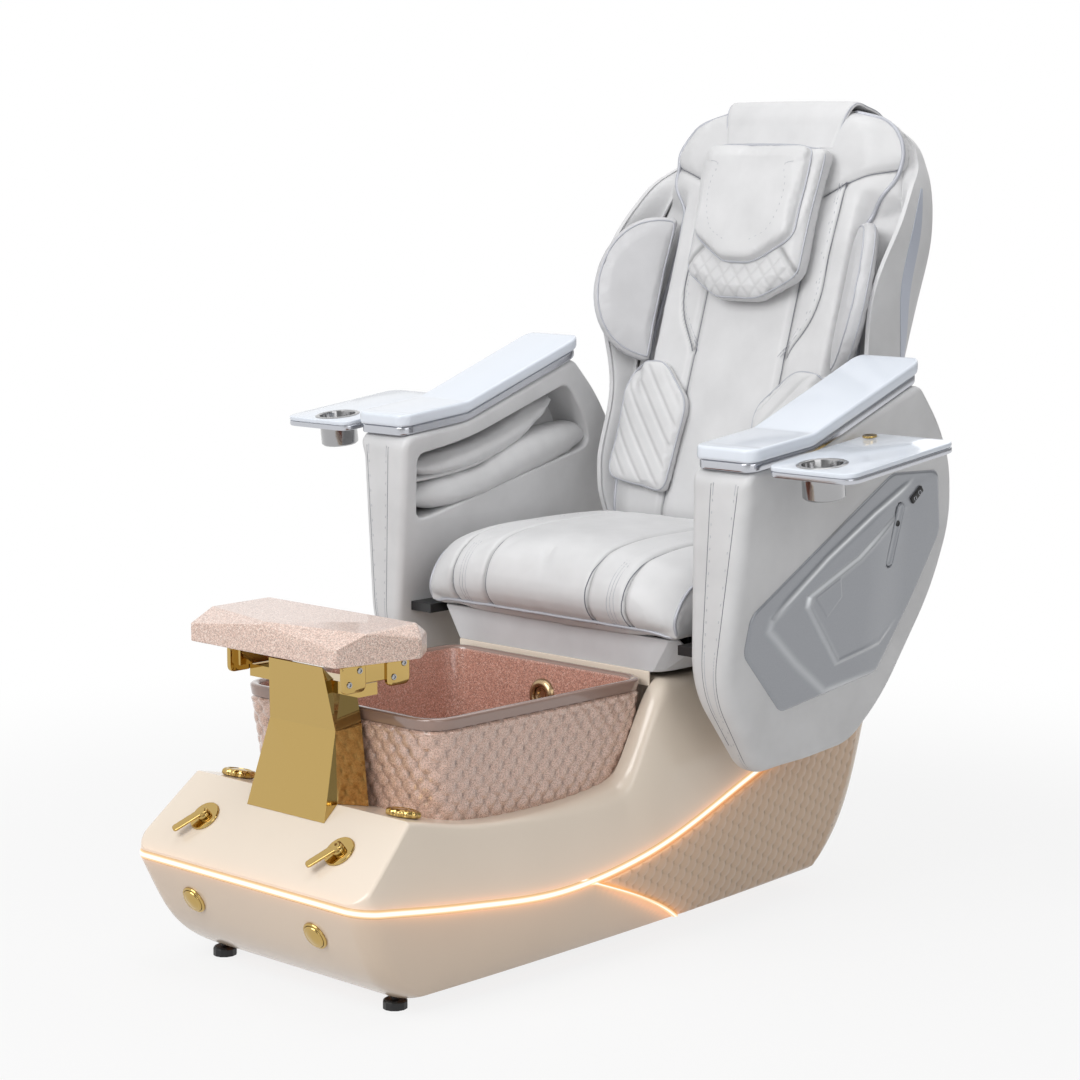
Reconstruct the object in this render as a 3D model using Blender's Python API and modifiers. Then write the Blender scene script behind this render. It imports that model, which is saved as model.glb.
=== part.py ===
"""Pedicure spa chair: a hull-shaped base with a foot basin and footrest under a reclining massage chair.

Metres, +Z up. The chair faces -Y and the sitter's left is +X. Lengths along Y are measured from the plane of
the arm fronts. The root empty then puts the origin on the floor under the middle of the whole chair.
The backrest is modelled upright in its own frame, whose origin is on the recline axis.
"""
import math

import bmesh
import bpy
import numpy as np
from mathutils import Matrix, Vector

# Clearances
GAP = 0.0003                # flat faces that seat on each other
RUN = 0.0006                # curved faces that seat on each other, and round running fits

# Base hull and shell
BOW_Y = -0.612
STERN_Y = 0.560
SHEER = ((BOW_Y, 0.171), (-0.42, 0.146), (-0.22, 0.131), (-0.04, 0.153), (0.21, 0.231), (STERN_Y, 0.345))
BEAM = ((BOW_Y, 0.251), (-0.30, 0.262), (0.10, 0.262), (STERN_Y, 0.240))
HULL_CORNER = 0.035
HULL_WALL = 0.006
BOW_TUCK = 0.106
STERN_TUCK = 0.120
SIDE_TUCK = 0.028
HULL_FOOT_BOW = 0.022
HULL_FOOT_STERN = 0.038
HULL_LEVELS = (0.0, 0.3, 0.6, 0.8, 0.92, 1.0)
HULL_STATIONS = 13
CORNER_STEPS = 4
DECK_FRONT_Y = -0.503
DECK_HEIGHTS = ((DECK_FRONT_Y, 0.279), (-0.37, 0.252), (-0.24, 0.244), (-0.10, 0.251), (0.02, 0.275))
DECK_HALF = 0.232
DECK_FILLET = 0.012
SHELL_WALL = 0.006
LIP = 0.004
COLLAR_Y = 0.027
COLLAR_RUN = 0.018
SEAT_DECK_Z = 0.403
STERN_TOP_Y = 0.500

# Light strip and scale panels
STRIP_HALF = 0.006
STRIP_PROUD = 0.002
STRIP_DEPTH = 0.012
BRANCH_TOP_Y = -0.156
BRANCH_FOOT_Y = 0.052
BRANCH_HALF = 0.005
PANEL_T = 0.006

# Basin, jet and drain
RIM_Z = 0.407
RIM_BAND = 0.018
RIM_PROUD = 0.004
BASIN_FRONT = -0.432
BASIN_REAR = 0.020
BASIN_HALF = 0.207
BASIN_TAPER = 0.106
BASIN_WALL = 0.009
BASIN_BOTTOM = 0.125
BASIN_CORNER = 0.030
DRAIN_R = 0.019
DRAIN_FLANGE_R = 0.032
DRAIN_TAIL = 0.055
JET_Z = 0.352
JET_R = 0.016
JET_FLANGE_R = 0.026
JET_THROAT = 0.062
JET_BODY_R = 0.034
JET_BODY_L = 0.060

# Pedestal and footrest
PLATE_T = 0.004
PEDESTAL_FOOT = (0.084, -0.529)
PEDESTAL_WAIST = (0.071, -0.494, 0.382)
PEDESTAL_TOP = (0.058, -0.506, 0.474)
PEDESTAL_REAR_Y = -0.443
GUIDE_HALF = 0.118
GUIDE_Y = (-0.491, -0.455)
GUIDE_TOP_Z = 0.4547
GUIDE_T = 0.018
REST_BOTTOM_Z = 0.494
REST_T = 0.046
REST_FRONT_Y = -0.570
REST_REAR_Y = -0.388
REST_HALF_FRONT = 0.157
REST_HALF_REAR = 0.186
REST_NOSE = 0.045
REST_CLIP = 0.036
REST_EDGE_DROP = 0.018
REST_SLOPE = 0.050
REST_SLOPE_OUT = 0.010
REST_TOP_INSET = (0.026, 0.030)
REST_RIDGE = (0.002, 0.010)
RAIL_X = 0.114
RAIL_W = 0.012
RAIL_H = 0.012
RAIL_Y = (-0.526, -0.401)
RAIL_PLATE = 0.044
RAIL_PLATE_T = 0.007

# Taps, buttons and knobs
TAP_X = 0.147
TAP_Y = -0.556
TAP_PLATE_R = 0.023
TAP_PLATE_T = 0.005
TAP_HUB_R = 0.010
TAP_HUB_H = 0.014
TAP_LEVER = 0.058
TAP_LEVER_T = 0.006
BUTTON_X = 0.133
BUTTON_LEVEL = 0.34
BUTTON_R = 0.018
BUTTON_PROUD = 0.007
BUTTON_STEM = 0.016
KNOB_X = 0.179
KNOB_Y = -0.465
KNOB_R = 0.025
KNOB_H = 0.012
KNOB_LOBES = 12

# Feet and base frame
FOOT_FRONT = (0.187, -0.490)
FOOT_REAR = (0.080, 0.360)
FOOT_R = 0.018
FOOT_H = 0.014
FOOT_STEM_R = 0.006
FRAME_BOTTOM = 0.036
FRAME_TUBE = 0.030
FRAME_Y = (-0.508, 0.400)
FRAME_X = 0.187
FRAME_CROSS_Y = (-0.440, 0.0, FOOT_REAR[1])
CROSS_STEP = 0.002
POST_Y = (0.130, 0.380)

# Slide track and seat frame
TRACK_X = 0.150
TRACK_W = 0.030
TRACK_H = 0.008
TRACK_Y = (0.075, 0.440)
RUNNER_H = 0.020
BEAM_H = 0.021
SEAT_FRAME_TOP = 0.466
SEAT_BEAM_X = 0.225

# Seat cushion and apron
SEAT_HALF = 0.272
SEAT_FRONT = -0.020
SEAT_REAR = 0.372
SEAT_TOP = 0.600
SEAT_SEAMS = (0.112, 0.187)
SEAT_FOOT_DRAW = 0.93
SEAM_HALF = 0.008
SEAM_DEPTH = 0.003
APRON_TOP_HALF = 0.255
APRON_FOOT_HALF = 0.222
APRON_Y = (0.030, 0.300)
APRON_T = 0.010
APRON_FOOT_Z = 0.412

# Arms
ARM_INNER_TOP = 0.305
ARM_INNER_FOOT = 0.320
ARM_OUTER_TOP = 0.420
ARM_TAPER = 0.110
ARM_TOP_Z = 0.750
ARM_FOOT_Z = 0.262
ARM_FRONT = ((0.096, ARM_FOOT_Z), (-0.012, 0.408))
ARM_REAR = ((0.318, 0.282), (0.392, 0.345), (0.492, 0.505), (0.524, 0.618), (0.505, 0.715), (0.460, 0.782))
ARM_ROUND = 0.030
ARM_BEVEL = 0.012
PAD_FRONT_Z = 0.770
PAD_KINK = (0.145, 0.785)
PAD_REAR = (0.413, 0.882)
KINK_BLEND = 0.020
PAD_T = 0.020
PAD_INNER = (0.308, 0.297)
PAD_OUTER = 0.424
PAD_CORNER = 0.022
BAND_T = 0.014
BAND_INSET = 0.003
SLOT_BACK_X = 0.385
SLOT_OUTLINE = ((0.012, 0.704), (0.012, 0.598), (0.050, 0.598), (0.445, 0.688), (0.432, 0.735),
                (0.385, 0.800),
                (0.150, 0.722))
BAG_X = 0.347
BAG_T = 0.016
BAG_UPPER = ((0.030, 0.680), (0.150, 0.700), (0.370, 0.778))
BAG_LOWER = ((0.030, 0.622), (0.200, 0.652), (0.430, 0.706))

# Side panel, bag hook and socket plate
SIDE_OUTLINE = ((0.036, 0.520), (0.027, 0.461), (0.129, 0.359), (0.358, 0.390), (0.436, 0.506),
                (0.491, 0.604),
                (0.467, 0.703), (0.350, 0.708), (0.206, 0.622))
SIDE_T = 0.006
SIDE_ROUND = 0.012
HOOK_FOOT = (0.356, 0.560)
HOOK_LENGTH = 0.100
HOOK_W = 0.017
HOOK_T = 0.005
HOOK_LEAN = math.radians(11)
SOCKET = (0.412, 0.668)
SOCKET_SIZE = (0.030, 0.012)
SOCKET_LEAN = math.radians(40)

# Trays and cup holders
TRAY_PITCH = math.radians(6.5)
TRAY_X = (0.447, 0.602)
TRAY_Y = (0.0, 0.255)
TRAY_FRONT_Z = 0.750
TRAY_T = 0.016
TRAY_CORNER = 0.018
PIVOT_X = 0.464
PIVOT_Y = 0.226
PIVOT_R = 0.006
PIVOT_CAP_R = 0.011
PIVOT_CAP_T = 0.003
BRACKET_T = 0.014
BRACKET_HALF = 0.020
CUP_X = 0.517
CUP_Y = 0.045
CUP_R = 0.031
CUP_WALL = 0.002
CUP_RIM_R = 0.038
CUP_RIM_T = 0.002
CUP_DEPTH = 0.050

# Backrest, in its own frame: b is backwards from the recline axis, h is up along the back
RECLINE_Y = 0.440
RECLINE_Z = 0.500
BACK_ANGLE = math.radians(17.5)
FACE_SETBACK = 0.0746
CUSHION_T = 0.050
CUSHION_FOOT = 0.040
BACK_TOP = 0.784
CUSHION_HALF = ((CUSHION_FOOT, 0.228), (0.12, 0.252), (0.25, 0.270), (0.46, 0.278), (0.58, 0.275),
                (0.66, 0.245),
                (0.730, 0.230), (0.766, 0.190), (BACK_TOP, 0.132))
CHANNEL_HALF = 0.095
CHANNEL_DEPTH = 0.009
SHELL_FOOT = 0.030
SHELL_STEPS = 8
BACK_WALL = 0.008
BACK_HALF = ((SHELL_FOOT, 0.240), (0.12, 0.268), (0.25, 0.286), (0.46, 0.296), (0.60, 0.292), (0.66, 0.274),
             (0.70, 0.250), (0.75, 0.210), (BACK_TOP, 0.146))
BACK_REAR = ((SHELL_FOOT, -0.137), (0.12, -0.162), (0.30, -0.166), (0.50, -0.164), (0.62, -0.152),
             (0.71, -0.122),
             (0.76, -0.098), (BACK_TOP, -0.072))
EAR_TOP = 0.70
EAR_FRONT = 0.012
WING_ROOT_X = 0.192
WING_T = 0.030
WING_ANGLE = math.radians(45)
WING_REACH = 0.120
WING_H = (0.330, 0.588)
LUMBAR_OUTLINE = ((0.227, 0.122), (0.221, 0.328), (0.140, 0.338), (0.070, 0.267), (0.080, 0.101))
LUMBAR_T = 0.022
LUMBAR_CHANNELS = 6
LUMBAR_CHANNEL_DEPTH = 0.004
PILLOW_OUTLINE = ((0.046, 0.437), (0.124, 0.480), (0.131, 0.705))
PILLOW_T = 0.043
PILLOW_PANEL = ((0.032, 0.503), (0.104, 0.546), (0.107, 0.700))
PILLOW_PANEL_T = 0.019
PILLOW_ROUND = 0.018
FLAP_T = 0.006
FLAP_HALF = (0.116, 0.136)
FLAP_FOOT = 0.709
FLAP_KNEE = 0.036
FLAP_TAIL = (0.012, 0.035)
RAIL_TUBE_R = 0.010
BACK_RAIL_X = 0.110
BACK_RAIL_B = 0.050
BACK_RAIL_TOP = 0.640
BACK_RAIL_BEND = (0.035, 0.075)
HINGE_TUBE_R = 0.014
HINGE_HALF = 0.245
HINGE_EAR_T = 0.012
STAY_H = (0.20, 0.50)
STAY_R = 0.008
CARRIAGE_H = (0.120, 0.240)
CARRIAGE_B = (0.030, 0.066)
ROLLER_R = 0.022
ROLLER_X = 0.045
ROLLER_W = 0.024
AXLE_R = 0.007
AXLE_HALF = 0.085
LUG_T = 0.010

# Finishes: sRGB hex colour, roughness, metallic
FINISHES = {
    "cream gelcoat": ("#E5D8C8", 0.25, 0.0),
    "scale relief resin": ("#C9AE96", 0.35, 0.0),
    "lit acrylic": ("#FFF4DC", 0.40, 0.0),
    "rose glitter glass": ("#B58A7A", 0.15, 0.0),
    "rose glitter resin": ("#D9BFB0", 0.30, 0.0),
    "polished gold": ("#C9A348", 0.12, 1.0),
    "brushed steel": ("#A9A9A8", 0.30, 1.0),
    "bronze": ("#8A7252", 0.30, 1.0),
    "black steel": ("#17171A", 0.50, 0.4),
    "grey leatherette": ("#D6D6D6", 0.50, 0.0),
    "white gloss acrylic": ("#EEF2F8", 0.08, 0.0),
    "silver trim": ("#B9BCC4", 0.25, 0.9),
    "silver grey panel": ("#8A8D96", 0.35, 0.3),
    "black plastic": ("#141416", 0.45, 0.0),
    "grey plastic": ("#BDBDBF", 0.40, 0.0),
}

PARTS = bpy.data.collections.new("pedicure_chair")
CUTTERS = bpy.data.collections.new("cutters")
FRAMES = {}
EMPTIES = {}
MATERIALS = {}


def clear_scene():
    """Remove what the opened file holds and link the two collections."""
    for thing in list(bpy.data.objects):
        bpy.data.objects.remove(thing, do_unlink=True)
    for collection in (PARTS, CUTTERS):
        bpy.context.scene.collection.children.link(collection)


def material(finish):
    """Principled material of a finish, made once."""
    if finish not in MATERIALS:
        colour, roughness, metallic = FINISHES[finish]
        made = bpy.data.materials.new(finish)
        made.use_nodes = True
        shader = made.node_tree.nodes["Principled BSDF"]
        rgb = [int(colour[i:i + 2], 16) / 255 for i in (1, 3, 5)]
        linear = [c / 12.92 if c <= 0.04045 else ((c + 0.055) / 1.055) ** 2.4 for c in rgb]
        shader.inputs["Base Color"].default_value = (*linear, 1.0)
        shader.inputs["Roughness"].default_value = roughness
        shader.inputs["Metallic"].default_value = metallic
        MATERIALS[finish] = made
    return MATERIALS[finish]


def body(name, parent, location=(0, 0, 0), rotation=Matrix()):
    """Empty on a body's joint axis, placed from the arm-front datum and carried by its parent's empty."""
    empty = bpy.data.objects.new(name, None)
    PARTS.objects.link(empty)
    FRAMES[name] = Matrix.Translation(location) @ rotation.to_4x4()
    EMPTIES[name] = empty
    if parent:
        empty.parent = EMPTIES[parent]
        empty.matrix_basis = FRAMES[parent].inverted() @ FRAMES[name]


def turn_x(angle):
    """Rotation about X."""
    return Matrix.Rotation(angle, 4, "X")


def link(name, mesh, owner, finish):
    """Part object made from a mesh in its body's frame."""
    piece = bpy.data.objects.new(name, mesh)
    PARTS.objects.link(piece)
    piece.parent = EMPTIES[owner]
    mesh.materials.append(material(finish))
    return piece


def mesh_from(name, vertices, faces):
    """Closed mesh with merged doubles and faces that point out."""
    mesh = bpy.data.meshes.new(name)
    mesh.from_pydata([tuple(v) for v in np.asarray(vertices)], [], faces)
    shell = bmesh.new()
    shell.from_mesh(mesh)
    bmesh.ops.remove_doubles(shell, verts=shell.verts, dist=1e-6)
    bmesh.ops.recalc_face_normals(shell, faces=shell.faces)
    shell.to_mesh(mesh)
    shell.free()
    return mesh


def piece_from(name, vertices, faces, owner, finish, local=False):
    """Part from vertices given from the datum, or in its body's own frame."""
    points = np.asarray(vertices, float).reshape(-1, 3)
    if not local:
        inverse = np.array(FRAMES[owner].inverted())
        points = points @ inverse[:3, :3].T + inverse[:3, 3]
    return link(name, mesh_from(name, points, faces), owner, finish)


def smooth(piece, angle=35):
    """Shade round faces smooth and keep the edges crisp."""
    piece.data.shade_smooth()
    piece.data.set_sharp_from_angle(angle=math.radians(angle))
    return piece


def bevel(piece, width, segments=2):
    """Rounded edges where faces meet at more than 40 degrees."""
    rounding = piece.modifiers.new("rounded edges", "BEVEL")
    rounding.width = width
    rounding.segments = segments
    rounding.limit_method = "ANGLE"
    rounding.angle_limit = math.radians(40)
    return piece


def combine(piece, tool, operation):
    """Cut a piece with a tool, or fuse the tool to it. The tool becomes a hidden guide."""
    for collection in list(tool.users_collection):
        collection.objects.unlink(tool)
    CUTTERS.objects.link(tool)
    tool.hide_render = True
    tool.display_type = "WIRE"
    join = piece.modifiers.new(tool.name, "BOOLEAN")
    join.operation = operation
    join.solver = "EXACT"
    join.object = tool
    return piece


def cut(piece, tool):
    """Take the tool's space out of a piece."""
    return combine(piece, tool, "DIFFERENCE")


def fuse(piece, *tools):
    """Weld the tools to a piece."""
    for tool in tools:
        combine(piece, tool, "UNION")
    return piece


def hermite(stations, x):
    """Smooth curve through (position, value) stations, in cubic pieces with averaged slopes."""
    xs, ys = np.array(stations, float).T
    slopes = np.gradient(ys, xs)
    x = np.clip(np.asarray(x, float), xs[0], xs[-1])
    i = np.clip(np.searchsorted(xs, x) - 1, 0, len(xs) - 2)
    span = xs[i + 1] - xs[i]
    t = (x - xs[i]) / span
    start = (1 + 2 * t) * (1 - t) ** 2 * ys[i] + t * (1 - t) ** 2 * span * slopes[i]
    end = t * t * (3 - 2 * t) * ys[i + 1] + t * t * (t - 1) * span * slopes[i + 1]
    return start + end


def rounded(corners, radius, steps=3):
    """Closed outline whose corners are rounded by curves that start a radius away from each corner."""
    corners = np.array(corners, float)
    outline = []
    for i, corner in enumerate(corners):
        before = corners[i - 1] - corner
        after = corners[(i + 1) % len(corners)] - corner
        reach = min(radius, 0.45 * np.linalg.norm(before), 0.45 * np.linalg.norm(after))
        start = corner + before / np.linalg.norm(before) * reach
        end = corner + after / np.linalg.norm(after) * reach
        for t in np.linspace(0, 1, steps):
            outline.append((1 - t) ** 2 * start + 2 * t * (1 - t) * corner + t * t * end)
    return np.array(outline)


def mirrored(half):
    """Closed outline from its right half, which runs from the bottom to the top."""
    half = np.array(half, float)
    return np.concatenate([half, half[::-1] * (-1, 1)])


def loft(rings, closed=False):
    """Vertices and faces of a skin over closed rings, capped at both ends or joined round to the first."""
    rings = np.asarray(rings, float)
    count, size = rings.shape[:2]
    faces = []
    for i in range(count if closed else count - 1):
        here, there = i * size, (i + 1) % count * size
        for j in range(size):
            k = (j + 1) % size
            faces.append((here + j, here + k, there + k, there + j))
    if not closed:
        faces.append(tuple(range(size)))
        faces.append(tuple(range((count - 1) * size, count * size)))
    return rings.reshape(-1, 3), faces


def rim(rows, columns):
    """Indices round the edge of a grid."""
    index = np.arange(rows * columns).reshape(rows, columns)
    return np.concatenate([index[0], index[1:, -1], index[-1, -2::-1], index[-2:0:-1, 0]])


def cushion(top, skirts):
    """Closed cushion: a grid for its face, rings that carry its edge down, and a flat back."""
    rows, columns = top.shape[:2]
    index = np.arange(rows * columns).reshape(rows, columns)
    faces = [(index[i, j], index[i, j + 1], index[i + 1, j + 1], index[i + 1, j])
             for i in range(rows - 1) for j in range(columns - 1)]
    edge = list(rim(rows, columns))
    vertices = [top.reshape(-1, 3)]
    count = rows * columns
    for skirt in skirts:
        below = list(range(count, count + len(edge)))
        faces += [(edge[i], edge[i - 1], below[i - 1], below[i]) for i in range(len(edge))]
        vertices.append(skirt)
        count += len(edge)
        edge = below
    faces.append(tuple(edge))
    return np.concatenate(vertices), [tuple(int(i) for i in face) for face in faces]


def slab(outer, inner):
    """Closed sheet between two grids of the same size."""
    rows, columns = outer.shape[:2]
    index = np.arange(rows * columns).reshape(rows, columns)
    under = index + rows * columns
    faces = []
    for i in range(rows - 1):
        for j in range(columns - 1):
            faces.append((index[i, j], index[i, j + 1], index[i + 1, j + 1], index[i + 1, j]))
            faces.append((under[i, j], under[i + 1, j], under[i + 1, j + 1], under[i, j + 1]))
    edge = rim(rows, columns)
    below = edge + rows * columns
    faces += [(edge[i], edge[i - 1], below[i - 1], below[i]) for i in range(len(edge))]
    return np.concatenate([outer.reshape(-1, 3), inner.reshape(-1, 3)]), [tuple(map(int, f)) for f in faces]


def box(name, low, high, owner, finish, local=False):
    """Box between two corners."""
    low, high = np.array(low, float), np.array(high, float)
    mesh = bpy.data.meshes.new(name)
    shape = bmesh.new()
    place = Matrix.Translation((low + high) / 2) @ Matrix.Diagonal((*(high - low), 1))
    if not local:
        place = FRAMES[owner].inverted() @ place
    bmesh.ops.create_cube(shape, size=1, matrix=place)
    shape.to_mesh(mesh)
    shape.free()
    return link(name, mesh, owner, finish)


def drum(name, radius, low, high, owner, finish, place=Matrix(), segments=24):
    """Cylinder along the place's Z between two heights, in its body's frame."""
    mesh = bpy.data.meshes.new(name)
    shape = bmesh.new()
    centred = place @ Matrix.Translation((0, 0, (low + high) / 2))
    bmesh.ops.create_cone(shape, cap_ends=True, segments=segments, radius1=radius, radius2=radius,
                          depth=high - low, matrix=centred)
    shape.to_mesh(mesh)
    shape.free()
    return link(name, mesh, owner, finish)


def turned(name, profile, owner, finish, place=Matrix(), steps=24):
    """Turned piece: a profile of (radius, height) points, top to bottom, spun about the place's Z."""
    mesh = bpy.data.meshes.new(name)
    points = [(radius, 0, height) for radius, height in profile]
    mesh.from_pydata(points, [(i, i + 1) for i in range(len(points) - 1)], [])
    piece = link(name, mesh, owner, finish)
    piece.matrix_basis = place
    spin = piece.modifiers.new("turned", "SCREW")
    spin.steps = spin.render_steps = steps
    spin.use_merge_vertices = True
    spin.merge_threshold = 0.00005
    return piece


def made_mesh(curve_object, name, owner, finish):
    """Welded mesh part in place of a curve object."""
    bpy.context.view_layer.update()
    depsgraph = bpy.context.evaluated_depsgraph_get()
    mesh = bpy.data.meshes.new_from_object(curve_object.evaluated_get(depsgraph))
    shape = bmesh.new()
    shape.from_mesh(mesh)
    bmesh.ops.remove_doubles(shape, verts=shape.verts, dist=1e-6)
    bmesh.ops.recalc_face_normals(shape, faces=shape.faces)
    shape.to_mesh(mesh)
    shape.free()
    mesh.materials.clear()
    bpy.data.objects.remove(curve_object, do_unlink=True)
    return link(name, mesh, owner, finish)


def curve_object(name, points, dimensions, cyclic):
    """Curve object of one straight-segment spline."""
    curve = bpy.data.curves.new(name, "CURVE")
    curve.dimensions = dimensions
    spline = curve.splines.new("POLY")
    spline.points.add(len(points) - 1)
    for target, point in zip(spline.points, points):
        target.co = (*point, 1) if len(point) == 3 else (*point, 0, 1)
    spline.use_cyclic_u = cyclic
    made = bpy.data.objects.new(name, curve)
    PARTS.objects.link(made)
    return made


def plate(name, outline, thickness, owner, finish, place=Matrix()):
    """Flat plate: an outline in the place's XY plane, from its Z = 0 up to the thickness."""
    flat = curve_object(name, outline, "2D", True)
    flat.data.fill_mode = "BOTH"
    flat.data.extrude = thickness / 2
    piece = made_mesh(flat, name, owner, finish)
    piece.data.transform(place @ Matrix.Translation((0, 0, thickness / 2)))
    return piece


def tube(name, points, radius, owner, finish, cyclic=False):
    """Round tube along straight runs, in its body's frame."""
    run = curve_object(name, points, "3D", cyclic)
    run.data.bevel_depth = radius
    run.data.bevel_resolution = 2
    run.data.use_fill_caps = not cyclic
    return made_mesh(run, name, owner, finish)


def padded(outline, place, layers):
    """Stuffed pad: an outline shrunk about its middle by each layer's scale, at each layer's height."""
    outline = np.asarray(outline, float)
    middle = outline.mean(axis=0)
    rings = []
    for scale, height in layers:
        flat = middle + (outline - middle) * scale
        rings.append(place(flat, height))
    return loft(rings)


def both(function, *arguments):
    """Build a piece on the sitter's left (+1) and right (-1)."""
    for side, word in ((1, "left"), (-1, "right")):
        function(side, word, *arguments)


# Base
def sheer(y):
    """Height of the light strip along the base."""
    return hermite(SHEER, y)


def tuck(v):
    """Share of the hull's tuck at a height fraction from its top edge, flat at first, round at the foot."""
    return 0.6 * v + 0.4 * np.abs(v) ** 5


def hull_half(v, inset):
    """Half of the hull's outline at one level, from the stern's middle along +X to the bow's middle."""
    pull = tuck(v)
    bow = BOW_Y + BOW_TUCK * pull + inset
    stern = STERN_Y - STERN_TUCK * pull - inset
    radius = HULL_CORNER - inset
    y = np.linspace(stern - radius, bow + radius, HULL_STATIONS)
    x = hermite(BEAM, y) - SIDE_TUCK * pull - inset
    turn = np.linspace(0, math.pi / 2, CORNER_STEPS)[1:]
    bow_arc = np.stack([x[-1] - radius + radius * np.cos(turn), bow + radius - radius * np.sin(turn)], 1)
    stern_arc = np.stack([x[0] - radius + radius * np.cos(turn), stern - radius + radius * np.sin(turn)], 1)
    return np.concatenate([[(0, stern)], stern_arc[::-1], np.stack([x, y], 1), bow_arc, [(0, bow)]])


def hull_heights(v, inset):
    """Heights of the points of hull_half at one level."""
    y = hull_half(0.0, inset)[:, 1]
    top = strip_line(y) - STRIP_HALF - RUN
    along = (y - BOW_Y) / (STERN_Y - BOW_Y)
    foot = HULL_FOOT_BOW + (HULL_FOOT_STERN - HULL_FOOT_BOW) * along
    return top + (foot - top) * v


def hull_loop(v, inset):
    """Whole closed outline of the hull at one level."""
    half = np.column_stack([hull_half(v, inset), hull_heights(v, inset)])
    return np.concatenate([half, half[-2:0:-1] * (-1, 1, 1)])


def side_point(fraction, v, outward):
    """Points on the hull's +X side, at fractions from its stern end to its bow end."""
    first = CORNER_STEPS
    side = np.column_stack([hull_half(v, 0.0), hull_heights(v, 0.0)])[first:first + HULL_STATIONS]
    stations = np.linspace(0, 1, HULL_STATIONS)
    x, y, z = (np.interp(fraction, stations, side[:, axis]) for axis in range(3))
    return np.stack([x + outward, y, z], -1)


def branch_fraction(v, ahead):
    """Fraction along the hull's side where the strip's branch runs, and a distance ahead of it."""
    stern_end = side_point(0.0, v, 0.0)[1]
    bow_end = side_point(1.0, v, 0.0)[1]
    y = BRANCH_TOP_Y + (BRANCH_FOOT_Y - BRANCH_TOP_Y) * v - ahead
    return (stern_end - y) / (stern_end - bow_end)


def lower_hull():
    """Hull shell below the light strip, open above and below, with a hole for each push button."""
    outer = np.array([hull_loop(v, 0.0) for v in HULL_LEVELS])
    inner = np.array([hull_loop(v, HULL_WALL) for v in HULL_LEVELS])
    sections = np.concatenate([outer, inner[::-1]]).transpose(1, 0, 2)
    hull = piece_from("base_lower_hull", *loft(sections, closed=True), "base", "cream gelcoat")
    for side in (1, -1):
        hole = drum(f"button_hole_{side}", BUTTON_R + RUN, -0.03, 0.03, "base", "black plastic",
                    button_place(side))
        cut(hull, hole)
    smooth(hull)


def scale_panel(side, word):
    """Relief panel on the rear of the hull's side, behind the strip's branch."""
    grids = []
    for outward in (RUN + PANEL_T, RUN):
        rows = []
        for v in (0.02, *HULL_LEVELS[1:]):
            ahead = branch_fraction(v, -BRANCH_HALF - RUN)
            rows.append(side_point(np.linspace(0.01, ahead, 9), v, outward))
        grids.append(np.array(rows) * (side, 1, 1))
    smooth(piece_from(f"scale_panel_{word}", *slab(*grids), "base", "scale relief resin"))


def light_strip():
    """Light strip right round between shell and hull, with a branch down each side to the hull's foot."""
    section = ((-STRIP_DEPTH, -STRIP_HALF), (-0.0005, -STRIP_HALF), (STRIP_PROUD, -STRIP_HALF / 2),
               (STRIP_PROUD, STRIP_HALF / 2), (-0.0005, STRIP_HALF), (-STRIP_DEPTH, STRIP_HALF))
    halves = []
    for outward, up in section:
        flat = hull_half(0.0, -outward)
        halves.append(np.column_stack([flat, strip_line(flat[:, 1]) + up]))
    halves = np.array(halves).transpose(1, 0, 2)
    rings = np.concatenate([halves, halves[-2:0:-1] * (-1, 1, 1)])
    strip = piece_from("light_strip", *loft(rings, closed=True), "base", "lit acrylic")
    for side in (1, -1):
        rings = []
        for v in (-0.05, *HULL_LEVELS[1:]):
            front = branch_fraction(v, BRANCH_HALF)
            back = branch_fraction(v, -BRANCH_HALF)
            corners = [side_point(f, v, out) for f, out in
                       ((front, RUN), (back, RUN), (back, RUN + PANEL_T), (front, RUN + PANEL_T))]
            rings.append(np.array(corners) * (side, 1, 1))
        fuse(strip, piece_from(f"strip_branch_{side}", *loft(rings), "base", "lit acrylic"))


def strip_line(y):
    """Height of the light strip's straight runs between its stations."""
    stations = hull_half(0.0, 0.0)[::-1, 1]
    return np.interp(y, stations, sheer(stations))


def beam_at(y):
    """Half width of the shell's lower edge, rounded at bow and stern like the hull."""
    ahead = np.minimum(y - BOW_Y, STERN_Y - y)
    bite = np.clip(HULL_CORNER - ahead, 0, HULL_CORNER)
    near = np.clip(y, BOW_Y + HULL_CORNER, STERN_Y - HULL_CORNER)
    return hermite(BEAM, near) - HULL_CORNER + np.sqrt(HULL_CORNER ** 2 - bite ** 2)


def deck_z(y):
    """Height of the shell's top along the base: front slope, dished deck, seat collar and stern slope."""
    bow_z = sheer(BOW_Y) + STRIP_HALF + LIP
    slope = bow_z + (DECK_HEIGHTS[0][1] - bow_z) * (y - BOW_Y) / (DECK_FRONT_Y - BOW_Y)
    deck = hermite(DECK_HEIGHTS, y)
    rise = np.clip((y - COLLAR_Y) / COLLAR_RUN, 0, 1)
    deck = deck + (SEAT_DECK_Z - deck) * rise * rise * (3 - 2 * rise)
    stern_z = sheer(STERN_Y) + STRIP_HALF + LIP
    stern = SEAT_DECK_Z + (stern_z - SEAT_DECK_Z) * (y - STERN_TOP_Y) / (STERN_Y - STERN_TOP_Y)
    return np.where(y < DECK_FRONT_Y, slope, np.where(y > STERN_TOP_Y, stern, deck))


def crease_at(y):
    """Half width of the shell's top edge."""
    slope = np.clip((DECK_FRONT_Y - y) / (DECK_FRONT_Y - BOW_Y), 0, 1)
    stern = np.clip((y - STERN_TOP_Y) / (STERN_Y - STERN_TOP_Y), 0, 1)
    near = DECK_HALF + (hermite(BEAM, y) - DECK_HALF) * np.maximum(slope, stern)
    return np.minimum(near, beam_at(y) - 0.001)


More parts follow.
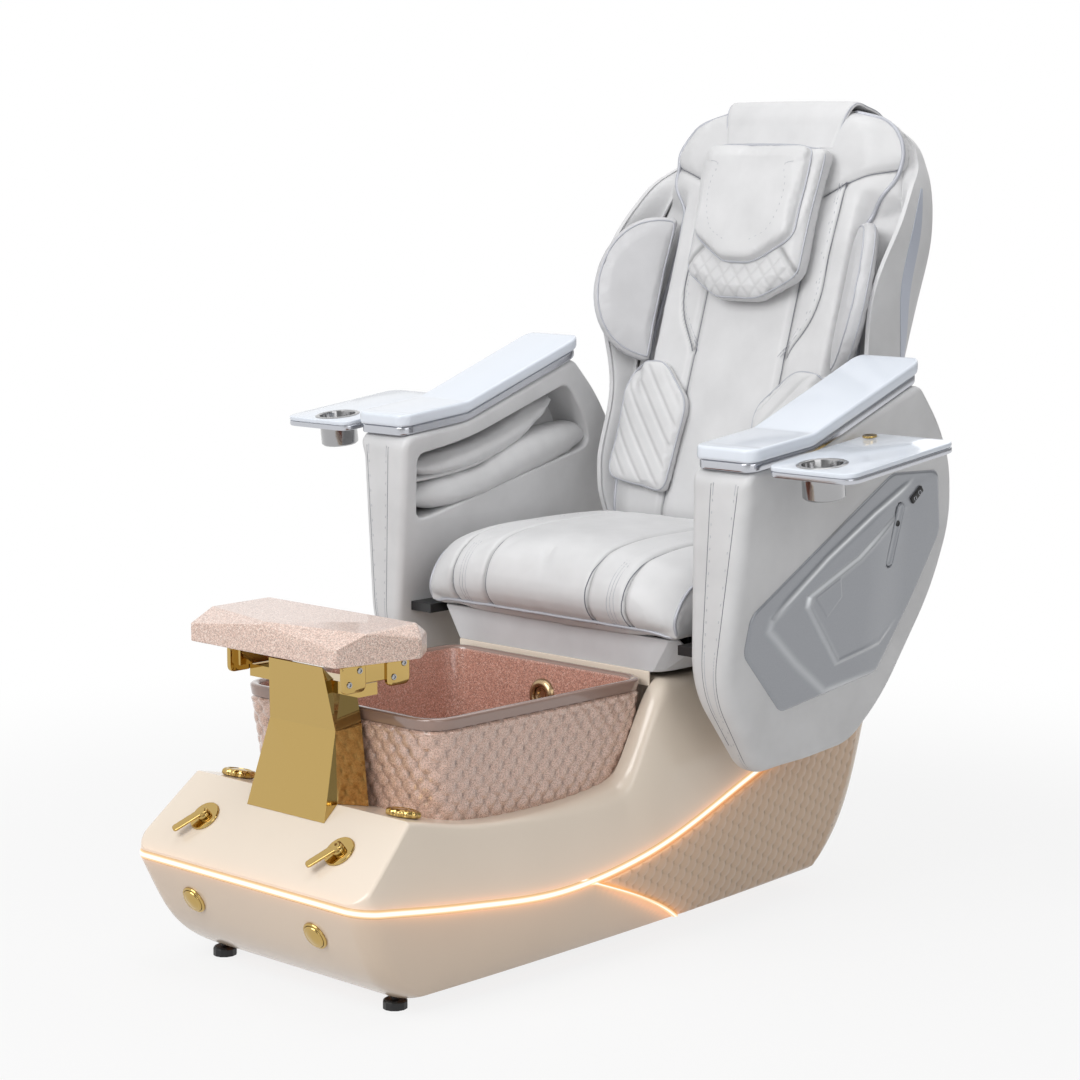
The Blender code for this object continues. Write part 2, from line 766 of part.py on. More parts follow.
def shell_section(y):
    """Closed section of the upper shell: outer side, rounded crease, top, and the same inside the wall."""
    foot = np.array([beam_at(y), strip_line(y) + STRIP_HALF + RUN])
    crease = np.array([crease_at(y), deck_z(y)])
    down = foot - crease
    fillet = min(DECK_FILLET, 0.4 * np.linalg.norm(down))
    lower = crease + down / np.linalg.norm(down) * fillet
    upper = crease - (fillet, 0)
    middle = 0.25 * lower + 0.5 * crease + 0.25 * upper
    half = np.array([foot, lower, middle, upper])
    inside = half - (SHELL_WALL, 0) - np.array([(0, 0), (0, 1), (0, 1), (0, 1)]) * SHELL_WALL
    inside[1:, 1] = np.maximum(inside[1:, 1], foot[1] + np.array([1, 1.1, 1.2]) * RUN)
    path = np.concatenate([half, half[::-1] * (-1, 1), inside * (-1, 1), inside[::-1]])
    return np.column_stack([path[:, 0], np.full(len(path), float(y)), path[:, 1]])


def upper_shell():
    """Cream shell above the light strip, cut for the basin and the jet."""
    side = hull_half(0.0, 0.0)[CORNER_STEPS:CORNER_STEPS + HULL_STATIONS, 1]
    bow = BOW_Y + HULL_CORNER * np.array([0, 0.1, 0.4])
    stern = STERN_Y - HULL_CORNER * np.array([0, 0.1, 0.4])
    collar = COLLAR_Y + COLLAR_RUN * np.array([0, 0.3, 0.5, 0.7, 1.0])
    corners = [DECK_FRONT_Y, 0.5 * (DECK_FRONT_Y + KNOB_Y), KNOB_Y, STERN_TOP_Y]
    stations = np.unique(np.concatenate([side, bow, stern, collar, corners]))
    rings = [shell_section(y) for y in stations]
    shell = piece_from("base_upper_shell", *loft(rings), "base", "cream gelcoat")
    rings = [basin_ring(z, GAP) for z in (DECK_HEIGHTS[2][1] - 0.05, RIM_Z - RIM_BAND - 0.05)]
    cut(shell, piece_from("basin_cutter", *loft(rings), "base", "black plastic"))
    cut(shell, drum("collar_jet_hole", JET_R + 4 * RUN, 0.015, JET_THROAT + 0.02, "base", "black plastic",
                    jet_place()))
    smooth(shell)


# Basin
def basin_ring(z, grow, corner=BASIN_CORNER):
    """Rounded rectangle of the basin's outer wall at one height, grown outwards."""
    draw = (RIM_Z - z) * BASIN_TAPER - grow
    x, front, rear = BASIN_HALF - draw, BASIN_FRONT + draw, BASIN_REAR - draw
    radius = max(corner + grow, 0.3 * corner)
    flat = rounded(((x, front), (x, rear), (-x, rear), (-x, front)), radius, steps=5)
    return np.column_stack([flat, np.full(len(flat), z)])


def basin():
    """Bowl with tapered walls, a rounded bottom and a proud rim band, drilled for the drain and the jet."""
    floor = BASIN_BOTTOM + BASIN_WALL
    band = RIM_Z - RIM_BAND
    profile = ((BASIN_BOTTOM, -0.030), (BASIN_BOTTOM + 0.008, -0.009), (BASIN_BOTTOM + 0.030, 0.0),
               (band, 0.0),
               (band + 0.002, RIM_PROUD), (RIM_Z - 0.004, RIM_PROUD), (RIM_Z, RIM_PROUD - 0.004),
               (RIM_Z, 0.003 - BASIN_WALL), (RIM_Z - 0.003, -BASIN_WALL), (floor + 0.030, -BASIN_WALL),
               (floor + 0.008, -BASIN_WALL - 0.009), (floor, -BASIN_WALL - 0.030))
    bowl = piece_from("basin", *loft([basin_ring(z, grow) for z, grow in profile]), "base",
                      "rose glitter glass")
    middle = Matrix.Translation((0, (BASIN_FRONT + BASIN_REAR) / 2, 0))
    cut(bowl, drum("drain_hole", DRAIN_R + RUN, BASIN_BOTTOM - 0.02, floor + 0.02, "base", "black plastic",
                   middle))
    cut(bowl, drum("jet_hole", JET_R + RUN, -0.02, 0.02 + BASIN_WALL, "base", "black plastic", jet_place()))
    smooth(bowl)
    seat = floor + GAP
    strainer = ((0, seat + 0.003), (DRAIN_R * 0.7, seat + 0.003), (DRAIN_R * 0.8, seat + 0.005),
                (DRAIN_FLANGE_R - 0.004, seat + 0.004), (DRAIN_FLANGE_R, seat), (DRAIN_R, seat),
                (DRAIN_R, seat - DRAIN_TAIL), (0, seat - DRAIN_TAIL))
    smooth(turned("drain_strainer", strainer, "base", "brushed steel", middle, 16))


def jet_place():
    """Frame on the inside of the basin's rear wall, Z pointing out through the wall."""
    inside = BASIN_REAR - (RIM_Z - JET_Z) * BASIN_TAPER - BASIN_WALL
    return Matrix.Translation((0, inside, JET_Z)) @ turn_x(-math.pi / 2 - math.atan(BASIN_TAPER))


def jet_pump():
    """Whirlpool jet: ring inside the basin, throat through both walls and the pump behind them."""
    seat = -RUN
    profile = ((0, 0.004), (JET_R * 0.75, 0.004), (JET_R * 0.75, seat - 0.005),
               (JET_FLANGE_R - 0.003, seat - 0.005),
               (JET_FLANGE_R, seat - 0.002), (JET_FLANGE_R, seat), (JET_R, seat), (JET_R, JET_THROAT),
               (JET_BODY_R, JET_THROAT), (JET_BODY_R, JET_THROAT + JET_BODY_L - 0.006),
               (JET_BODY_R - 0.006, JET_THROAT + JET_BODY_L), (0, JET_THROAT + JET_BODY_L))
    smooth(turned("jet_pump", profile[::-1], "base", "bronze", jet_place(), 16))


# Footrest
def pedestal():
    """Folded gold plate: a waisted front, two side flanges and the cross guide that carries the rails."""
    half_foot, front_foot = PEDESTAL_FOOT
    rings = []
    for half, front, top in ((half_foot, front_foot, None), PEDESTAL_WAIST, PEDESTAL_TOP):
        bend = DECK_FRONT_Y if top is None else 0.5 * (front + PEDESTAL_REAR_Y)
        outer = np.array([(half, PEDESTAL_REAR_Y), (half, bend), (half, front)])
        inner = np.array([(half - PLATE_T, PEDESTAL_REAR_Y), (half - PLATE_T, bend),
                          (half - PLATE_T, front + PLATE_T)])
        path = np.concatenate([outer, outer[::-1] * (-1, 1), inner * (-1, 1), inner[::-1]])
        if top is None:
            height = deck_z(path[:, 1]) + RUN
        elif top == PEDESTAL_TOP[2]:
            height = np.where(path[:, 1] > front + 2 * PLATE_T, GUIDE_TOP_Z - GUIDE_T / 2, top)
        else:
            height = np.full(len(path), top)
        rings.append(np.column_stack([path, height]))
    stand = piece_from("pedestal", *loft(rings), "base", "polished gold")
    guide = box("pedestal_guide", (-GUIDE_HALF, GUIDE_Y[0], GUIDE_TOP_Z - GUIDE_T),
                (GUIDE_HALF, GUIDE_Y[1], GUIDE_TOP_Z), "base", "polished gold")
    fuse(stand, guide)


def footrest_pad():
    """Gem-cut slab: the convex body over a wedge-shaped foot, a gabled front edge and a flat top."""
    top = REST_BOTTOM_Z + REST_T
    corners = []
    for side in (1, -1):
        corners += [(side * REST_HALF_FRONT, REST_FRONT_Y, REST_BOTTOM_Z),
                    (side * REST_HALF_FRONT, REST_FRONT_Y, top - REST_EDGE_DROP - REST_RIDGE[0]),
                    (side * REST_HALF_REAR, REST_REAR_Y - REST_NOSE, REST_BOTTOM_Z),
                    (side * REST_HALF_REAR, REST_REAR_Y - REST_NOSE, top - REST_EDGE_DROP),
                    (side * (REST_HALF_REAR - REST_CLIP), REST_REAR_Y, REST_BOTTOM_Z),
                    (side * (REST_HALF_REAR - REST_CLIP), REST_REAR_Y, top - REST_EDGE_DROP),
                    (side * (REST_HALF_FRONT + REST_SLOPE_OUT), REST_FRONT_Y + REST_SLOPE,
                     top - REST_RIDGE[0]),
                    (side * (REST_HALF_REAR - REST_TOP_INSET[0]), REST_REAR_Y - REST_TOP_INSET[1], top)]
    corners += [(0, REST_FRONT_Y, REST_BOTTOM_Z), (0, REST_FRONT_Y + REST_RIDGE[0],
                                                   top - 1.5 * REST_RIDGE[0]),
                (0, REST_FRONT_Y + REST_RIDGE[1], top)]
    mesh = bpy.data.meshes.new("footrest_pad")
    inverse = FRAMES["footrest"].inverted()
    shape = bmesh.new()
    for corner in corners:
        shape.verts.new(inverse @ Vector(corner))
    hull = bmesh.ops.convex_hull(shape, input=shape.verts)
    bmesh.ops.delete(shape, geom=hull["geom_interior"], context="VERTS")
    bmesh.ops.recalc_face_normals(shape, faces=shape.faces)
    shape.to_mesh(mesh)
    shape.free()
    link("footrest_pad", mesh, "footrest", "rose glitter resin")


def footrest_rail(side, word):
    """Rail bar on the guide, with an end plate at each end that reaches up to the pad."""
    low = GUIDE_TOP_Z + GAP
    inner, outer = RAIL_X - RAIL_W / 2, RAIL_X + RAIL_W / 2
    ends = sorted((side * inner, side * outer))
    rail = box(f"footrest_rail_{word}", (ends[0], RAIL_Y[0], low), (ends[1], RAIL_Y[1], low + RAIL_H),
               "footrest", "polished gold")
    for number, middle in enumerate((RAIL_Y[0] + RAIL_PLATE / 2 - 0.002, RAIL_Y[1] - RAIL_PLATE / 2 + 0.002)):
        plates = sorted((side * (outer - 0.001), side * (outer - 0.001 + RAIL_PLATE_T)))
        low_corner = (plates[0], middle - RAIL_PLATE / 2, low - RAIL_H)
        high_corner = (plates[1], middle + RAIL_PLATE / 2, REST_BOTTOM_Z - GAP)
        end = box(f"rail_plate_{word}_{number}", low_corner, high_corner, "footrest", "polished gold")
        fuse(rail, end)


# Controls
def tap_frame(side):
    """Frame of a tap on the front slope, Z square to the slope and Y up the slope."""
    rise = deck_z(np.array(DECK_FRONT_Y)) - deck_z(np.array(BOW_Y))
    slope = math.atan2(rise, DECK_FRONT_Y - BOW_Y)
    return (side * TAP_X, TAP_Y, float(deck_z(np.array(TAP_Y)))), turn_x(slope)


def tap(side, word):
    """Round tap plate on the slope, and the lever that turns on it."""
    owner = f"tap_{word}"
    place = FRAMES["base"].inverted() @ FRAMES[owner]
    smooth(drum(f"tap_plate_{word}", TAP_PLATE_R, GAP, GAP + TAP_PLATE_T, "base", "polished gold", place))
    seat = 2 * GAP + TAP_PLATE_T
    hub = turned(f"tap_lever_{word}", ((0, seat + TAP_HUB_H), (TAP_HUB_R - 0.003, seat + TAP_HUB_H),
                                       (TAP_HUB_R, seat + TAP_HUB_H - 0.003), (TAP_HUB_R, seat), (0, seat)),
                 owner, "polished gold")
    outline = rounded(((-0.005, 0.004), (0.005, 0.004), (0.0085, -TAP_LEVER), (-0.0085, -TAP_LEVER)), 0.006)
    blade = plate(f"tap_blade_{word}", outline, TAP_LEVER_T, owner, "polished gold",
                  Matrix.Translation((0, 0, seat + 0.004)))
    fuse(hub, blade)
    smooth(hub)


def button_place(side):
    """Frame of a push button on the hull's bow, Z pointing out of the hull."""
    levels = (BUTTON_LEVEL - 0.01, BUTTON_LEVEL + 0.01)
    (y_up, z_up), (y_down, z_down) = [(hull_half(v, 0.0)[-1, 1], hull_heights(v, 0.0)[-1]) for v in levels]
    lean = math.atan2(y_down - y_up, z_up - z_down)
    middle = (side * BUTTON_X, (y_up + y_down) / 2, (z_up + z_down) / 2)
    return Matrix.Translation(middle) @ turn_x(math.pi / 2 + lean)


def push_button(side, word):
    """Domed button whose stem slides in the hull."""
    profile = [(BUTTON_R * s, BUTTON_PROUD * (1 - 0.55 * s ** 3)) for s in (0, 0.35, 0.65, 0.85, 1.0)]
    profile += [(BUTTON_R, -BUTTON_STEM), (0, -BUTTON_STEM)]
    smooth(turned(f"push_button_{word}", profile, f"button_{word}", "polished gold", steps=16))


def knob_frame(side):
    """Frame of a knob on the deck, Z square to the deck."""
    ends = deck_z(np.array([DECK_FRONT_Y, KNOB_Y]))
    fall = math.atan2(ends[0] - ends[1], KNOB_Y - DECK_FRONT_Y)
    return (side * KNOB_X, KNOB_Y, float(ends[1])), turn_x(-fall)


def knob(side, word):
    """Scalloped knob."""
    turn = np.linspace(0, 2 * math.pi, KNOB_LOBES * 3, endpoint=False)
    radius = KNOB_R * (1 + 0.05 * np.cos(KNOB_LOBES * turn))
    outline = np.stack([radius * np.cos(turn), radius * np.sin(turn)], 1)
    owner = f"knob_{word}"
    plate(f"deck_knob_{word}", outline, KNOB_H, owner, "polished gold", Matrix.Translation((0, 0, RUN)))


# Feet and frames
def feet():
    """Levelling feet under the base frame."""
    for (x, y), end, top in ((FOOT_FRONT, "front", FRAME_BOTTOM),
                             (FOOT_REAR, "rear", FRAME_BOTTOM + CROSS_STEP)):
        profile = ((0, top - GAP), (FOOT_STEM_R, top - GAP), (FOOT_STEM_R, FOOT_H),
                   (FOOT_R - 0.003, FOOT_H), (FOOT_R, FOOT_H - 0.003), (FOOT_R, 0), (0, 0))
        for side, word in ((1, "left"), (-1, "right")):
            place = Matrix.Translation((side * x, y, 0))
            smooth(turned(f"foot_{end}_{word}", profile, "base", "black plastic", place, 12))


def base_frame():
    """Welded tube frame: two rails on the feet, cross tubes, and posts and rails under the seat deck."""
    half = FRAME_TUBE / 2
    low, high = FRAME_BOTTOM, FRAME_BOTTOM + FRAME_TUBE
    top = SEAT_DECK_Z - SHELL_WALL - GAP
    tubes = []
    for side in (1, -1):
        x = side * FRAME_X
        tubes.append(((x - half, FRAME_Y[0], low), (x + half, FRAME_Y[1], high)))
        tubes.append(((x - half, POST_Y[0] - half, top - FRAME_TUBE), (x + half, POST_Y[1] + half, top)))
        for y in POST_Y:
            tubes.append(((x - half + 0.001, y - half + 0.001, high - 0.005),
                          (x + half - 0.001, y + half - 0.001, top - 0.005)))
    for y in FRAME_CROSS_Y:
        tubes.append(((-FRAME_X, y - half, low + CROSS_STEP), (FRAME_X, y + half, high - CROSS_STEP)))
    pieces = [box(f"base_frame_{i}" if i else "base_frame", *tube_box, "base", "black steel")
              for i, tube_box in enumerate(tubes)]
    fuse(pieces[0], *pieces[1:])


def slide_track():
    """Two slide rails on the seat deck, tied by two cross plates."""
    low = SEAT_DECK_Z + GAP
    pieces = []
    for i, side in enumerate((1, -1)):
        x = side * TRACK_X
        pieces.append(box("slide_track" if i == 0 else "slide_track_right",
                          (x - TRACK_W / 2, TRACK_Y[0], low),
                          (x + TRACK_W / 2, TRACK_Y[1], low + TRACK_H), "base", "black steel"))
    for i, y in enumerate((TRACK_Y[0] + 0.025, TRACK_Y[1] - 0.025)):
        pieces.append(box(f"track_tie_{i}", (-TRACK_X, y - 0.015, low),
                          (TRACK_X, y + 0.015, low + TRACK_H / 3),
                          "base", "black steel"))
    fuse(pieces[0], *pieces[1:])


def arm_inner(z):
    """Inner face of the arm at a height."""
    return ARM_INNER_TOP + (ARM_INNER_FOOT - ARM_INNER_TOP) * (ARM_TOP_Z - z) / (ARM_TOP_Z - ARM_FOOT_Z)


def arm_outer(z):
    """Outer face of the arm at a height."""
    return ARM_OUTER_TOP - ARM_TAPER * (ARM_TOP_Z - z)


def seat_frame():
    """Welded frame on the slide track: runners, side beams, cross beams, arm brackets and recline ears."""
    run_low = SEAT_DECK_Z + TRACK_H + 2 * GAP
    beam_low = SEAT_FRAME_TOP - BEAM_H
    reach = arm_inner(SEAT_FRAME_TOP) - GAP
    front, rear = APRON_Y[0] + APRON_T + 0.042, RECLINE_Y - 0.035
    pieces = [box("seat_frame", (-SEAT_BEAM_X - 0.010, front, beam_low + 0.001),
                  (SEAT_BEAM_X + 0.010, front + 0.035, SEAT_FRAME_TOP - 0.001), "chair", "black steel"),
              box("seat_cross_rear", (-SEAT_BEAM_X - 0.010, rear - 0.075, beam_low + 0.001),
                  (SEAT_BEAM_X + 0.010, rear - 0.040, SEAT_FRAME_TOP - 0.001), "chair", "black steel")]
    for side in (1, -1):
        def span(x0, x1):
            return sorted((side * x0, side * x1))
        x0, x1 = span(SEAT_BEAM_X - 0.012, SEAT_BEAM_X + 0.012)
        pieces.append(box(f"seat_beam_{side}", (x0, front - 0.004, beam_low), (x1, rear, SEAT_FRAME_TOP),
                          "chair", "black steel"))
        x0, x1 = span(TRACK_X - TRACK_W / 2 - 0.002, TRACK_X + TRACK_W / 2 + 0.002)
        pieces.append(box(f"seat_runner_{side}", (x0, front + 0.012, run_low),
                          (x1, rear - 0.045, SEAT_FRAME_TOP - 0.004),
                          "chair", "black steel"))
        x0, x1 = span(SEAT_BEAM_X, reach)
        for i, y in enumerate((front - 0.001, rear - 0.070)):
            pieces.append(box(f"arm_bracket_{side}_{i}", (x0, y, beam_low + 0.002),
                              (x1, y + 0.036, SEAT_FRAME_TOP - 0.002),
                              "chair", "black steel"))
        x0, x1 = span(APRON_TOP_HALF + 0.012, reach)
        pieces.append(box(f"arm_plate_{side}", (x0, APRON_Y[0] - APRON_T, beam_low + 0.003),
                          (x1, front + 0.010, SEAT_FRAME_TOP - 0.003),
                          "chair", "black steel"))
        x0, x1 = span(HINGE_HALF + GAP, HINGE_HALF + GAP + HINGE_EAR_T)
        ear_y = SEAT_REAR + 0.004
        pieces.append(box(f"hinge_ear_{side}", (x0, ear_y, beam_low + 0.003),
                          (x1, RECLINE_Y + 0.022, RECLINE_Z + 0.022), "chair", "black steel"))
        x0, x1 = span(SEAT_BEAM_X, HINGE_HALF + HINGE_EAR_T / 2)
        pieces.append(box(f"ear_foot_{side}", (x0, ear_y + 0.002, beam_low + 0.005),
                          (x1, rear - 0.002, SEAT_FRAME_TOP - 0.005), "chair", "black steel"))
    fuse(pieces[0], *pieces[1:])


# Seat
def seat_cushion():
    """Seat cushion with a waterfall front, a crown, and two sewn seams each side."""
    half = [0, 0.055]
    for seam in SEAT_SEAMS:
        half += [seam - SEAM_HALF, seam, seam + SEAM_HALF]
    half += [0.5 * (SEAT_SEAMS[1] + SEAT_HALF), SEAT_HALF - 0.022, SEAT_HALF]
    columns = np.array([-x for x in half[:0:-1]] + half)
    share = columns / SEAT_HALF
    low = SEAT_FRAME_TOP + GAP
    height = SEAT_TOP - low
    profile = np.array(((0.034, 0.035), (0.010, 0.20), (0.0, 0.38), (0.010, 0.62), (0.034, 0.80),
                        (0.075, 0.93),
                        (0.140, 0.99), (0.220, 1.0), (0.300, 1.0), (0.360, 0.985), (0.392, 0.93)))
    depth = SEAT_REAR - SEAT_FRONT
    y = SEAT_FRONT + profile[:, 0] / profile[-1, 0] * depth
    seams = np.zeros(len(columns))
    for seam in SEAT_SEAMS:
        seams[np.isclose(np.abs(columns), seam)] = SEAM_DEPTH
    level = np.clip((profile[:, 1] - 0.2) / 0.8, 0, 1)
    front = np.clip(1 - profile[:, 0] / 0.14, 0, 1)
    edge = np.abs(share) ** 6
    grid_x = np.outer(1 - 0.03 * front ** 2, columns)
    grid_y = y[:, None] + np.outer(front, 0.030 * edge) + np.outer(front ** 2, seams)
    drop = np.outer(level, 0.030 * edge + 0.010 * share ** 2 + seams)
    grid_z = low + height * profile[:, 1][:, None] + 0.010 * level[:, None] - drop
    top = np.stack([grid_x, grid_y, grid_z], -1)
    edge_points = top.reshape(-1, 3)[rim(*top.shape[:2])]
    bulge = edge_points * (1, 1, 0) + (0, 0, low + 0.3 * height)
    bulge[:, 2] = np.minimum(bulge[:, 2], edge_points[:, 2] - 0.002)
    foot = edge_points * (SEAT_FOOT_DRAW, 1, 0) + (0, 0, low)
    foot[:, 1] = np.clip(foot[:, 1], SEAT_FRONT + 0.036, SEAT_REAR - 0.006)
    smooth(piece_from("seat_cushion", *cushion(top, (bulge, foot)), "chair", "grey leatherette"), 60)


def seat_apron():
    """Apron under the cushion: a front wall with sides, drawn in towards its foot."""
    top_front, top_side = SEAT_FRAME_TOP - GAP, SEAT_FRAME_TOP - BEAM_H - GAP
    grids = []
    for inset in (0, APRON_T):
        rows = []
        for top, half in ((1, APRON_TOP_HALF - inset), (0, APRON_FOOT_HALF - inset)):
            front = APRON_Y[0] + inset
            path = np.array([(half, APRON_Y[1]), (half, front + 0.036), (half - 0.004, front + 0.012),
                             (half - 0.014, front)])
            path = np.concatenate([path, path[::-1] * (-1, 1)])
            height = np.array([top_side, top_side, top_front, top_front]) if top else np.full(4, APRON_FOOT_Z)
            rows.append(np.column_stack([path, np.concatenate([height, height[::-1]])]))
        grids.append(np.array(rows))
    smooth(piece_from("seat_apron", *slab(*grids), "chair", "grey leatherette"), 60)


# Arms
def pad_top(y):
    """Top line of the arm pad: a shallow front run and a steeper rear run, blended at the kink."""
    front = PAD_FRONT_Z + (PAD_KINK[1] - PAD_FRONT_Z) / PAD_KINK[0] * y
    rear = PAD_KINK[1] + (PAD_REAR[1] - PAD_KINK[1]) / (PAD_REAR[0] - PAD_KINK[0]) * (y - PAD_KINK[0])
    return 0.5 * (front + rear + np.sqrt((rear - front) ** 2 + 0.004 ** 2))


def arm_top(y):
    """Top of the arm box, under the band."""
    return pad_top(np.asarray(y, float)) - PAD_T - BAND_T - GAP - RUN


def arm(side, word):
    """Upholstered arm box, leaning in towards its foot, with the arm-massage slot cut in its inner side."""
    front_y = 0.002
    rear_y = PAD_REAR[0] - 0.012
    lower = np.concatenate([[ARM_FRONT[1]], rounded((ARM_FRONT[1], ARM_FRONT[0], *ARM_REAR), ARM_ROUND)[3:-3],
                            [ARM_REAR[-1]]])
    top_y = np.array([rear_y, *(PAD_KINK[0] + KINK_BLEND * np.array([1, 0, -1])), front_y])
    outline = np.concatenate([lower, np.column_stack([top_y, arm_top(top_y)])])
    rings = [np.column_stack([side * face(outline[:, 1]), outline]) for face in (arm_inner, arm_outer)]
    piece = piece_from(f"arm_{word}", *loft(rings), "chair", "grey leatherette")
    bevel(piece, ARM_BEVEL)
    slot = rounded(SLOT_OUTLINE, 0.012)
    rings = [np.column_stack([np.full(len(slot), side * x), slot]) for x in (ARM_INNER_TOP - 0.03,
                                                                             SLOT_BACK_X)]
    cut(piece, piece_from(f"arm_slot_{word}", *loft(rings), "chair", "black plastic"))
    smooth(piece)


def pad_rings(inset, drop, thickness, side):
    """Rings of a bent strip that follows the arm pad's plan, a drop below its top."""
    ends = PAD_CORNER * np.array([0, 0.12, 0.45, 1.0])
    front, rear = inset, PAD_REAR[0] - inset
    kink = PAD_KINK[0] + KINK_BLEND * np.array([-1, 0, 1])
    stations = np.concatenate([front + ends, kink, rear - 0.6 * ends[::-1]])
    from_end = np.minimum((stations - front) / PAD_CORNER, (rear - stations) / (0.6 * PAD_CORNER))
    bite = PAD_CORNER * (1 - np.sqrt(1 - (1 - np.clip(from_end, 0, 1)) ** 2))
    inner = PAD_INNER[0] + (PAD_INNER[1] - PAD_INNER[0]) * stations / PAD_REAR[0] + inset + bite
    outer = PAD_OUTER - inset - bite
    top = pad_top(stations) - drop
    rings = []
    for y, x0, x1, z in zip(stations, inner, outer, top):
        corners = ((x0, z), (x1, z), (x1, z - thickness), (x0, z - thickness))
        rings.append([(side * x, y, height) for x, height in corners])
    return rings


def arm_pad(side, word):
    """White arm pad and the silver band under it."""
    pad = piece_from(f"arm_pad_{word}", *loft(pad_rings(0.0, 0.0, PAD_T, side)), "chair",
                     "white gloss acrylic")
    bevel(pad, 0.004, 1)
    smooth(pad)
    rings = pad_rings(BAND_INSET, PAD_T + GAP, BAND_T, side)
    smooth(piece_from(f"arm_band_{word}", *loft(rings), "chair", "silver trim"))


def air_bags(side, word):
    """Two stuffed air cushions in the arm slot, thick in the middle and drawn in at their ends."""
    for level, route in (("upper", BAG_UPPER), ("lower", BAG_LOWER)):
        along = np.linspace(0, 1, 9)
        swell = np.sqrt(np.clip(np.sin(math.pi * (0.04 + 0.92 * along)), 0.05, 1))
        y = route[0][0] + (route[-1][0] - route[0][0]) * along
        z = hermite(route, y)
        turn = np.linspace(0, 2 * math.pi, 12, endpoint=False)
        depth = SLOT_BACK_X - GAP - BAG_X
        rings = []
        for yy, zz, fat in zip(y, z, swell):
            ring_x = SLOT_BACK_X - GAP - depth + depth * np.sign(np.cos(turn)) * np.abs(np.cos(turn)) ** 0.7 * (
                0.6 + 0.4 * fat)
            ring_z = zz + BAG_T * fat * np.sin(turn)
            rings.append(np.column_stack([side * ring_x, np.full(len(turn), yy), ring_z]))
        smooth(piece_from(f"air_bag_{level}_{word}", *loft(rings), "chair", "grey leatherette"), 60)


def on_side(points, outward):
    """Points (y, z) laid on the arm's outer face, a distance out of it."""
    points = np.asarray(points, float)
    return np.column_stack([arm_outer(points[:, 1]) + outward, points])


def pill(foot, lean, length, width, steps=5):
    """Outline of a slot with round ends, from its lower end up along a leaning line."""
    up = np.array([math.sin(lean), math.cos(lean)])
    across = np.array([math.cos(lean), -math.sin(lean)])
    turn = np.linspace(0, math.pi, steps)
    top = foot + up * (length - width / 2)
    low = foot + up * width / 2
    arcs = [top + width / 2 * (math.cos(t) * across + math.sin(t) * up) for t in turn]
    arcs += [low - width / 2 * (math.cos(t) * across + math.sin(t) * up) for t in turn]
    return np.array(arcs)


def socket_outline(grow):
    """Leaning rectangle of the socket plate."""
    half = np.array(SOCKET_SIZE) / 2 + grow
    corners = np.array([(-half[0], -half[1]), (half[0], -half[1]), (half[0], half[1]), (-half[0], half[1])])
    c, s = math.cos(SOCKET_LEAN), math.sin(SOCKET_LEAN)
    return np.array(SOCKET) + corners @ np.array([(c, s), (-s, c)])


def side_panel(side, word):
    """Silver-grey panel on the arm's outer face. The left one holds the hook and the socket plate."""
    outline = rounded(SIDE_OUTLINE, SIDE_ROUND)
    rings = [on_side(outline, out) * (side, 1, 1) for out in (GAP, GAP + SIDE_T)]
    panel = piece_from(f"side_panel_{word}", *loft(rings), "chair", "silver grey panel")
    bevel(panel, 0.002, 1)
    if side > 0:
        openings = (("hook_pocket", pill(HOOK_FOOT, HOOK_LEAN, HOOK_LENGTH, HOOK_W)),
                    ("socket_pocket", socket_outline(GAP)))
        for name, opening in openings:
            rings = [on_side(opening, out) for out in (-SIDE_T, 2 * SIDE_T)]
            cut(panel, piece_from(name, *loft(rings), "chair", "black plastic"))
        rings = [on_side(socket_outline(0.0), out) for out in (GAP, GAP + SIDE_T)]
        piece_from("socket_plate", *loft(rings), "chair", "black plastic")


def hook_frame():
    """Point on the hook's hinge, at the outer foot of its pocket."""
    y, z = np.array(HOOK_FOOT) + np.array([math.sin(HOOK_LEAN), math.cos(HOOK_LEAN)]) * RUN
    return arm_outer(z) + GAP + SIDE_T, y, z


def bag_hook():
    """Flip-out hook that fills its pocket."""
    foot = np.array(HOOK_FOOT) + np.array([math.sin(HOOK_LEAN), math.cos(HOOK_LEAN)]) * RUN
    outline = pill(foot, HOOK_LEAN, HOOK_LENGTH - 2 * RUN, HOOK_W - 2 * RUN)
    top = GAP + SIDE_T
    rings = [on_side(outline, out) for out in (top - HOOK_T, top)]
    piece_from("bag_hook", *loft(rings), "hook", "silver trim")


# Trays
def tray_frame(side):
    """Frame of a tray: on its pivot, Z square to the tray's underside."""
    top = TRAY_FRONT_Z + math.tan(TRAY_PITCH) * PIVOT_Y
    low = Vector((side * PIVOT_X, PIVOT_Y, top)) - TRAY_T * Vector((0, -math.sin(TRAY_PITCH),
                                                                    math.cos(TRAY_PITCH)))
    return low, turn_x(TRAY_PITCH)


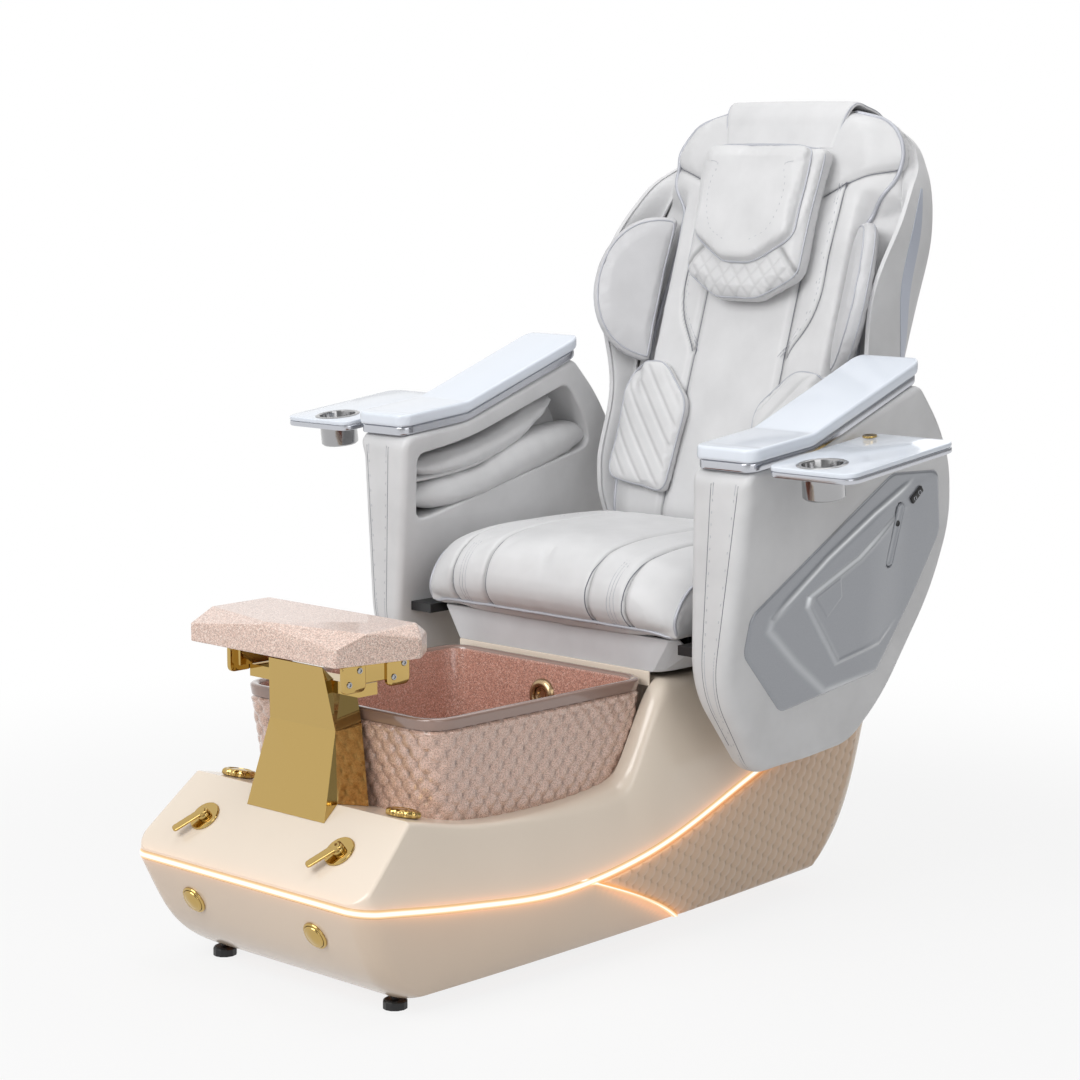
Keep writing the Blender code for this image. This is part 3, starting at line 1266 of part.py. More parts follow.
def tray(side, word):
    """Swivel tray with its cup holder, and the pivot bracket on the arm."""
    owner = f"tray_{word}"
    x0, x1 = TRAY_X[0] - PIVOT_X, TRAY_X[1] - PIVOT_X
    y0, y1 = ((y - PIVOT_Y) / math.cos(TRAY_PITCH) for y in TRAY_Y)
    corners = np.array([(x0, y0), (x1, y0), (x1, y1), (x0, y1)]) * (side, 1)
    board = plate(f"tray_board_{word}", rounded(corners, TRAY_CORNER, 4), TRAY_T, owner,
                  "white gloss acrylic")
    bevel(board, 0.003, 1)
    cup = Matrix.Translation((side * (CUP_X - PIVOT_X), (CUP_Y - PIVOT_Y) / math.cos(TRAY_PITCH), 0))
    cut(board, drum(f"cup_hole_{word}", CUP_R + RUN, -0.02, TRAY_T + 0.02, owner, "black plastic", cup))
    cut(board, drum(f"pivot_hole_{word}", PIVOT_R + RUN, -0.02, TRAY_T + 0.02, owner, "black plastic"))
    smooth(board)
    seat = TRAY_T + GAP
    profile = ((CUP_R - CUP_WALL, seat - CUP_DEPTH + CUP_WALL), (CUP_R - CUP_WALL, seat + CUP_RIM_T),
               (CUP_RIM_R - 0.001, seat + CUP_RIM_T), (CUP_RIM_R, seat), (CUP_R, seat),
               (CUP_R, seat - CUP_DEPTH),
               (0, seat - CUP_DEPTH))
    profile = ((0, seat - CUP_DEPTH + CUP_WALL), *profile)
    smooth(turned(f"cup_holder_{word}", profile, owner, "brushed steel", cup))
    place = FRAMES["chair"].inverted() @ FRAMES[owner]
    face = arm_outer(TRAY_FRONT_Z + math.tan(TRAY_PITCH) * PIVOT_Y - TRAY_T) + GAP - PIVOT_X
    arm_side = sorted((side * face, side * BRACKET_HALF))
    outline = rounded(((arm_side[0], -BRACKET_HALF), (arm_side[1], -BRACKET_HALF),
                       (arm_side[1], BRACKET_HALF),
                       (arm_side[0], BRACKET_HALF)), 0.006)
    bracket = plate(f"tray_pivot_{word}", outline, BRACKET_T, "chair", "silver trim",
                    place @ Matrix.Translation((0, 0, -BRACKET_T - GAP)))
    pin = drum(f"pivot_pin_{word}", PIVOT_R, -BRACKET_T / 2, TRAY_T + GAP + PIVOT_CAP_T / 2, "chair",
               "polished gold",
               place)
    cap = drum(f"pivot_cap_{word}", PIVOT_CAP_R, TRAY_T + GAP, TRAY_T + GAP + PIVOT_CAP_T, "chair",
               "polished gold",
               place)
    fuse(bracket, pin, cap)
    smooth(bracket)


# Backrest
def on_back(x, n, h):
    """Points in the back's frame from a distance n in front of its face line."""
    x, n, h = np.broadcast_arrays(np.asarray(x, float), np.asarray(n, float), np.asarray(h, float))
    return np.stack([x, -(n + FACE_SETBACK), h], -1)


def wing_back(x):
    """Distance in front of the face line of a shoulder pad's rear face, at a half width."""
    return (x - WING_ROOT_X) * math.tan(WING_ANGLE) - WING_T / math.cos(WING_ANGLE)


def shell_front(h):
    """Front edge of the back shell: under the shoulder pads, and behind the cushion at the top."""
    half = hermite(BACK_HALF, h) - BACK_WALL
    middle = 0.5 * (WING_H[0] + WING_H[1])
    tip = wing_back(hermite(BACK_HALF, middle) - BACK_WALL) - RUN
    behind = -CUSHION_T - RUN
    edge = hermite(((SHELL_FOOT, -0.040), (0.10, 0.0), (0.30, 0.0), (middle, tip), (0.60, EAR_FRONT),
                    (EAR_TOP - 0.05, -EAR_FRONT), (EAR_TOP, behind), (BACK_TOP, behind)), h)
    return np.where(h >= EAR_TOP, behind, np.minimum(edge, wing_back(half) - RUN))


def shell_arc(h, inset):
    """Half-round section of the back shell at one height, from its +X edge round the rear to its -X edge."""
    turn = np.linspace(0, math.pi, 2 * SHELL_STEPS + 1)
    half = float(hermite(BACK_HALF, h)) - inset
    front = float(shell_front(np.array(h)))
    depth = front - float(hermite(BACK_REAR, h)) - inset
    x = half * np.sign(np.cos(turn)) * np.abs(np.cos(turn)) ** 0.6
    n = front - depth * np.abs(np.sin(turn)) ** 0.6
    return on_back(x, n, h)


def back_shell():
    """Hooded rear shell of the back, open to the front."""
    crown = np.array([0.625, EAR_TOP - 0.05, EAR_TOP - 0.025, EAR_TOP, 0.72, 0.745, 0.766, BACK_TOP])
    heights = np.unique(np.concatenate([np.linspace(SHELL_FOOT, 0.60, 9), STAY_H, crown]))
    rings = [np.concatenate([shell_arc(h, 0.0), shell_arc(h, BACK_WALL)[::-1]]) for h in heights]
    smooth(piece_from("back_shell", *loft(rings), "back", "grey plastic", local=True), 60)


def back_cushion():
    """Back cushion: a crowned middle channel between two sewn grooves, and side panels that roll off."""
    crown = BACK_TOP - np.array([0.095, 0.06, 0.035, 0.013, 0.0])
    heights = np.concatenate([np.linspace(CUSHION_FOOT, 0.66, 13), crown])
    half = hermite(CUSHION_HALF, heights)
    channel = np.array([0, 0.5, 0.92, 1.0, 1.08]) * CHANNEL_HALF
    flank = np.array([0.25, 0.49, 0.634, 0.776, 0.92, 1.0])
    inner = np.minimum(channel[None, :], half[:, None] * 0.8 * channel[None, :] / channel[-1])
    outer = inner[:, -1:] + (half[:, None] - inner[:, -1:]) * flank[None, :]
    right = np.concatenate([inner, outer], axis=1)
    x = np.concatenate([-right[:, :0:-1], right], axis=1)
    dip = np.array([0.0, 0.001, 0.003, CHANNEL_DEPTH, 0.003, 0.0, 0.0, 0.0, 0.004, 0.012, 0.024])
    dip = np.concatenate([dip[:0:-1], dip])
    beside = np.clip(2 - (np.abs(heights - sum(WING_H) / 2) - (WING_H[1] - WING_H[0]) / 2) / 0.04, 0, 1)
    root = np.isclose(np.abs(np.arange(len(dip)) - len(dip) // 2), len(channel) + 2)
    dip = dip[None, :] + np.outer(beside, root) * (WING_T * math.sin(WING_ANGLE) + 18 * RUN)
    ends = 0.020 * np.clip((heights - (BACK_TOP - 0.035)) / 0.035, 0, 1) ** 2
    ends += 0.018 * np.clip((CUSHION_FOOT + 0.05 - heights) / 0.05, 0, 1) ** 2
    n = -np.minimum(dip + ends[:, None], CUSHION_T - 0.012)
    top = on_back(x, n, heights[:, None])
    edge = top.reshape(-1, 3)[rim(*top.shape[:2])]
    bulge, foot = edge.copy(), edge * (0.985, 1, 1)
    bulge[:, 1] = CUSHION_T * 0.75 - FACE_SETBACK
    foot[:, 1] = CUSHION_T - FACE_SETBACK
    smooth(piece_from("back_cushion", *cushion(top, (bulge, foot)), "back", "grey leatherette", local=True),
           60)


def shoulder_pad(side, word):
    """D-shaped shoulder pad that opens forwards from the back's side, crowned on its inner face."""
    middle, half = sum(WING_H) / 2, (WING_H[1] - WING_H[0]) / 2
    turn = np.linspace(-math.pi / 2, math.pi / 2, 15)
    arc = np.stack([WING_REACH * np.cos(turn) ** 0.85, middle + half * np.sin(turn)], 1)
    inner = np.stack([np.zeros(5), middle + half * np.array([0.7, 0.35, 0, -0.35, -0.7])], 1)
    outline = np.concatenate([arc, inner])
    c, s = math.cos(WING_ANGLE), math.sin(WING_ANGLE)

    def place(flat, height):
        reach, back = flat[:, 0], WING_T - height
        return on_back(side * (WING_ROOT_X + reach * c + back * s), reach * s - back * c, flat[:, 1])

    layers = ((0.93, 0.0), (1.0, WING_T * 0.3), (1.0, WING_T * 0.62), (0.93, WING_T * 0.88),
              (0.75, WING_T * 0.98),
              (0.4, WING_T))
    vertices, faces = padded(outline, place, layers)
    smooth(piece_from(f"shoulder_pad_{word}", vertices, faces, "back", "grey leatherette", local=True), 60)


def lumbar_pad(side, word):
    """Lumbar pad with diagonal sewn channels, crowned between its edges."""
    corners = np.array(LUMBAR_OUTLINE)
    low = np.linspace(0, 1, 13)[:, None]
    across = np.linspace(0, 1, 11)
    left = np.stack([np.full_like(low, corners[0, 0]) + (corners[1, 0] - corners[0, 0]) * low,
                     corners[0, 1] + (corners[1, 1] - corners[0, 1]) * low], -1)
    bend = (corners[3, 1] - corners[4, 1]) / (corners[2, 1] - corners[4, 1])
    right_x = np.interp(low, (0, bend, 1), (corners[4, 0], corners[3, 0], corners[2, 0]))
    right_h = corners[4, 1] + (corners[2, 1] - corners[4, 1]) * low
    right = np.stack([right_x, right_h], -1)
    flat = left + (right - left) * across[None, :, None]
    inside = np.minimum(np.minimum(low, 1 - low) * 6, np.minimum(across, 1 - across)[None, :] * 5)
    crown = np.sqrt(np.clip(inside, 0, 1))
    lines = flat[..., 0] + 0.8 * flat[..., 1]
    pitch = np.ptp(lines) / LUMBAR_CHANNELS
    groove = LUMBAR_CHANNEL_DEPTH * np.abs(np.cos(math.pi * lines / pitch)) ** 3 * crown
    n = RUN + LUMBAR_T * (0.45 + 0.55 * crown) - groove
    top = on_back(side * flat[..., 0], n, flat[..., 1])
    edge = top.reshape(-1, 3)[rim(*top.shape[:2])]
    middle = edge.mean(axis=0)
    foot = middle + (edge - middle) * 0.97
    foot[:, 1] = -(RUN + FACE_SETBACK)
    smooth(piece_from(f"lumbar_pad_{word}", *cushion(top, (foot,)), "back", "grey leatherette", local=True),
           60)


def headrest_pillow():
    """Headrest pillow with a raised front panel."""
    outer = rounded(mirrored(PILLOW_OUTLINE), PILLOW_ROUND)
    panel = rounded(mirrored(PILLOW_PANEL), PILLOW_ROUND)
    face, raised = RUN + PILLOW_T, RUN + PILLOW_T + PILLOW_PANEL_T
    layers = ((outer, 0.95, RUN), (outer, 1.0, PILLOW_T * 0.35), (outer, 1.0, PILLOW_T * 0.75),
              (outer, 0.97, PILLOW_T * 0.95), (panel, 1.02, face), (panel, 1.0, face + PILLOW_PANEL_T * 0.6),
              (panel, 0.95, raised - 0.002), (panel, 0.7, raised), (panel, 0.3, raised + 0.001))
    rings = []
    for outline, scale, n in layers:
        middle = outline.mean(axis=0)
        flat = middle + (outline - middle) * scale
        rings.append(on_back(flat[:, 0], n, flat[:, 1]))
    vertices, faces = loft(rings)
    pivot = np.array(headrest_pivot())
    smooth(piece_from("headrest_pillow", vertices - pivot, faces, "headrest", "grey leatherette",
                      local=True), 60)


def headrest_pivot():
    """Hinge line of the pillow at the flap's foot, in the back's frame."""
    return 0.0, -(RUN + FLAP_T / 2 + FACE_SETBACK), FLAP_FOOT - RUN


def headrest_flap():
    """Leather flap that hangs the pillow over the top of the back."""
    crest = BACK_TOP + RUN
    behind = [(float(hermite(BACK_REAR, h)) - 2 * RUN, h) for h in (BACK_TOP - FLAP_TAIL[0],
                                                                    BACK_TOP - FLAP_TAIL[1])]
    route = np.array([(RUN, FLAP_FOOT), (RUN, FLAP_FOOT + FLAP_KNEE), (0.0005, BACK_TOP - 0.022),
                      (-0.012, crest + 0.001),
                      (-0.035, crest + 0.003), (-0.074, crest + 0.002), (behind[0][0] - 0.006, crest - 0.006),
                      (behind[0][0] - 0.012, behind[0][1]), (behind[1][0] - 0.004, behind[1][1])])
    along = np.gradient(route, axis=0)
    out = np.stack([along[:, 1], -along[:, 0]], 1) / np.linalg.norm(along, axis=1)[:, None]
    over = route + out * FLAP_T
    half = np.interp(np.arange(len(route)), (0, 4, len(route) - 1),
                     (FLAP_HALF[0], FLAP_HALF[1], FLAP_HALF[1]))
    share = np.linspace(-1, 1, 7)
    grids = [on_back(half[:, None] * share[None, :], line[:, :1], line[:, 1:]) for line in (over, route)]
    smooth(piece_from("headrest_flap", *slab(*grids), "back", "grey leatherette", local=True), 60)


def back_frame():
    """Bent rail tube on the hinge tube, with stays to the shell."""
    x, b = BACK_RAIL_X, BACK_RAIL_B
    half = [(x, 0, 0), (x, b * 0.6, BACK_RAIL_BEND[0]), (x, b, BACK_RAIL_BEND[1]), (x, b, BACK_RAIL_TOP)]
    route = half + [(-px, py, pz) for px, py, pz in half[::-1]]
    hinge = tube("back_frame", [(-HINGE_HALF, 0, 0), (HINGE_HALF, 0, 0)], HINGE_TUBE_R, "back", "black steel")
    pieces = [tube("back_rails", route, RAIL_TUBE_R, "back", "black steel")]
    for height in STAY_H:
        wall = shell_arc(height, BACK_WALL)
        quarter = wall[:SHELL_STEPS + 1]
        reach = float(np.interp(b + STAY_R, quarter[:, 1], quarter[:, 0])) - RUN
        for side in (1, -1):
            pieces.append(tube(f"stay_{height}_{side}", [(side * x, b, height), (side * reach, b, height)],
                               STAY_R,
                               "back", "black steel"))
    fuse(hinge, *pieces)
    smooth(hinge)


def carriage_pivot():
    """Middle of the roller axle, in the back's frame."""
    return 0.0, 0.0, sum(CARRIAGE_H) / 2


def massage_carriage():
    """Carriage between the rails, with two lugs for the roller axle."""
    half = BACK_RAIL_X - RAIL_TUBE_R - GAP
    axis_h = sum(CARRIAGE_H) / 2
    low, high = (-half, CARRIAGE_B[0], CARRIAGE_H[0]), (half, CARRIAGE_B[1], CARRIAGE_H[1])
    pivot = np.array(carriage_pivot())
    carriage = box("massage_carriage", low - pivot, high - pivot, "carriage", "grey plastic", local=True)
    for side in (1, -1):
        x0, x1 = sorted((side * (AXLE_HALF + GAP), side * (AXLE_HALF + GAP + LUG_T)))
        lug = box(f"axle_lug_{side}", np.array((x0, -0.010, axis_h - 0.014)) - pivot,
                  np.array((x1, CARRIAGE_B[0] + 0.004, axis_h + 0.014)) - pivot, "carriage", "grey plastic",
                  local=True)
        fuse(carriage, lug)


def massage_rollers():
    """Axle with two massage wheels."""
    half = [(AXLE_R, 0.0), (AXLE_R, ROLLER_X - ROLLER_W / 2), (ROLLER_R - 0.004, ROLLER_X - ROLLER_W / 2),
            (ROLLER_R, ROLLER_X - ROLLER_W / 4), (ROLLER_R, ROLLER_X + ROLLER_W / 4),
            (ROLLER_R - 0.004, ROLLER_X + ROLLER_W / 2), (AXLE_R, ROLLER_X + ROLLER_W / 2),
            (AXLE_R, AXLE_HALF),
            (0, AXLE_HALF)]
    profile = half[:0:-1] + [(radius, -height) for radius, height in half[1:]]
    smooth(turned("massage_rollers", profile, "rollers", "black plastic",
                  Matrix.Rotation(math.pi / 2, 4, "Y"),
                  16))


def bodies():
    """Empties of the moving bodies, each on its joint's axis."""
    body("base", None)
    body("footrest", "base", (0, sum(GUIDE_Y) / 2, GUIDE_TOP_Z))
    for side, word in ((1, "left"), (-1, "right")):
        body(f"tap_{word}", "base", *tap_frame(side))
        place = button_place(side)
        body(f"button_{word}", "base", place.to_translation(), place.to_3x3())
        body(f"knob_{word}", "base", *knob_frame(side))
    body("chair", "base", (0, TRACK_Y[0], SEAT_DECK_Z + TRACK_H))
    for side, word in ((1, "left"), (-1, "right")):
        body(f"tray_{word}", "chair", *tray_frame(side))
    body("hook", "chair", hook_frame())
    recline = turn_x(-BACK_ANGLE)
    body("back", "chair", (0, RECLINE_Y, RECLINE_Z), recline)
    for name, parent, point in (("headrest", "back", headrest_pivot()),
                                ("carriage", "back", carriage_pivot()),
                                ("rollers", "carriage", carriage_pivot())):
        body(name, parent, FRAMES["back"] @ Vector(point), recline)


def set_origin():
    """Move the root so that the origin lies on the floor under the middle of the chair."""
    bpy.context.view_layer.update()
    depsgraph = bpy.context.evaluated_depsgraph_get()
    reach = []
    for piece in PARTS.objects:
        if piece.type == "MESH":
            mesh = piece.evaluated_get(depsgraph).to_mesh()
            points = np.empty(len(mesh.vertices) * 3, np.float32)
            mesh.vertices.foreach_get("co", points)
            world = points.reshape(-1, 3) @ np.array(piece.matrix_world)[1, :3] + piece.matrix_world[1][3]
            reach += [float(world.min()), float(world.max())]
    EMPTIES["base"].location.y = -(min(reach) + max(reach)) / 2


def main():
    """Build the chair."""
    clear_scene()
    bodies()
    lower_hull()
    both(scale_panel)
    light_strip()
    upper_shell()
    basin()
    jet_pump()
    pedestal()
    footrest_pad()
    both(footrest_rail)
    both(tap)
    both(push_button)
    both(knob)
    feet()
    base_frame()
    slide_track()
    seat_frame()
    seat_cushion()
    seat_apron()
    both(arm)
    both(arm_pad)
    both(air_bags)
    both(side_panel)
    bag_hook()
    both(tray)
    back_shell()
    back_cushion()
    both(shoulder_pad)
    both(lumbar_pad)
    headrest_pillow()
    headrest_flap()
    back_frame()
    massage_carriage()
    massage_rollers()
    set_origin()


main()
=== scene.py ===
"""Looks of the pedicure spa chair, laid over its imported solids.

Metres, +Z up. The chair faces -Y and the sitter's left is +X. Shapes are worked out from the plane of the arm
fronts, as the solids are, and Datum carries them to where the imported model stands.
"""
from __future__ import annotations

import logging
import math
from dataclasses import dataclass, field
from enum import Enum

import bmesh
import bpy
import numpy as np
from mathutils import Matrix, Vector
from mathutils.bvhtree import BVHTree
from mathutils.geometry import tessellate_polygon

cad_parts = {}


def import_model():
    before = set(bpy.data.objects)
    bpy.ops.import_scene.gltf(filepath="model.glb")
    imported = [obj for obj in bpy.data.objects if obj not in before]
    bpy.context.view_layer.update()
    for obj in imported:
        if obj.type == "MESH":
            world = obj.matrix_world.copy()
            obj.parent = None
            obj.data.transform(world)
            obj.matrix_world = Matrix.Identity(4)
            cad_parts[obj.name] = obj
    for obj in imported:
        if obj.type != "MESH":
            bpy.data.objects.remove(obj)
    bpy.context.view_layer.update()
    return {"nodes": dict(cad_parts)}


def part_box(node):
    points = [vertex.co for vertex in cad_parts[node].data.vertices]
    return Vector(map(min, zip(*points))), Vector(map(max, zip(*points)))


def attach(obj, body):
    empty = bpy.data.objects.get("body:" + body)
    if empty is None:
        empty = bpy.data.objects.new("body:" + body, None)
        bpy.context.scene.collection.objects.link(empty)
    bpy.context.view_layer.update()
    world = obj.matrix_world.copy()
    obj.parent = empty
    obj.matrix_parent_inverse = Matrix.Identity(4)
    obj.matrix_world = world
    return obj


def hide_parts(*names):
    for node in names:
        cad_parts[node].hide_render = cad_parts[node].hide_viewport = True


LOG = logging.getLogger("pedicure_chair")
Array = np.ndarray
Object = bpy.types.Object
Tree = bpy.types.NodeTree
Node = bpy.types.Node
Socket = bpy.types.NodeSocket
MM = 0.001
TINY = 1e-9  # keeps a division clear of zero
TINY_SQUARE = 1e-12
SMOOTH = 180.0  # angle in degrees at which every edge is shaded smooth
GAP = 0.3 * MM  # air between a piece and the one that it lies on
LIFT = 0.1 * MM  # how far a thread stands off its leather
CLEAR = 0.6 * MM  # open joint between neighbouring pieces
WELD = 0.02 * MM  # points of a solid that lie closer than this are one

# Distance from stitch to stitch, length of a stitch and radius of its thread
ARM_STITCH = (0.0062, 0.0042, 0.55 * MM)
SEAT_STITCH = (0.0066, 0.0044, 0.5 * MM)
BACK_STITCH = (0.0062, 0.0042, 0.5 * MM)
PILLOW_STITCH = (0.006, 0.004, 0.45 * MM)

# Furthest that stuffing swells a cover, and the size of the cover's even mesh
AIR_SWELL = (0.004, 0.006)
SEAT_SWELL = (0.006, 0.007)
BACK_SWELL = (0.004, 0.007)
PAD_SWELL = (0.004, 0.005)
LUMBAR_SWELL = (0.003, 0.005)


class Side(Enum):
    """The sitter's sides, as signs along X."""

    LEFT = 1
    RIGHT = -1

    @property
    def word(self) -> str:
        """Ending of the names of this side's nodes."""
        return self.name.lower()

    @property
    def flip(self) -> tuple[int, int, int]:
        """Factors that carry a point of the left side to this side."""
        return self.value, 1, 1


# Curves and outlines


def smoothstep(t: Array) -> Array:
    """Ease from 0 to 1 with level ends: 3t squared less 2t cubed.

    Args:
        t: Positions, held between 0 and 1.

    Returns:
        Eased positions.
    """
    t = np.clip(t, 0.0, 1.0)
    return t * t * (3 - 2 * t)


def bell(away: Array, width: float) -> Array:
    """Round bump of height 1: e to the minus square of distance over width."""
    return np.exp(-(away / width) ** 2)


def unit(vectors: Array) -> Array:
    """Vectors of length one along the given ones."""
    return vectors / np.maximum(np.linalg.norm(vectors, axis=-1, keepdims=True), TINY)


def squared_off(wave: Array, power: float) -> Array:
    """Sine or cosine raised to a power with its sign kept, which flattens or fattens an oval."""
    return np.sign(wave) * np.abs(wave) ** power


def run_length(path: Array) -> Array:
    """Distance along a path of straight runs, at each of its points."""
    return np.concatenate([[0.0], np.cumsum(np.linalg.norm(np.diff(path, axis=0), axis=1))])


def spline(stations: tuple, x: Array) -> Array:
    """Smooth curve through stations, in cubic pieces whose slopes are averaged at each station.

    Args:
        stations: Pairs of position and value.
        x: Positions where the curve is read.

    Returns:
        Values of the curve.
    """
    xs, ys = np.array(stations, float).T
    slopes = np.gradient(ys, xs)
    x = np.clip(np.asarray(x, float), xs[0], xs[-1])
    i = np.clip(np.searchsorted(xs, x) - 1, 0, len(xs) - 2)
    span = xs[i + 1] - xs[i]
    t = (x - xs[i]) / span
    start = (1 + 2 * t) * (1 - t) ** 2 * ys[i] + t * (1 - t) ** 2 * span * slopes[i]
    end = t * t * (3 - 2 * t) * ys[i + 1] + t * t * (t - 1) * span * slopes[i + 1]
    return start + end


def resample(path: Array, count: int, closed: bool = False) -> Array:
    """Points at even distances along a path of straight runs.

    Args:
        path: Corners of the path.
        count: Number of points wanted.
        closed: Whether the path runs back to its first corner.

    Returns:
        The even points.
    """
    path = np.asarray(path, float)
    if closed:
        path = np.vstack([path, path[:1]])
    length = run_length(path)
    at = np.linspace(0.0, length[-1], count, endpoint=not closed)
    return np.stack([np.interp(at, length, path[:, k]) for k in range(path.shape[1])], -1)


def curve_through(path: Array, count: int, closed: bool = False) -> Array:
    """Smooth curve through a few points: each axis is a spline over the chord length.

    Args:
        path: Points that the curve passes.
        count: Number of points wanted.
        closed: Whether the curve runs back to its first point.

    Returns:
        Even points along the curve.
    """
    path = np.asarray(path, float)
    if closed:
        path = np.vstack([path[-2:], path, path[:3]])
    length = run_length(path)
    ends = (length[2], length[-3]) if closed else (0.0, length[-1])
    at = np.linspace(*ends, 8 * count, endpoint=not closed)
    fine = np.stack([spline(np.column_stack([length, path[:, k]]), at) for k in range(path.shape[1])], -1)
    return resample(fine, count, closed)


def bends(start: Array, corner: Array, end: Array, steps: int) -> Array:
    """Curves from start to end that lean to a corner, by squares of the shares of way left and gone.

    Args:
        start: Where each curve starts.
        corner: What it leans to.
        end: Where it ends.
        steps: Points on each curve.

    Returns:
        Points, a row for each curve.
    """
    t = np.linspace(0, 1, steps)[None, :, None]
    return (1 - t) ** 2 * start[:, None] + 2 * t * (1 - t) * corner[:, None] + t * t * end[:, None]


def rounded(corners: tuple, radius: float | tuple, steps: int = 8) -> Array:
    """Closed outline whose corners are curves that start a radius away from each corner.

    Args:
        corners: Corners of the outline.
        radius: One radius, or one for each corner.
        steps: Points on each corner.

    Returns:
        Points of the outline.
    """
    corners = np.array(corners, float)
    before = np.roll(corners, 1, 0) - corners
    after = np.roll(corners, -1, 0) - corners
    spans = [np.linalg.norm(v, axis=1, keepdims=True) for v in (before, after)]
    radii = np.broadcast_to(np.atleast_1d(radius), len(corners))[:, None]
    reach = np.minimum(radii, 0.45 * np.minimum(*spans))
    start, end = corners + before / spans[0] * reach, corners + after / spans[1] * reach
    return bends(start, corners, end, steps).reshape(-1, corners.shape[1])


def mirrored(half: tuple) -> Array:
    """Closed outline from its right half, which runs from the bottom to the top."""
    half = np.array(half, float)
    return np.concatenate([half, half[::-1] * (-1, 1)])


def inset(outline: Array, distance: float | Array) -> Array:
    """Closed outline moved inwards along its own normals.

    Args:
        outline: Points of the outline.
        distance: How far each point moves in.

    Returns:
        The moved outline.
    """
    along = np.roll(outline, -1, 0) - np.roll(outline, 1, 0)
    out = unit(np.stack([along[:, 1], -along[:, 0]], 1))
    area = np.sum(outline[:, 0] * np.roll(outline[:, 1], -1) - np.roll(outline[:, 0], -1) * outline[:, 1])
    return outline - np.reshape(distance, (-1, 1)) * math.copysign(1, area) * out


def shrunk(outline: Array, scale: float) -> Array:
    """Outline drawn in towards the mean of its points."""
    centre = outline.mean(axis=0)
    return centre + (outline - centre) * scale


def raised(flat: Array, height: float) -> Array:
    """Points of a plane lifted to a height."""
    return np.column_stack([flat, np.full(len(flat), height)])


def run_distance(points: Array, start: Array, run: Array) -> tuple[Array, Array]:
    """Distance from points to the nearest of straight runs.

    Args:
        points: Points, in a plane or in space.
        start: Starts of the runs.
        run: Ways from their starts to their ends.

    Returns:
        The distances, and the ways from each start to each point.
    """
    reach = points[:, None] - start[None]
    t = np.clip((reach * run).sum(-1) / np.maximum((run * run).sum(-1), TINY_SQUARE), 0, 1)
    return np.linalg.norm(reach - t[..., None] * run, axis=-1).min(axis=1), reach


def outline_distance(points: Array, outline: Array) -> Array:
    """Distance from points to a closed outline of straight runs, positive inside it.

    Args:
        points: Points in the plane.
        outline: Corners of the outline.

    Returns:
        Signed distances.
    """
    start = np.asarray(outline, float)
    end = np.roll(start, -1, 0)
    run = end - start
    away, reach = run_distance(points, start, run)
    low, high = (corner[None, :, 1] <= points[:, None, 1] for corner in (start, end))
    turn = run[None, :, 0] * reach[..., 1] - run[None, :, 1] * reach[..., 0]
    crossings = (low & ~high & (turn > 0)) | (~low & high & (turn < 0))
    return np.where(crossings.sum(axis=1) % 2 == 1, away, -away)


def path_distance(points: Array, path: Array) -> Array:
    """Distance from points to an open path of straight runs.

    Args:
        points: Points, in a plane or in space.
        path: Corners of the path.

    Returns:
        Distances.
    """
    return run_distance(points, path[:-1], np.diff(path, axis=0))[0]


def fish_scales(along: Array, down: Array, width: float, pitch: float) -> Array:
    """Relief of lapped scales, from 0 to 1.

    Each scale is a dome half a width each side of its middle, and rows step half a scale sideways. At a
    point the higher of the dome of its own row and of the row above shows, and a dome stands highest near
    its lower lip.

    Args:
        along: Distances along the rows.
        down: Distances down across the rows.
        width: Width of a scale.
        pitch: Height of a row.

    Returns:
        Heights of the relief.
    """
    height = np.zeros(np.broadcast(along, down).shape)
    for lap in (0, 1):
        row = np.floor(down / pitch) - lap
        t = down / pitch - row
        s = along / width + 0.5 * np.mod(row, 2)
        s = 2 * (s - np.round(s))
        dome = np.sqrt(np.clip(1 - (s / 1.12) ** 2 - (t - 0.85) ** 2, 0, 1))
        height = np.maximum(height, dome * (0.55 + 0.3 * t))
    return height


def scale_laps(height: Array) -> Array:
    """How deep a point of the relief lies in the laps between scales, from 0 to 1; panels and bowl paint
    shade by it.
    """
    return np.clip((0.62 - height) / 0.27, 0, 1) ** 1.5


# Skins


@dataclass
class Skin:
    """Points and faces of a surface that is being made."""

    points: Array
    faces: list

    def moved(self, place: Matrix) -> Skin:
        """The same surface, carried by a matrix."""
        turn = np.array(place)
        return Skin(self.points @ turn[:3, :3].T + turn[:3, 3], self.faces)

    def on(self, side: Side) -> Skin:
        """The left side's surface, carried to a side."""
        return Skin(self.points * side.flip, self.faces)

    def with_(self, *others: Skin) -> Skin:
        """One skin of this surface and others."""
        points, faces = [self.points], list(self.faces)
        count = len(self.points)
        for other in others:
            points.append(other.points)
            faces += [[i + count for i in face] for face in other.faces]
            count += len(other.points)
        return Skin(np.concatenate(points), faces)


def joined(skins: list) -> Skin:
    """One skin of several."""
    return skins[0].with_(*skins[1:])


def grid_faces(rows: int, columns: int, wrap_rows: bool = False, wrap_columns: bool = False) -> list:
    """Quads over a grid of points, joined round in either direction if asked."""
    index = np.arange(rows * columns).reshape(rows, columns)
    if wrap_rows:
        index = np.vstack([index, index[:1]])
    if wrap_columns:
        index = np.hstack([index, index[:, :1]])
    quads = np.stack([index[:-1, :-1], index[:-1, 1:], index[1:, 1:], index[1:, :-1]], -1)
    return quads.reshape(-1, 4).tolist()


def loft(rings: Array, closed: bool = False) -> Skin:
    """Skin over closed rings, capped at both ends or joined round to the first ring."""
    rings = np.asarray(rings, float)
    count, size = rings.shape[:2]
    faces = grid_faces(count, size, closed, True)
    if not closed:
        faces += [list(range(size)), list(range((count - 1) * size, count * size))]
    return Skin(rings.reshape(-1, 3), faces)


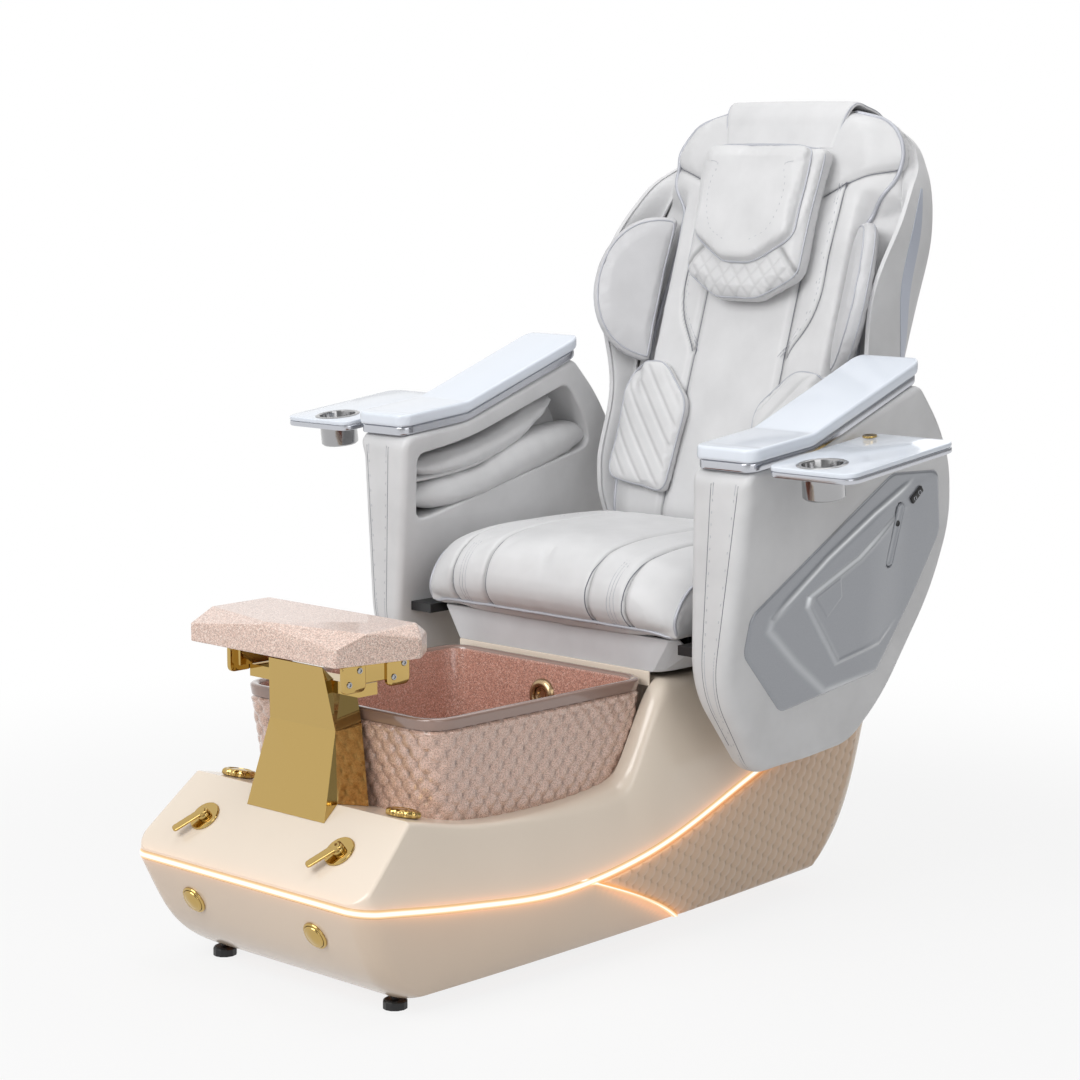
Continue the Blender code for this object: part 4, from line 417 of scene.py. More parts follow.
def rim_of(rows: int, columns: int) -> Array:
    """Indices round the edge of a grid."""
    index = np.arange(rows * columns).reshape(rows, columns)
    return np.concatenate([index[0], index[1:, -1], index[-1, -2::-1], index[-2:0:-1, 0]])


def cushion(top: Array, skirts: list) -> Skin:
    """Closed pad: a grid for its face, rings that carry its edge down, and a flat back.

    Args:
        top: Grid of points of the face.
        skirts: Rings of as many points as the grid's edge has.

    Returns:
        The closed skin.
    """
    rows, columns = top.shape[:2]
    edge = rim_of(rows, columns)
    faces = grid_faces(rows, columns)
    count = rows * columns
    for _ in skirts:
        below = np.arange(count, count + len(edge))
        faces += np.stack([edge, np.roll(edge, 1), np.roll(below, 1), below], 1).tolist()
        count += len(edge)
        edge = below
    faces.append(edge.tolist())
    return Skin(np.concatenate([top.reshape(-1, 3), *skirts]), faces)


def slab(outer: Array, inner: Array) -> Skin:
    """Closed sheet between two grids of the same size."""
    rows, columns = outer.shape[:2]
    edge = rim_of(rows, columns)
    shift = rows * columns
    faces = grid_faces(rows, columns)
    faces += [[i + shift for i in face[::-1]] for face in grid_faces(rows, columns)]
    faces += np.stack([edge, np.roll(edge, 1), np.roll(edge, 1) + shift, edge + shift], 1).tolist()
    return Skin(np.concatenate([outer.reshape(-1, 3), inner.reshape(-1, 3)]), faces)


def turned(profile: tuple, place: Matrix = Matrix(), segments: int = 48, lobes: int = 0, lobe: float = 0.0,
           hollow: bool = False) -> Skin:
    """Turned piece: a profile of radius and height is carried round the place's Z.

    Args:
        profile: Pairs of radius and height, from one pole to the other.
        place: Frame of the axis.
        segments: Points round a ring.
        lobes: Number of scallops round the edge.
        lobe: Depth of a scallop at the edge as a share of the radius.
        hollow: Whether the profile is a closed ring that keeps off the axis.

    Returns:
        The closed skin.
    """
    radius, height = np.array(profile, float).T
    turn = np.linspace(0, 2 * math.pi, segments, endpoint=False)
    wave = radius[:, None] * (1 + lobe * np.cos(lobes * turn) * (radius[:, None] / radius.max()) ** 6)
    rings = np.stack([wave * np.cos(turn), wave * np.sin(turn), np.repeat(height[:, None], segments, 1)], -1)
    return loft(rings, hollow).moved(place)


def plate(outline: Array, thickness: float, edge: float, place: Matrix = Matrix(), steps: int = 4) -> Skin:
    """Plate with rounded edges: insets of an outline run up a quarter circle, the side and a quarter circle.

    Args:
        outline: Closed outline in the place's XY plane.
        thickness: Height along the place's Z.
        edge: Radius of the rounded edges.
        place: Frame of the plate's underside.
        steps: Points on each quarter circle.

    Returns:
        The closed skin.
    """
    turn = np.linspace(0, math.pi / 2, steps)
    levels = [(edge * (1 - math.sin(t)), edge * (1 - math.cos(t))) for t in turn]
    levels += [(drop, thickness - height) for drop, height in levels[::-1]]
    rings = [raised(inset(outline, drop), height) for drop, height in levels]
    return loft(rings).moved(place)


def sweep(path: Array, normals: Array, radius: float, sides: int = 8, closed: bool = False,
          flat: float = 1.0) -> Skin:
    """Round section carried along a path: centre plus radius times cosine of normal and sine of cross line.

    Args:
        path: Centres of the section.
        normals: Direction at each centre that the section's height follows.
        radius: Radius of the section.
        sides: Points round the section.
        closed: Whether the path runs back to its start.
        flat: Height of the section as a share of its width.

    Returns:
        The closed skin.
    """
    along = np.roll(path, -1, 0) - np.roll(path, 1, 0) if closed else np.gradient(path, axis=0)
    along = unit(along)
    across = unit(np.cross(along, normals))
    up = np.cross(across, along)
    turn = np.linspace(0, 2 * math.pi, sides, endpoint=False)[None, :, None]
    rings = path[:, None] + radius * (flat * np.cos(turn) * up[:, None] + np.sin(turn) * across[:, None])
    return loft(rings, closed)


def stitches(path: Array, normals: Array, pitch: float, length: float, radius: float) -> Skin:
    """Row of short threads: one small capsule is turned to the path at each even step along it.

    Args:
        path: Line of the row.
        normals: Surface directions along the line.
        pitch: Distance from stitch to stitch.
        length: Length of a stitch.
        radius: Radius of the thread.

    Returns:
        One skin of all stitches.
    """
    sides, count = 5, max(int(run_length(path)[-1] / pitch), 2)
    both = resample(np.hstack([path, normals]), count)
    centre, up = both[:, :3], both[:, 3:]
    along = unit(np.gradient(centre, axis=0))
    across = unit(np.cross(along, up))
    up = np.cross(across, along)
    turn = np.linspace(0, 2 * math.pi, sides, endpoint=False)
    at = np.array([-0.5, -0.35, 0.35, 0.5]) * length
    fat = np.array([0.35, 1.0, 1.0, 0.35]) * radius
    rows = len(at)
    ring = np.stack([np.repeat(at[:, None], sides, 1), np.outer(fat, np.cos(turn)),
                     np.outer(fat, np.sin(turn))], -1)
    points = sum(ring[None, ..., k, None] * axis[:, None, None] for k, axis in enumerate((along, up, across)))
    points = (points + centre[:, None, None]).reshape(-1, 3)
    shift = rows * sides * np.arange(count)[:, None, None]
    quads = (np.array(grid_faces(rows, sides, False, True))[None] + shift).reshape(-1, 4).tolist()
    ends = np.array([np.arange(sides), rows * sides - 1 - np.arange(sides)])
    caps = (ends[None] + shift).reshape(-1, sides).tolist()
    return Skin(points, quads + caps)


# Objects


def coordinates(piece: Object) -> Array:
    """Vertices of a mesh object as an array."""
    flat = np.empty(len(piece.data.vertices) * 3, np.float32)
    piece.data.vertices.foreach_get("co", flat)
    return flat.reshape(-1, 3).astype(float)


def normals_of(piece: Object) -> Array:
    """Vertex normals of a mesh object as an array."""
    flat = np.empty(len(piece.data.vertices) * 3, np.float32)
    piece.data.vertex_normals.foreach_get("vector", flat)
    return flat.reshape(-1, 3).astype(float)


def set_coordinates(piece: Object, points: Array) -> None:
    """Put an array back as a mesh object's vertices."""
    piece.data.vertices.foreach_set("co", points.astype(np.float32).ravel())
    piece.data.update()


def paint(piece: Object, name: str, values: Array) -> None:
    """Store one number for each vertex, for a material to read."""
    layer = piece.data.attributes.new(name, "FLOAT", "POINT")
    layer.data.foreach_set("value", np.asarray(values, np.float32).ravel())


def raw_object(name: str, skin: Skin) -> Object:
    """Mesh object of a skin, with its faces turned outwards."""
    mesh = bpy.data.meshes.new(name)
    mesh.from_pydata(skin.points.tolist(), [], skin.faces)
    shape = bmesh.new()
    shape.from_mesh(mesh)
    bmesh.ops.recalc_face_normals(shape, faces=shape.faces)
    shape.to_mesh(mesh)
    shape.free()
    piece = bpy.data.objects.new(name, mesh)
    bpy.context.scene.collection.objects.link(piece)
    return piece


def settle(piece: Object) -> Object:
    """Make a piece's modifiers final in its mesh."""
    bpy.context.view_layer.update()
    seen = piece.evaluated_get(bpy.context.evaluated_depsgraph_get())
    mesh = bpy.data.meshes.new_from_object(seen)
    old, name = piece.data, piece.data.name
    piece.modifiers.clear()
    piece.data = mesh
    bpy.data.meshes.remove(old)
    mesh.name = name
    return piece


def carve(piece: Object, *tools: Skin) -> Object:
    """Take the space of closed skins out of a piece."""
    for tool in tools:
        cutter = raw_object("cutter", tool)
        cut = piece.modifiers.new("cut", "BOOLEAN")
        cut.operation, cut.solver, cut.object = "DIFFERENCE", "EXACT", cutter
        settle(piece)
        bpy.data.objects.remove(cutter, do_unlink=True)
    return piece


def shade(piece: Object, angle: float) -> None:
    """Shade a piece smooth, with edges kept where faces meet at more than an angle in degrees."""
    piece.data.shade_smooth()
    if angle < SMOOTH:
        piece.data.set_sharp_from_angle(angle=math.radians(angle))


STUFFED_COVER = {"quality": 2, "mass": 0.3, "tension_stiffness": 18, "compression_stiffness": 18,
                 "shear_stiffness": 8, "bending_stiffness": 1.2, "use_pressure": True}
STUFFING_STEPS = 20


def puff(piece: Object, cap: float, voxel: float, pressure: float = 4.0) -> None:
    """Swell a pad as stuffing does: even voxels, cloth under pressure without gravity, a cap, finer faces.

    Args:
        piece: Closed pad, a little smaller than it will be.
        cap: Furthest that a point may move.
        voxel: Size of the even mesh.
        pressure: Pressure inside the cover.
    """
    even = piece.modifiers.new("even", "REMESH")
    even.mode, even.voxel_size = "VOXEL", voxel
    settle(piece)
    rest = coordinates(piece)
    cover = piece.modifiers.new("cover", "CLOTH")
    for name, value in STUFFED_COVER.items():
        setattr(cover.settings, name, value)
    cover.settings.uniform_pressure_force = pressure
    cover.settings.effector_weights.gravity = 0
    cover.collision_settings.use_collision = False
    scene = bpy.context.scene
    for step in range(1, STUFFING_STEPS + 1):
        scene.frame_set(step)
    settle(piece)
    scene.frame_set(1)
    move = coordinates(piece) - rest
    far = np.linalg.norm(move, axis=1, keepdims=True)
    set_coordinates(piece, rest + move * np.minimum(1, cap / np.maximum(far, TINY)))
    finer = piece.modifiers.new("finer", "SUBSURF")
    finer.levels = finer.render_levels = 1
    settle(piece)


def press(piece: Object, depth: Array) -> None:
    """Move each vertex in along its normal, to sew a groove or a quilted line."""
    set_coordinates(piece, coordinates(piece) - normals_of(piece) * np.asarray(depth)[:, None])


def snap(piece: Object, path: Array, lift: float = 0.0) -> tuple[Array, Array]:
    """Lay a path on the nearest points of a piece.

    Args:
        piece: Mesh object that carries the path.
        path: Points near its surface.
        lift: Distance to stand off the surface.

    Returns:
        The points on the surface and the surface's directions there, eased along the path.
    """
    tree = BVHTree.FromObject(piece, bpy.context.evaluated_depsgraph_get())
    found = [tree.find_nearest(Vector(p))[:2] for p in path]
    points, normals = (np.array([list(hit[k]) for hit in found]) for k in (0, 1))
    for _ in range(6):
        normals[1:-1] = (normals[:-2] + 2 * normals[1:-1] + normals[2:]) / 4
        points[1:-1] = (points[:-2] + 2 * points[1:-1] + points[2:]) / 4
    normals = unit(normals)
    return points + lift * normals, normals


@dataclass(frozen=True)
class Fit:
    """Where a piece belongs: the body it rides on, the name of its slot and the nodes that it stands for."""

    body: str
    slot: str
    nodes: tuple = ()
    fill: float | None = None


def leather(body: str, node: str = "", fill: float | None = None) -> Fit:
    """Place of a leatherette piece, with the node that it stands for if there is one."""
    return Fit(body, "grey_leather", (node,) if node else (), fill)


def finish_piece(piece: Object, looks: tuple, fit: Fit, angle: float = 40.0) -> Object:
    """Give a made piece its materials and shading and set it on its body.

    Args:
        piece: Mesh object in its place.
        looks: Its finishes, in the order of its material slots.
        fit: Where it belongs.
        angle: Sharpest angle that is shaded smooth, in degrees.

    Returns:
        The piece.
    """
    piece.data.materials.clear()
    for look in looks:
        piece.data.materials.append(look.material())
    shade(piece, angle)
    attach(piece, fit.body)
    if fit.nodes:
        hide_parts(*fit.nodes)
    LOG.info("%s: %d faces on %s", piece.name, len(piece.data.polygons), fit.body)
    return piece


def make(name: str, skin: Skin, looks: tuple, fit: Fit, angle: float = 40.0) -> Object:
    """Mesh object of a skin, finished and set on its body."""
    return finish_piece(raw_object(name, skin), looks, fit, angle)


# Finishes


def linear(colour: str) -> tuple[float, float, float, float]:
    """Linear colour of an sRGB hex value."""
    rgb = np.array([int(colour[i:i + 2], 16) / 255 for i in (1, 3, 5)])
    rgb = np.where(rgb <= 0.04045, rgb / 12.92, ((rgb + 0.055) / 1.055) ** 2.4)
    return (*rgb.tolist(), 1.0)


def add(tree: Tree, kind: str, inputs: dict | None = None, **settings: object) -> Node:
    """Add a node with its settings, values and links.

    Args:
        tree: Node tree to add to.
        kind: Blender's name of the node.
        inputs: Values or output sockets for its inputs.
        settings: Its other properties.

    Returns:
        The node.
    """
    node = tree.nodes.new(kind)
    for name, value in settings.items():
        setattr(node, name, value)
    for name, value in (inputs or {}).items():
        if isinstance(value, Socket):
            tree.links.new(value, node.inputs[name])
        else:
            node.inputs[name].default_value = value
    return node


def ramp(tree: Tree, value: Socket, *stops: tuple) -> Socket:
    """Colour ramp over pairs of position and sRGB hex value."""
    node = add(tree, "ShaderNodeValToRGB", {"Fac": value})
    elements = node.color_ramp.elements
    while len(elements) < len(stops):
        elements.new(0.5)
    for element, (position, colour) in zip(elements, stops):
        element.position = position
        element.color = linear(colour)
    return node.outputs["Color"]


def sunk(tree: Tree, tone: Socket, deep: str) -> Socket:
    """Painted shade: colour that turns to a deeper one where a piece's crease values are high, in seams,
    grooves and the laps between scales.
    """
    crease = add(tree, "ShaderNodeAttribute", attribute_name="crease").outputs["Fac"]
    return blend(tree, crease, tone, deep)


def blend(tree: Tree, share: Socket, tone: Socket, other: str) -> Socket:
    """Colour that turns to another one by a share."""
    return add(tree, "ShaderNodeMix", {0: share, 6: tone, 7: linear(other)}, data_type="RGBA").outputs[2]


def noise(tree: Tree, place: Socket, scale: float, detail: float) -> Socket:
    """Soft noise with a number of swells to the metre."""
    return add(tree, "ShaderNodeTexNoise", {"Vector": place, "Scale": scale, "Detail": detail}).outputs["Fac"]


def cells(tree: Tree, place: Socket, size: float) -> Node:
    """Cells of a size, each with its own colour."""
    return add(tree, "ShaderNodeTexVoronoi", {"Vector": place, "Scale": 1 / size}, feature="F1")


def flakes(tree: Tree, place: Socket, size: float) -> Node:
    """Three random numbers for each flake of a size."""
    return add(tree, "ShaderNodeSeparateColor", {"Color": cells(tree, place, size).outputs["Color"]})


def break_shine(tree: Tree, shader: Node, value: Socket, low: float, high: float) -> None:
    """Let a pattern drive the roughness between two values."""
    shine = add(tree, "ShaderNodeMapRange", {"Value": value, "To Min": low, "To Max": high})
    tree.links.new(shine.outputs["Result"], shader.inputs["Roughness"])


def emboss(tree: Tree, shader: Node, height: Socket, strength: float, depth: float,
           sunken: bool = False) -> None:
    """Let a pattern of a real depth bend the shading."""
    bump = add(tree, "ShaderNodeBump", {"Height": height, "Strength": strength, "Distance": depth},
               invert=sunken)
    tree.links.new(bump.outputs["Normal"], shader.inputs["Normal"])


def fade(tree: Tree, value: Socket, reach: tuple, levels: tuple) -> Socket:
    """Level that eases from one to another while a value crosses its reach."""
    inputs = {"Value": value, "From Min": reach[0], "From Max": reach[1], "To Min": levels[0],
              "To Max": levels[1]}
    return add(tree, "ShaderNodeMapRange", inputs, interpolation_type="SMOOTHSTEP").outputs["Result"]


@dataclass(frozen=True)
class Finish:
    """A finish: its real material, its colour and its shine. Each kind adds its own pattern."""

    name: str
    colour: str
    roughness: float
    metallic: float = 0.0
    coat: float = 0.0
    coat_roughness: float = 0.05
    ior: float = 1.5

    def material(self) -> bpy.types.Material:
        """The material of this finish, made once."""
        made = bpy.data.materials.get(self.name)
        if made:
            return made
        made = bpy.data.materials.new(self.name)
        made.use_nodes = True
        tree = made.node_tree
        shader = tree.nodes["Principled BSDF"]
        shader.inputs["Base Color"].default_value = linear(self.colour)
        shader.inputs["Roughness"].default_value = self.roughness
        shader.inputs["Metallic"].default_value = self.metallic
        shader.inputs["IOR"].default_value = self.ior
        shader.inputs["Coat Weight"].default_value = self.coat
        shader.inputs["Coat Roughness"].default_value = self.coat_roughness
        place = add(tree, "ShaderNodeTexCoord").outputs["Object"]
        self.pattern(tree, shader, place)
        return made

    def pattern(self, tree: Tree, shader: Node, place: Socket) -> None:
        """Plain moulded or plated surface: faint handling marks in the shine, 40 mm apart."""
        marks = noise(tree, place, 25.0, 4.0)
        break_shine(tree, shader, marks, 0.85 * self.roughness, min(1.0, 1.2 * self.roughness + 0.01))


@dataclass(frozen=True)
class Leatherette(Finish):
    """PVC leather, embossed: pebbles about 1 mm across break its soft shine, and the foam below swells it."""

    grain: float = 1.9 * MM  # twice the real pebble, so that it shows in the picture

    def pattern(self, tree: Tree, shader: Node, place: Socket) -> None:
        """Pebbled grain as a bump, slow changes of tone, painted shade in seams and grooves, and a shine
        broken by the grain.
        """
        pebble = cells(tree, place, self.grain).outputs["Distance"]
        swell = noise(tree, place, 14.0, 3.0)
        tone = ramp(tree, swell, (0.3, shaded(self.colour, 0.97)), (0.7, shaded(self.colour, 1.02)))
        # Painted shade: the leather darkens to half its colour where the crease values mark seams and quilted
        # grooves.
        tree.links.new(sunk(tree, tone, shaded(self.colour, 0.5)), shader.inputs["Base Color"])
        break_shine(tree, shader, pebble, self.roughness - 0.06, self.roughness + 0.08)
        emboss(tree, shader, pebble, 0.16, 0.25 * MM, sunken=True)


@dataclass(frozen=True)
class Gelcoat(Finish):
    """Polyester gelcoat, sprayed in a mould: clear gloss, faint orange peel, and a painted glow of the lit
    strip's warm light.
    """

    glow: str = "#FF9A3C"

    def pattern(self, tree: Tree, shader: Node, place: Socket) -> None:
        """Orange peel 12 mm apart, a slow drift of tone, painted shade by the crease values, and painted warm
        light that fades away from the strip.
        """
        drift = noise(tree, place, 3.0, 2.0)
        tone = ramp(tree, drift, (0.3, shaded(self.colour, 0.975)), (0.7, shaded(self.colour, 1.015)))
        # Painted shade: the laps between scales darken by the crease values.
        tree.links.new(sunk(tree, tone, shaded(self.colour, 0.6)), shader.inputs["Base Color"])
        emboss(tree, shader, noise(tree, place, 80.0, 2.0), 0.02, 0.5 * MM)
        # Painted light: the shell itself glows orange by the glow values, as if lit by the strip.
        warm = add(tree, "ShaderNodeAttribute", attribute_name="glow").outputs["Fac"]
        tree.links.new(warm, shader.inputs["Emission Strength"])
        shader.inputs["Emission Color"].default_value = linear(self.glow)


@dataclass(frozen=True)
class GlitterResin(Finish):
    """Cast resin, foil flakes about 1 mm across under a clear gloss: pale and dark specks that sparkle."""

    flake: float = 2.2 * MM  # twice the real flake, so that it shows in the picture
    pale: str = "#FFF1E6"
    dark: str = "#7A4F44"

    def pattern(self, tree: Tree, shader: Node, place: Socket) -> None:
        """Every cell is one flake with its own tone, and the flakes tip a little each their own way; painted
        shade darkens the laps by the crease values.
        """
        pick = flakes(tree, place, self.flake)
        tone = ramp(tree, pick.outputs["Red"], (0.0, self.dark), (0.14, shaded(self.colour, 0.86)),
                    (0.45, self.colour), (0.8, shaded(self.colour, 1.1)), (0.95, self.pale))
        # Painted shade: the laps between cast scales darken by the crease values.
        tree.links.new(sunk(tree, tone, shaded(self.colour, 0.55)), shader.inputs["Base Color"])
        spark = add(tree, "ShaderNodeMapRange",
                    {"Value": pick.outputs["Green"], "From Min": 0.9, "From Max": 0.96, "To Max": 0.4})
        tree.links.new(spark.outputs["Result"], shader.inputs["Metallic"])
        emboss(tree, shader, pick.outputs["Blue"], 0.12, 0.3 * MM)


@dataclass(frozen=True)
class Flaked(Finish):
    """Metallic car paint: aluminium flakes in a grey base under clear coat, with painted highlights on a
    bead's top.
    """

    flake: float = 0.8 * MM  # coarser than the real flake, so that it shows in the picture

    def pattern(self, tree: Tree, shader: Node, place: Socket) -> None:
        """Flakes a shade lighter or darker than the base, and painted highlights near white on the beads by
        the crest values.
        """
        pick = flakes(tree, place, self.flake)
        tone = ramp(tree, pick.outputs["Red"], (0.0, shaded(self.colour, 0.98)),
                    (1.0, shaded(self.colour, 1.02)))
        crest = add(tree, "ShaderNodeAttribute", attribute_name="crest").outputs["Fac"]
        tree.links.new(blend(tree, crest, tone, "#F2F5F8"), shader.inputs["Base Color"])


@dataclass(frozen=True)
class Brushed(Finish):
    """Stainless steel, turned and brushed: fine rings round the axis stretch its reflections."""

    def pattern(self, tree: Tree, shader: Node, place: Socket) -> None:
        """Brush marks drawn 1 mm apart up the wall."""
        stretch = add(tree, "ShaderNodeMapping", {"Vector": place, "Scale": (8.0, 8.0, 1000.0)})
        marks = noise(tree, stretch.outputs["Vector"], 1.0, 2.0)
        break_shine(tree, shader, marks, 0.7 * self.roughness, 1.4 * self.roughness)
        emboss(tree, shader, marks, 0.05, 0.1 * MM)


@dataclass(frozen=True)
class LitAcrylic(Finish):
    """Opal acrylic over a row of lamps: an even warm white light."""

    def pattern(self, tree: Tree, shader: Node, place: Socket) -> None:
        """White along the middle of the strip and warm towards its edges, read from the core values."""
        core = add(tree, "ShaderNodeAttribute", attribute_name="core").outputs["Fac"]
        light = ramp(tree, core, (0.0, "#D6B083"), (0.25, "#EFC286"), (0.45, "#FFE3B4"), (0.6, "#FFFBF3"))
        tree.links.new(light, shader.inputs["Emission Color"])
        shader.inputs["Emission Strength"].default_value = 1.0


def shaded(colour: str, factor: float) -> str:
    """Hex value of a colour made darker or lighter."""
    return "#" + "".join(f"{min(255, round(int(colour[i:i + 2], 16) * factor)):02X}" for i in (1, 3, 5))


# Soft satin grey whose broken highlights make folds and seams read.
LEATHER = Leatherette("grey leatherette", "#D2D2D3", 0.46)
# The same hide pulled flat over a box: finer pebbles and a slightly tighter shine.
ARM_LEATHER = Leatherette("grey leatherette, stretched", "#CFCFD0", 0.44, grain=1.7 * MM)
# Painted shade: the same leather a shade deeper, so that the pads stand off the cushion behind them.
SHADED_PAD_LEATHER = Leatherette("grey leatherette, padded", "#C6C6C8", 0.46)
# Thin bright edge that draws the outline of each cushion.
PIPING = Finish("silver grey piping", "#B2B4BB", 0.36, 0.15)
# Dark line sunk in a groove.
SEAM = Finish("dark seam thread", "#73757D", 0.6)
# Pale dashes beside the seams.
THREAD = Finish("pale stitching thread", "#B0B2B9", 0.55)
# Cool sheen up each side of the back.
STRIPE = Finish("silver blue accent fabric", "#BCC1CD", 0.4, 0.25)
# Warm glossy shell with clear reflections, and a painted orange glow next to the lit strip.
CREAM = Gelcoat("cream gelcoat", "#E3D6C6", 0.24, coat=0.35, coat_roughness=0.08)
# Painted shade: the same cream made deeper and a little pinker low on the hull, where less light falls, with
# the same gloss.
SHADED_HULL_CREAM = Gelcoat("cream gelcoat, lower hull", "#D8C5B0", 0.24, coat=0.35, coat_roughness=0.08)
# Satin relief whose lips catch the light, with painted shade in the laps between scales.
SCALE_RESIN = Gelcoat("scale relief resin", "#CBB097", 0.34, coat=0.2, coat_roughness=0.2)
# Rose scales with a fine sparkle under a deep gloss.
BOWL_OUTSIDE = GlitterResin("rose glitter resin, scale cast", "#C8A797", 0.20, coat=1.0, coat_roughness=0.05,
                            flake=1.3 * MM, pale="#D6BCAE", dark="#B89788")
# Deeper rose inside the bowl, with larger specks.
BOWL_INSIDE = GlitterResin("rose glitter resin, polished", "#BC8C7C", 0.25, coat=0.8, flake=1.4 * MM,
                           pale="#D8B5A6", dark="#9C7063")
# Dark glossy line round the rim.
BOWL_BAND = Finish("smoked rose acrylic", "#8F7468", 0.12, coat=1.0, coat_roughness=0.03)
# Pale specked facets with a soft gloss.
FOOT_RESIN = GlitterResin("pink beige glitter resin", "#D2B7A9", 0.28, coat=0.6, coat_roughness=0.08,
                          flake=1.4 * MM, pale="#EADACF", dark="#B89687")
# Yellow mirror with dark and white streaks.
GOLD = Finish("polished gold plate", "#BFA264", 0.06, 1.0)
# Grey mirror drawn out into streaks round the cup.
STEEL = Brushed("brushed steel", "#A9A9AA", 0.14, 1.0)
# Blurred brown metal round the jet.
BRONZE = Finish("satin bronze", "#B39A78", 0.24, 1.0)
# Near black with a dull sheen, so that the frames stay in shadow.
BLACK_STEEL = Finish("black painted steel", "#141416", 0.45, coat=0.2)
# Cool white with a sharp, weak reflection.
WHITE = Finish("white gloss acrylic", "#DDE3EC", 0.10, coat=0.2, coat_roughness=0.04, ior=1.4)
# Blurred bright line under the pads and trays.
SILVER = Finish("satin silver trim", "#C3C5CB", 0.2, 1.0)
# Mid grey that sparkles finely, with painted highlights on its beads.
PANEL = Flaked("silver grey paint", "#8E9197", 0.30, 0.35, coat=0.9, coat_roughness=0.14)
# Flat black that shows little but its edges.
BLACK = Finish("black plastic", "#131315", 0.42)
# Plain pale grey of machine parts.
GREY = Finish("grey plastic", "#B7B7BA", 0.42)
# White line of light with warm edges.
LIT = LitAcrylic("lit opal acrylic", "#4A4036", 0.3)


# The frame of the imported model


@dataclass
class Datum:
    """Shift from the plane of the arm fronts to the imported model's frame."""

    y: float = field(init=False)

    def __post_init__(self) -> None:
        """Read the plane off the arm pad, whose front lies in it."""
        self.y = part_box("arm_pad_left")[0].y

    def world(self, skin: Skin) -> Skin:
        """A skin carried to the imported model's frame."""
        return Skin(skin.points + (0.0, self.y, 0.0), skin.faces)

    def points(self, points: Array) -> Array:
        """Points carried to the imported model's frame."""
        return np.asarray(points, float) + (0.0, self.y, 0.0)

    def place(self, x: float, y: float, z: float, turn: float = 0.0) -> Matrix:
        """Frame at a point, turned about X."""
        return Matrix.Translation((x, y + self.y, z)) @ Matrix.Rotation(turn, 4, "X")


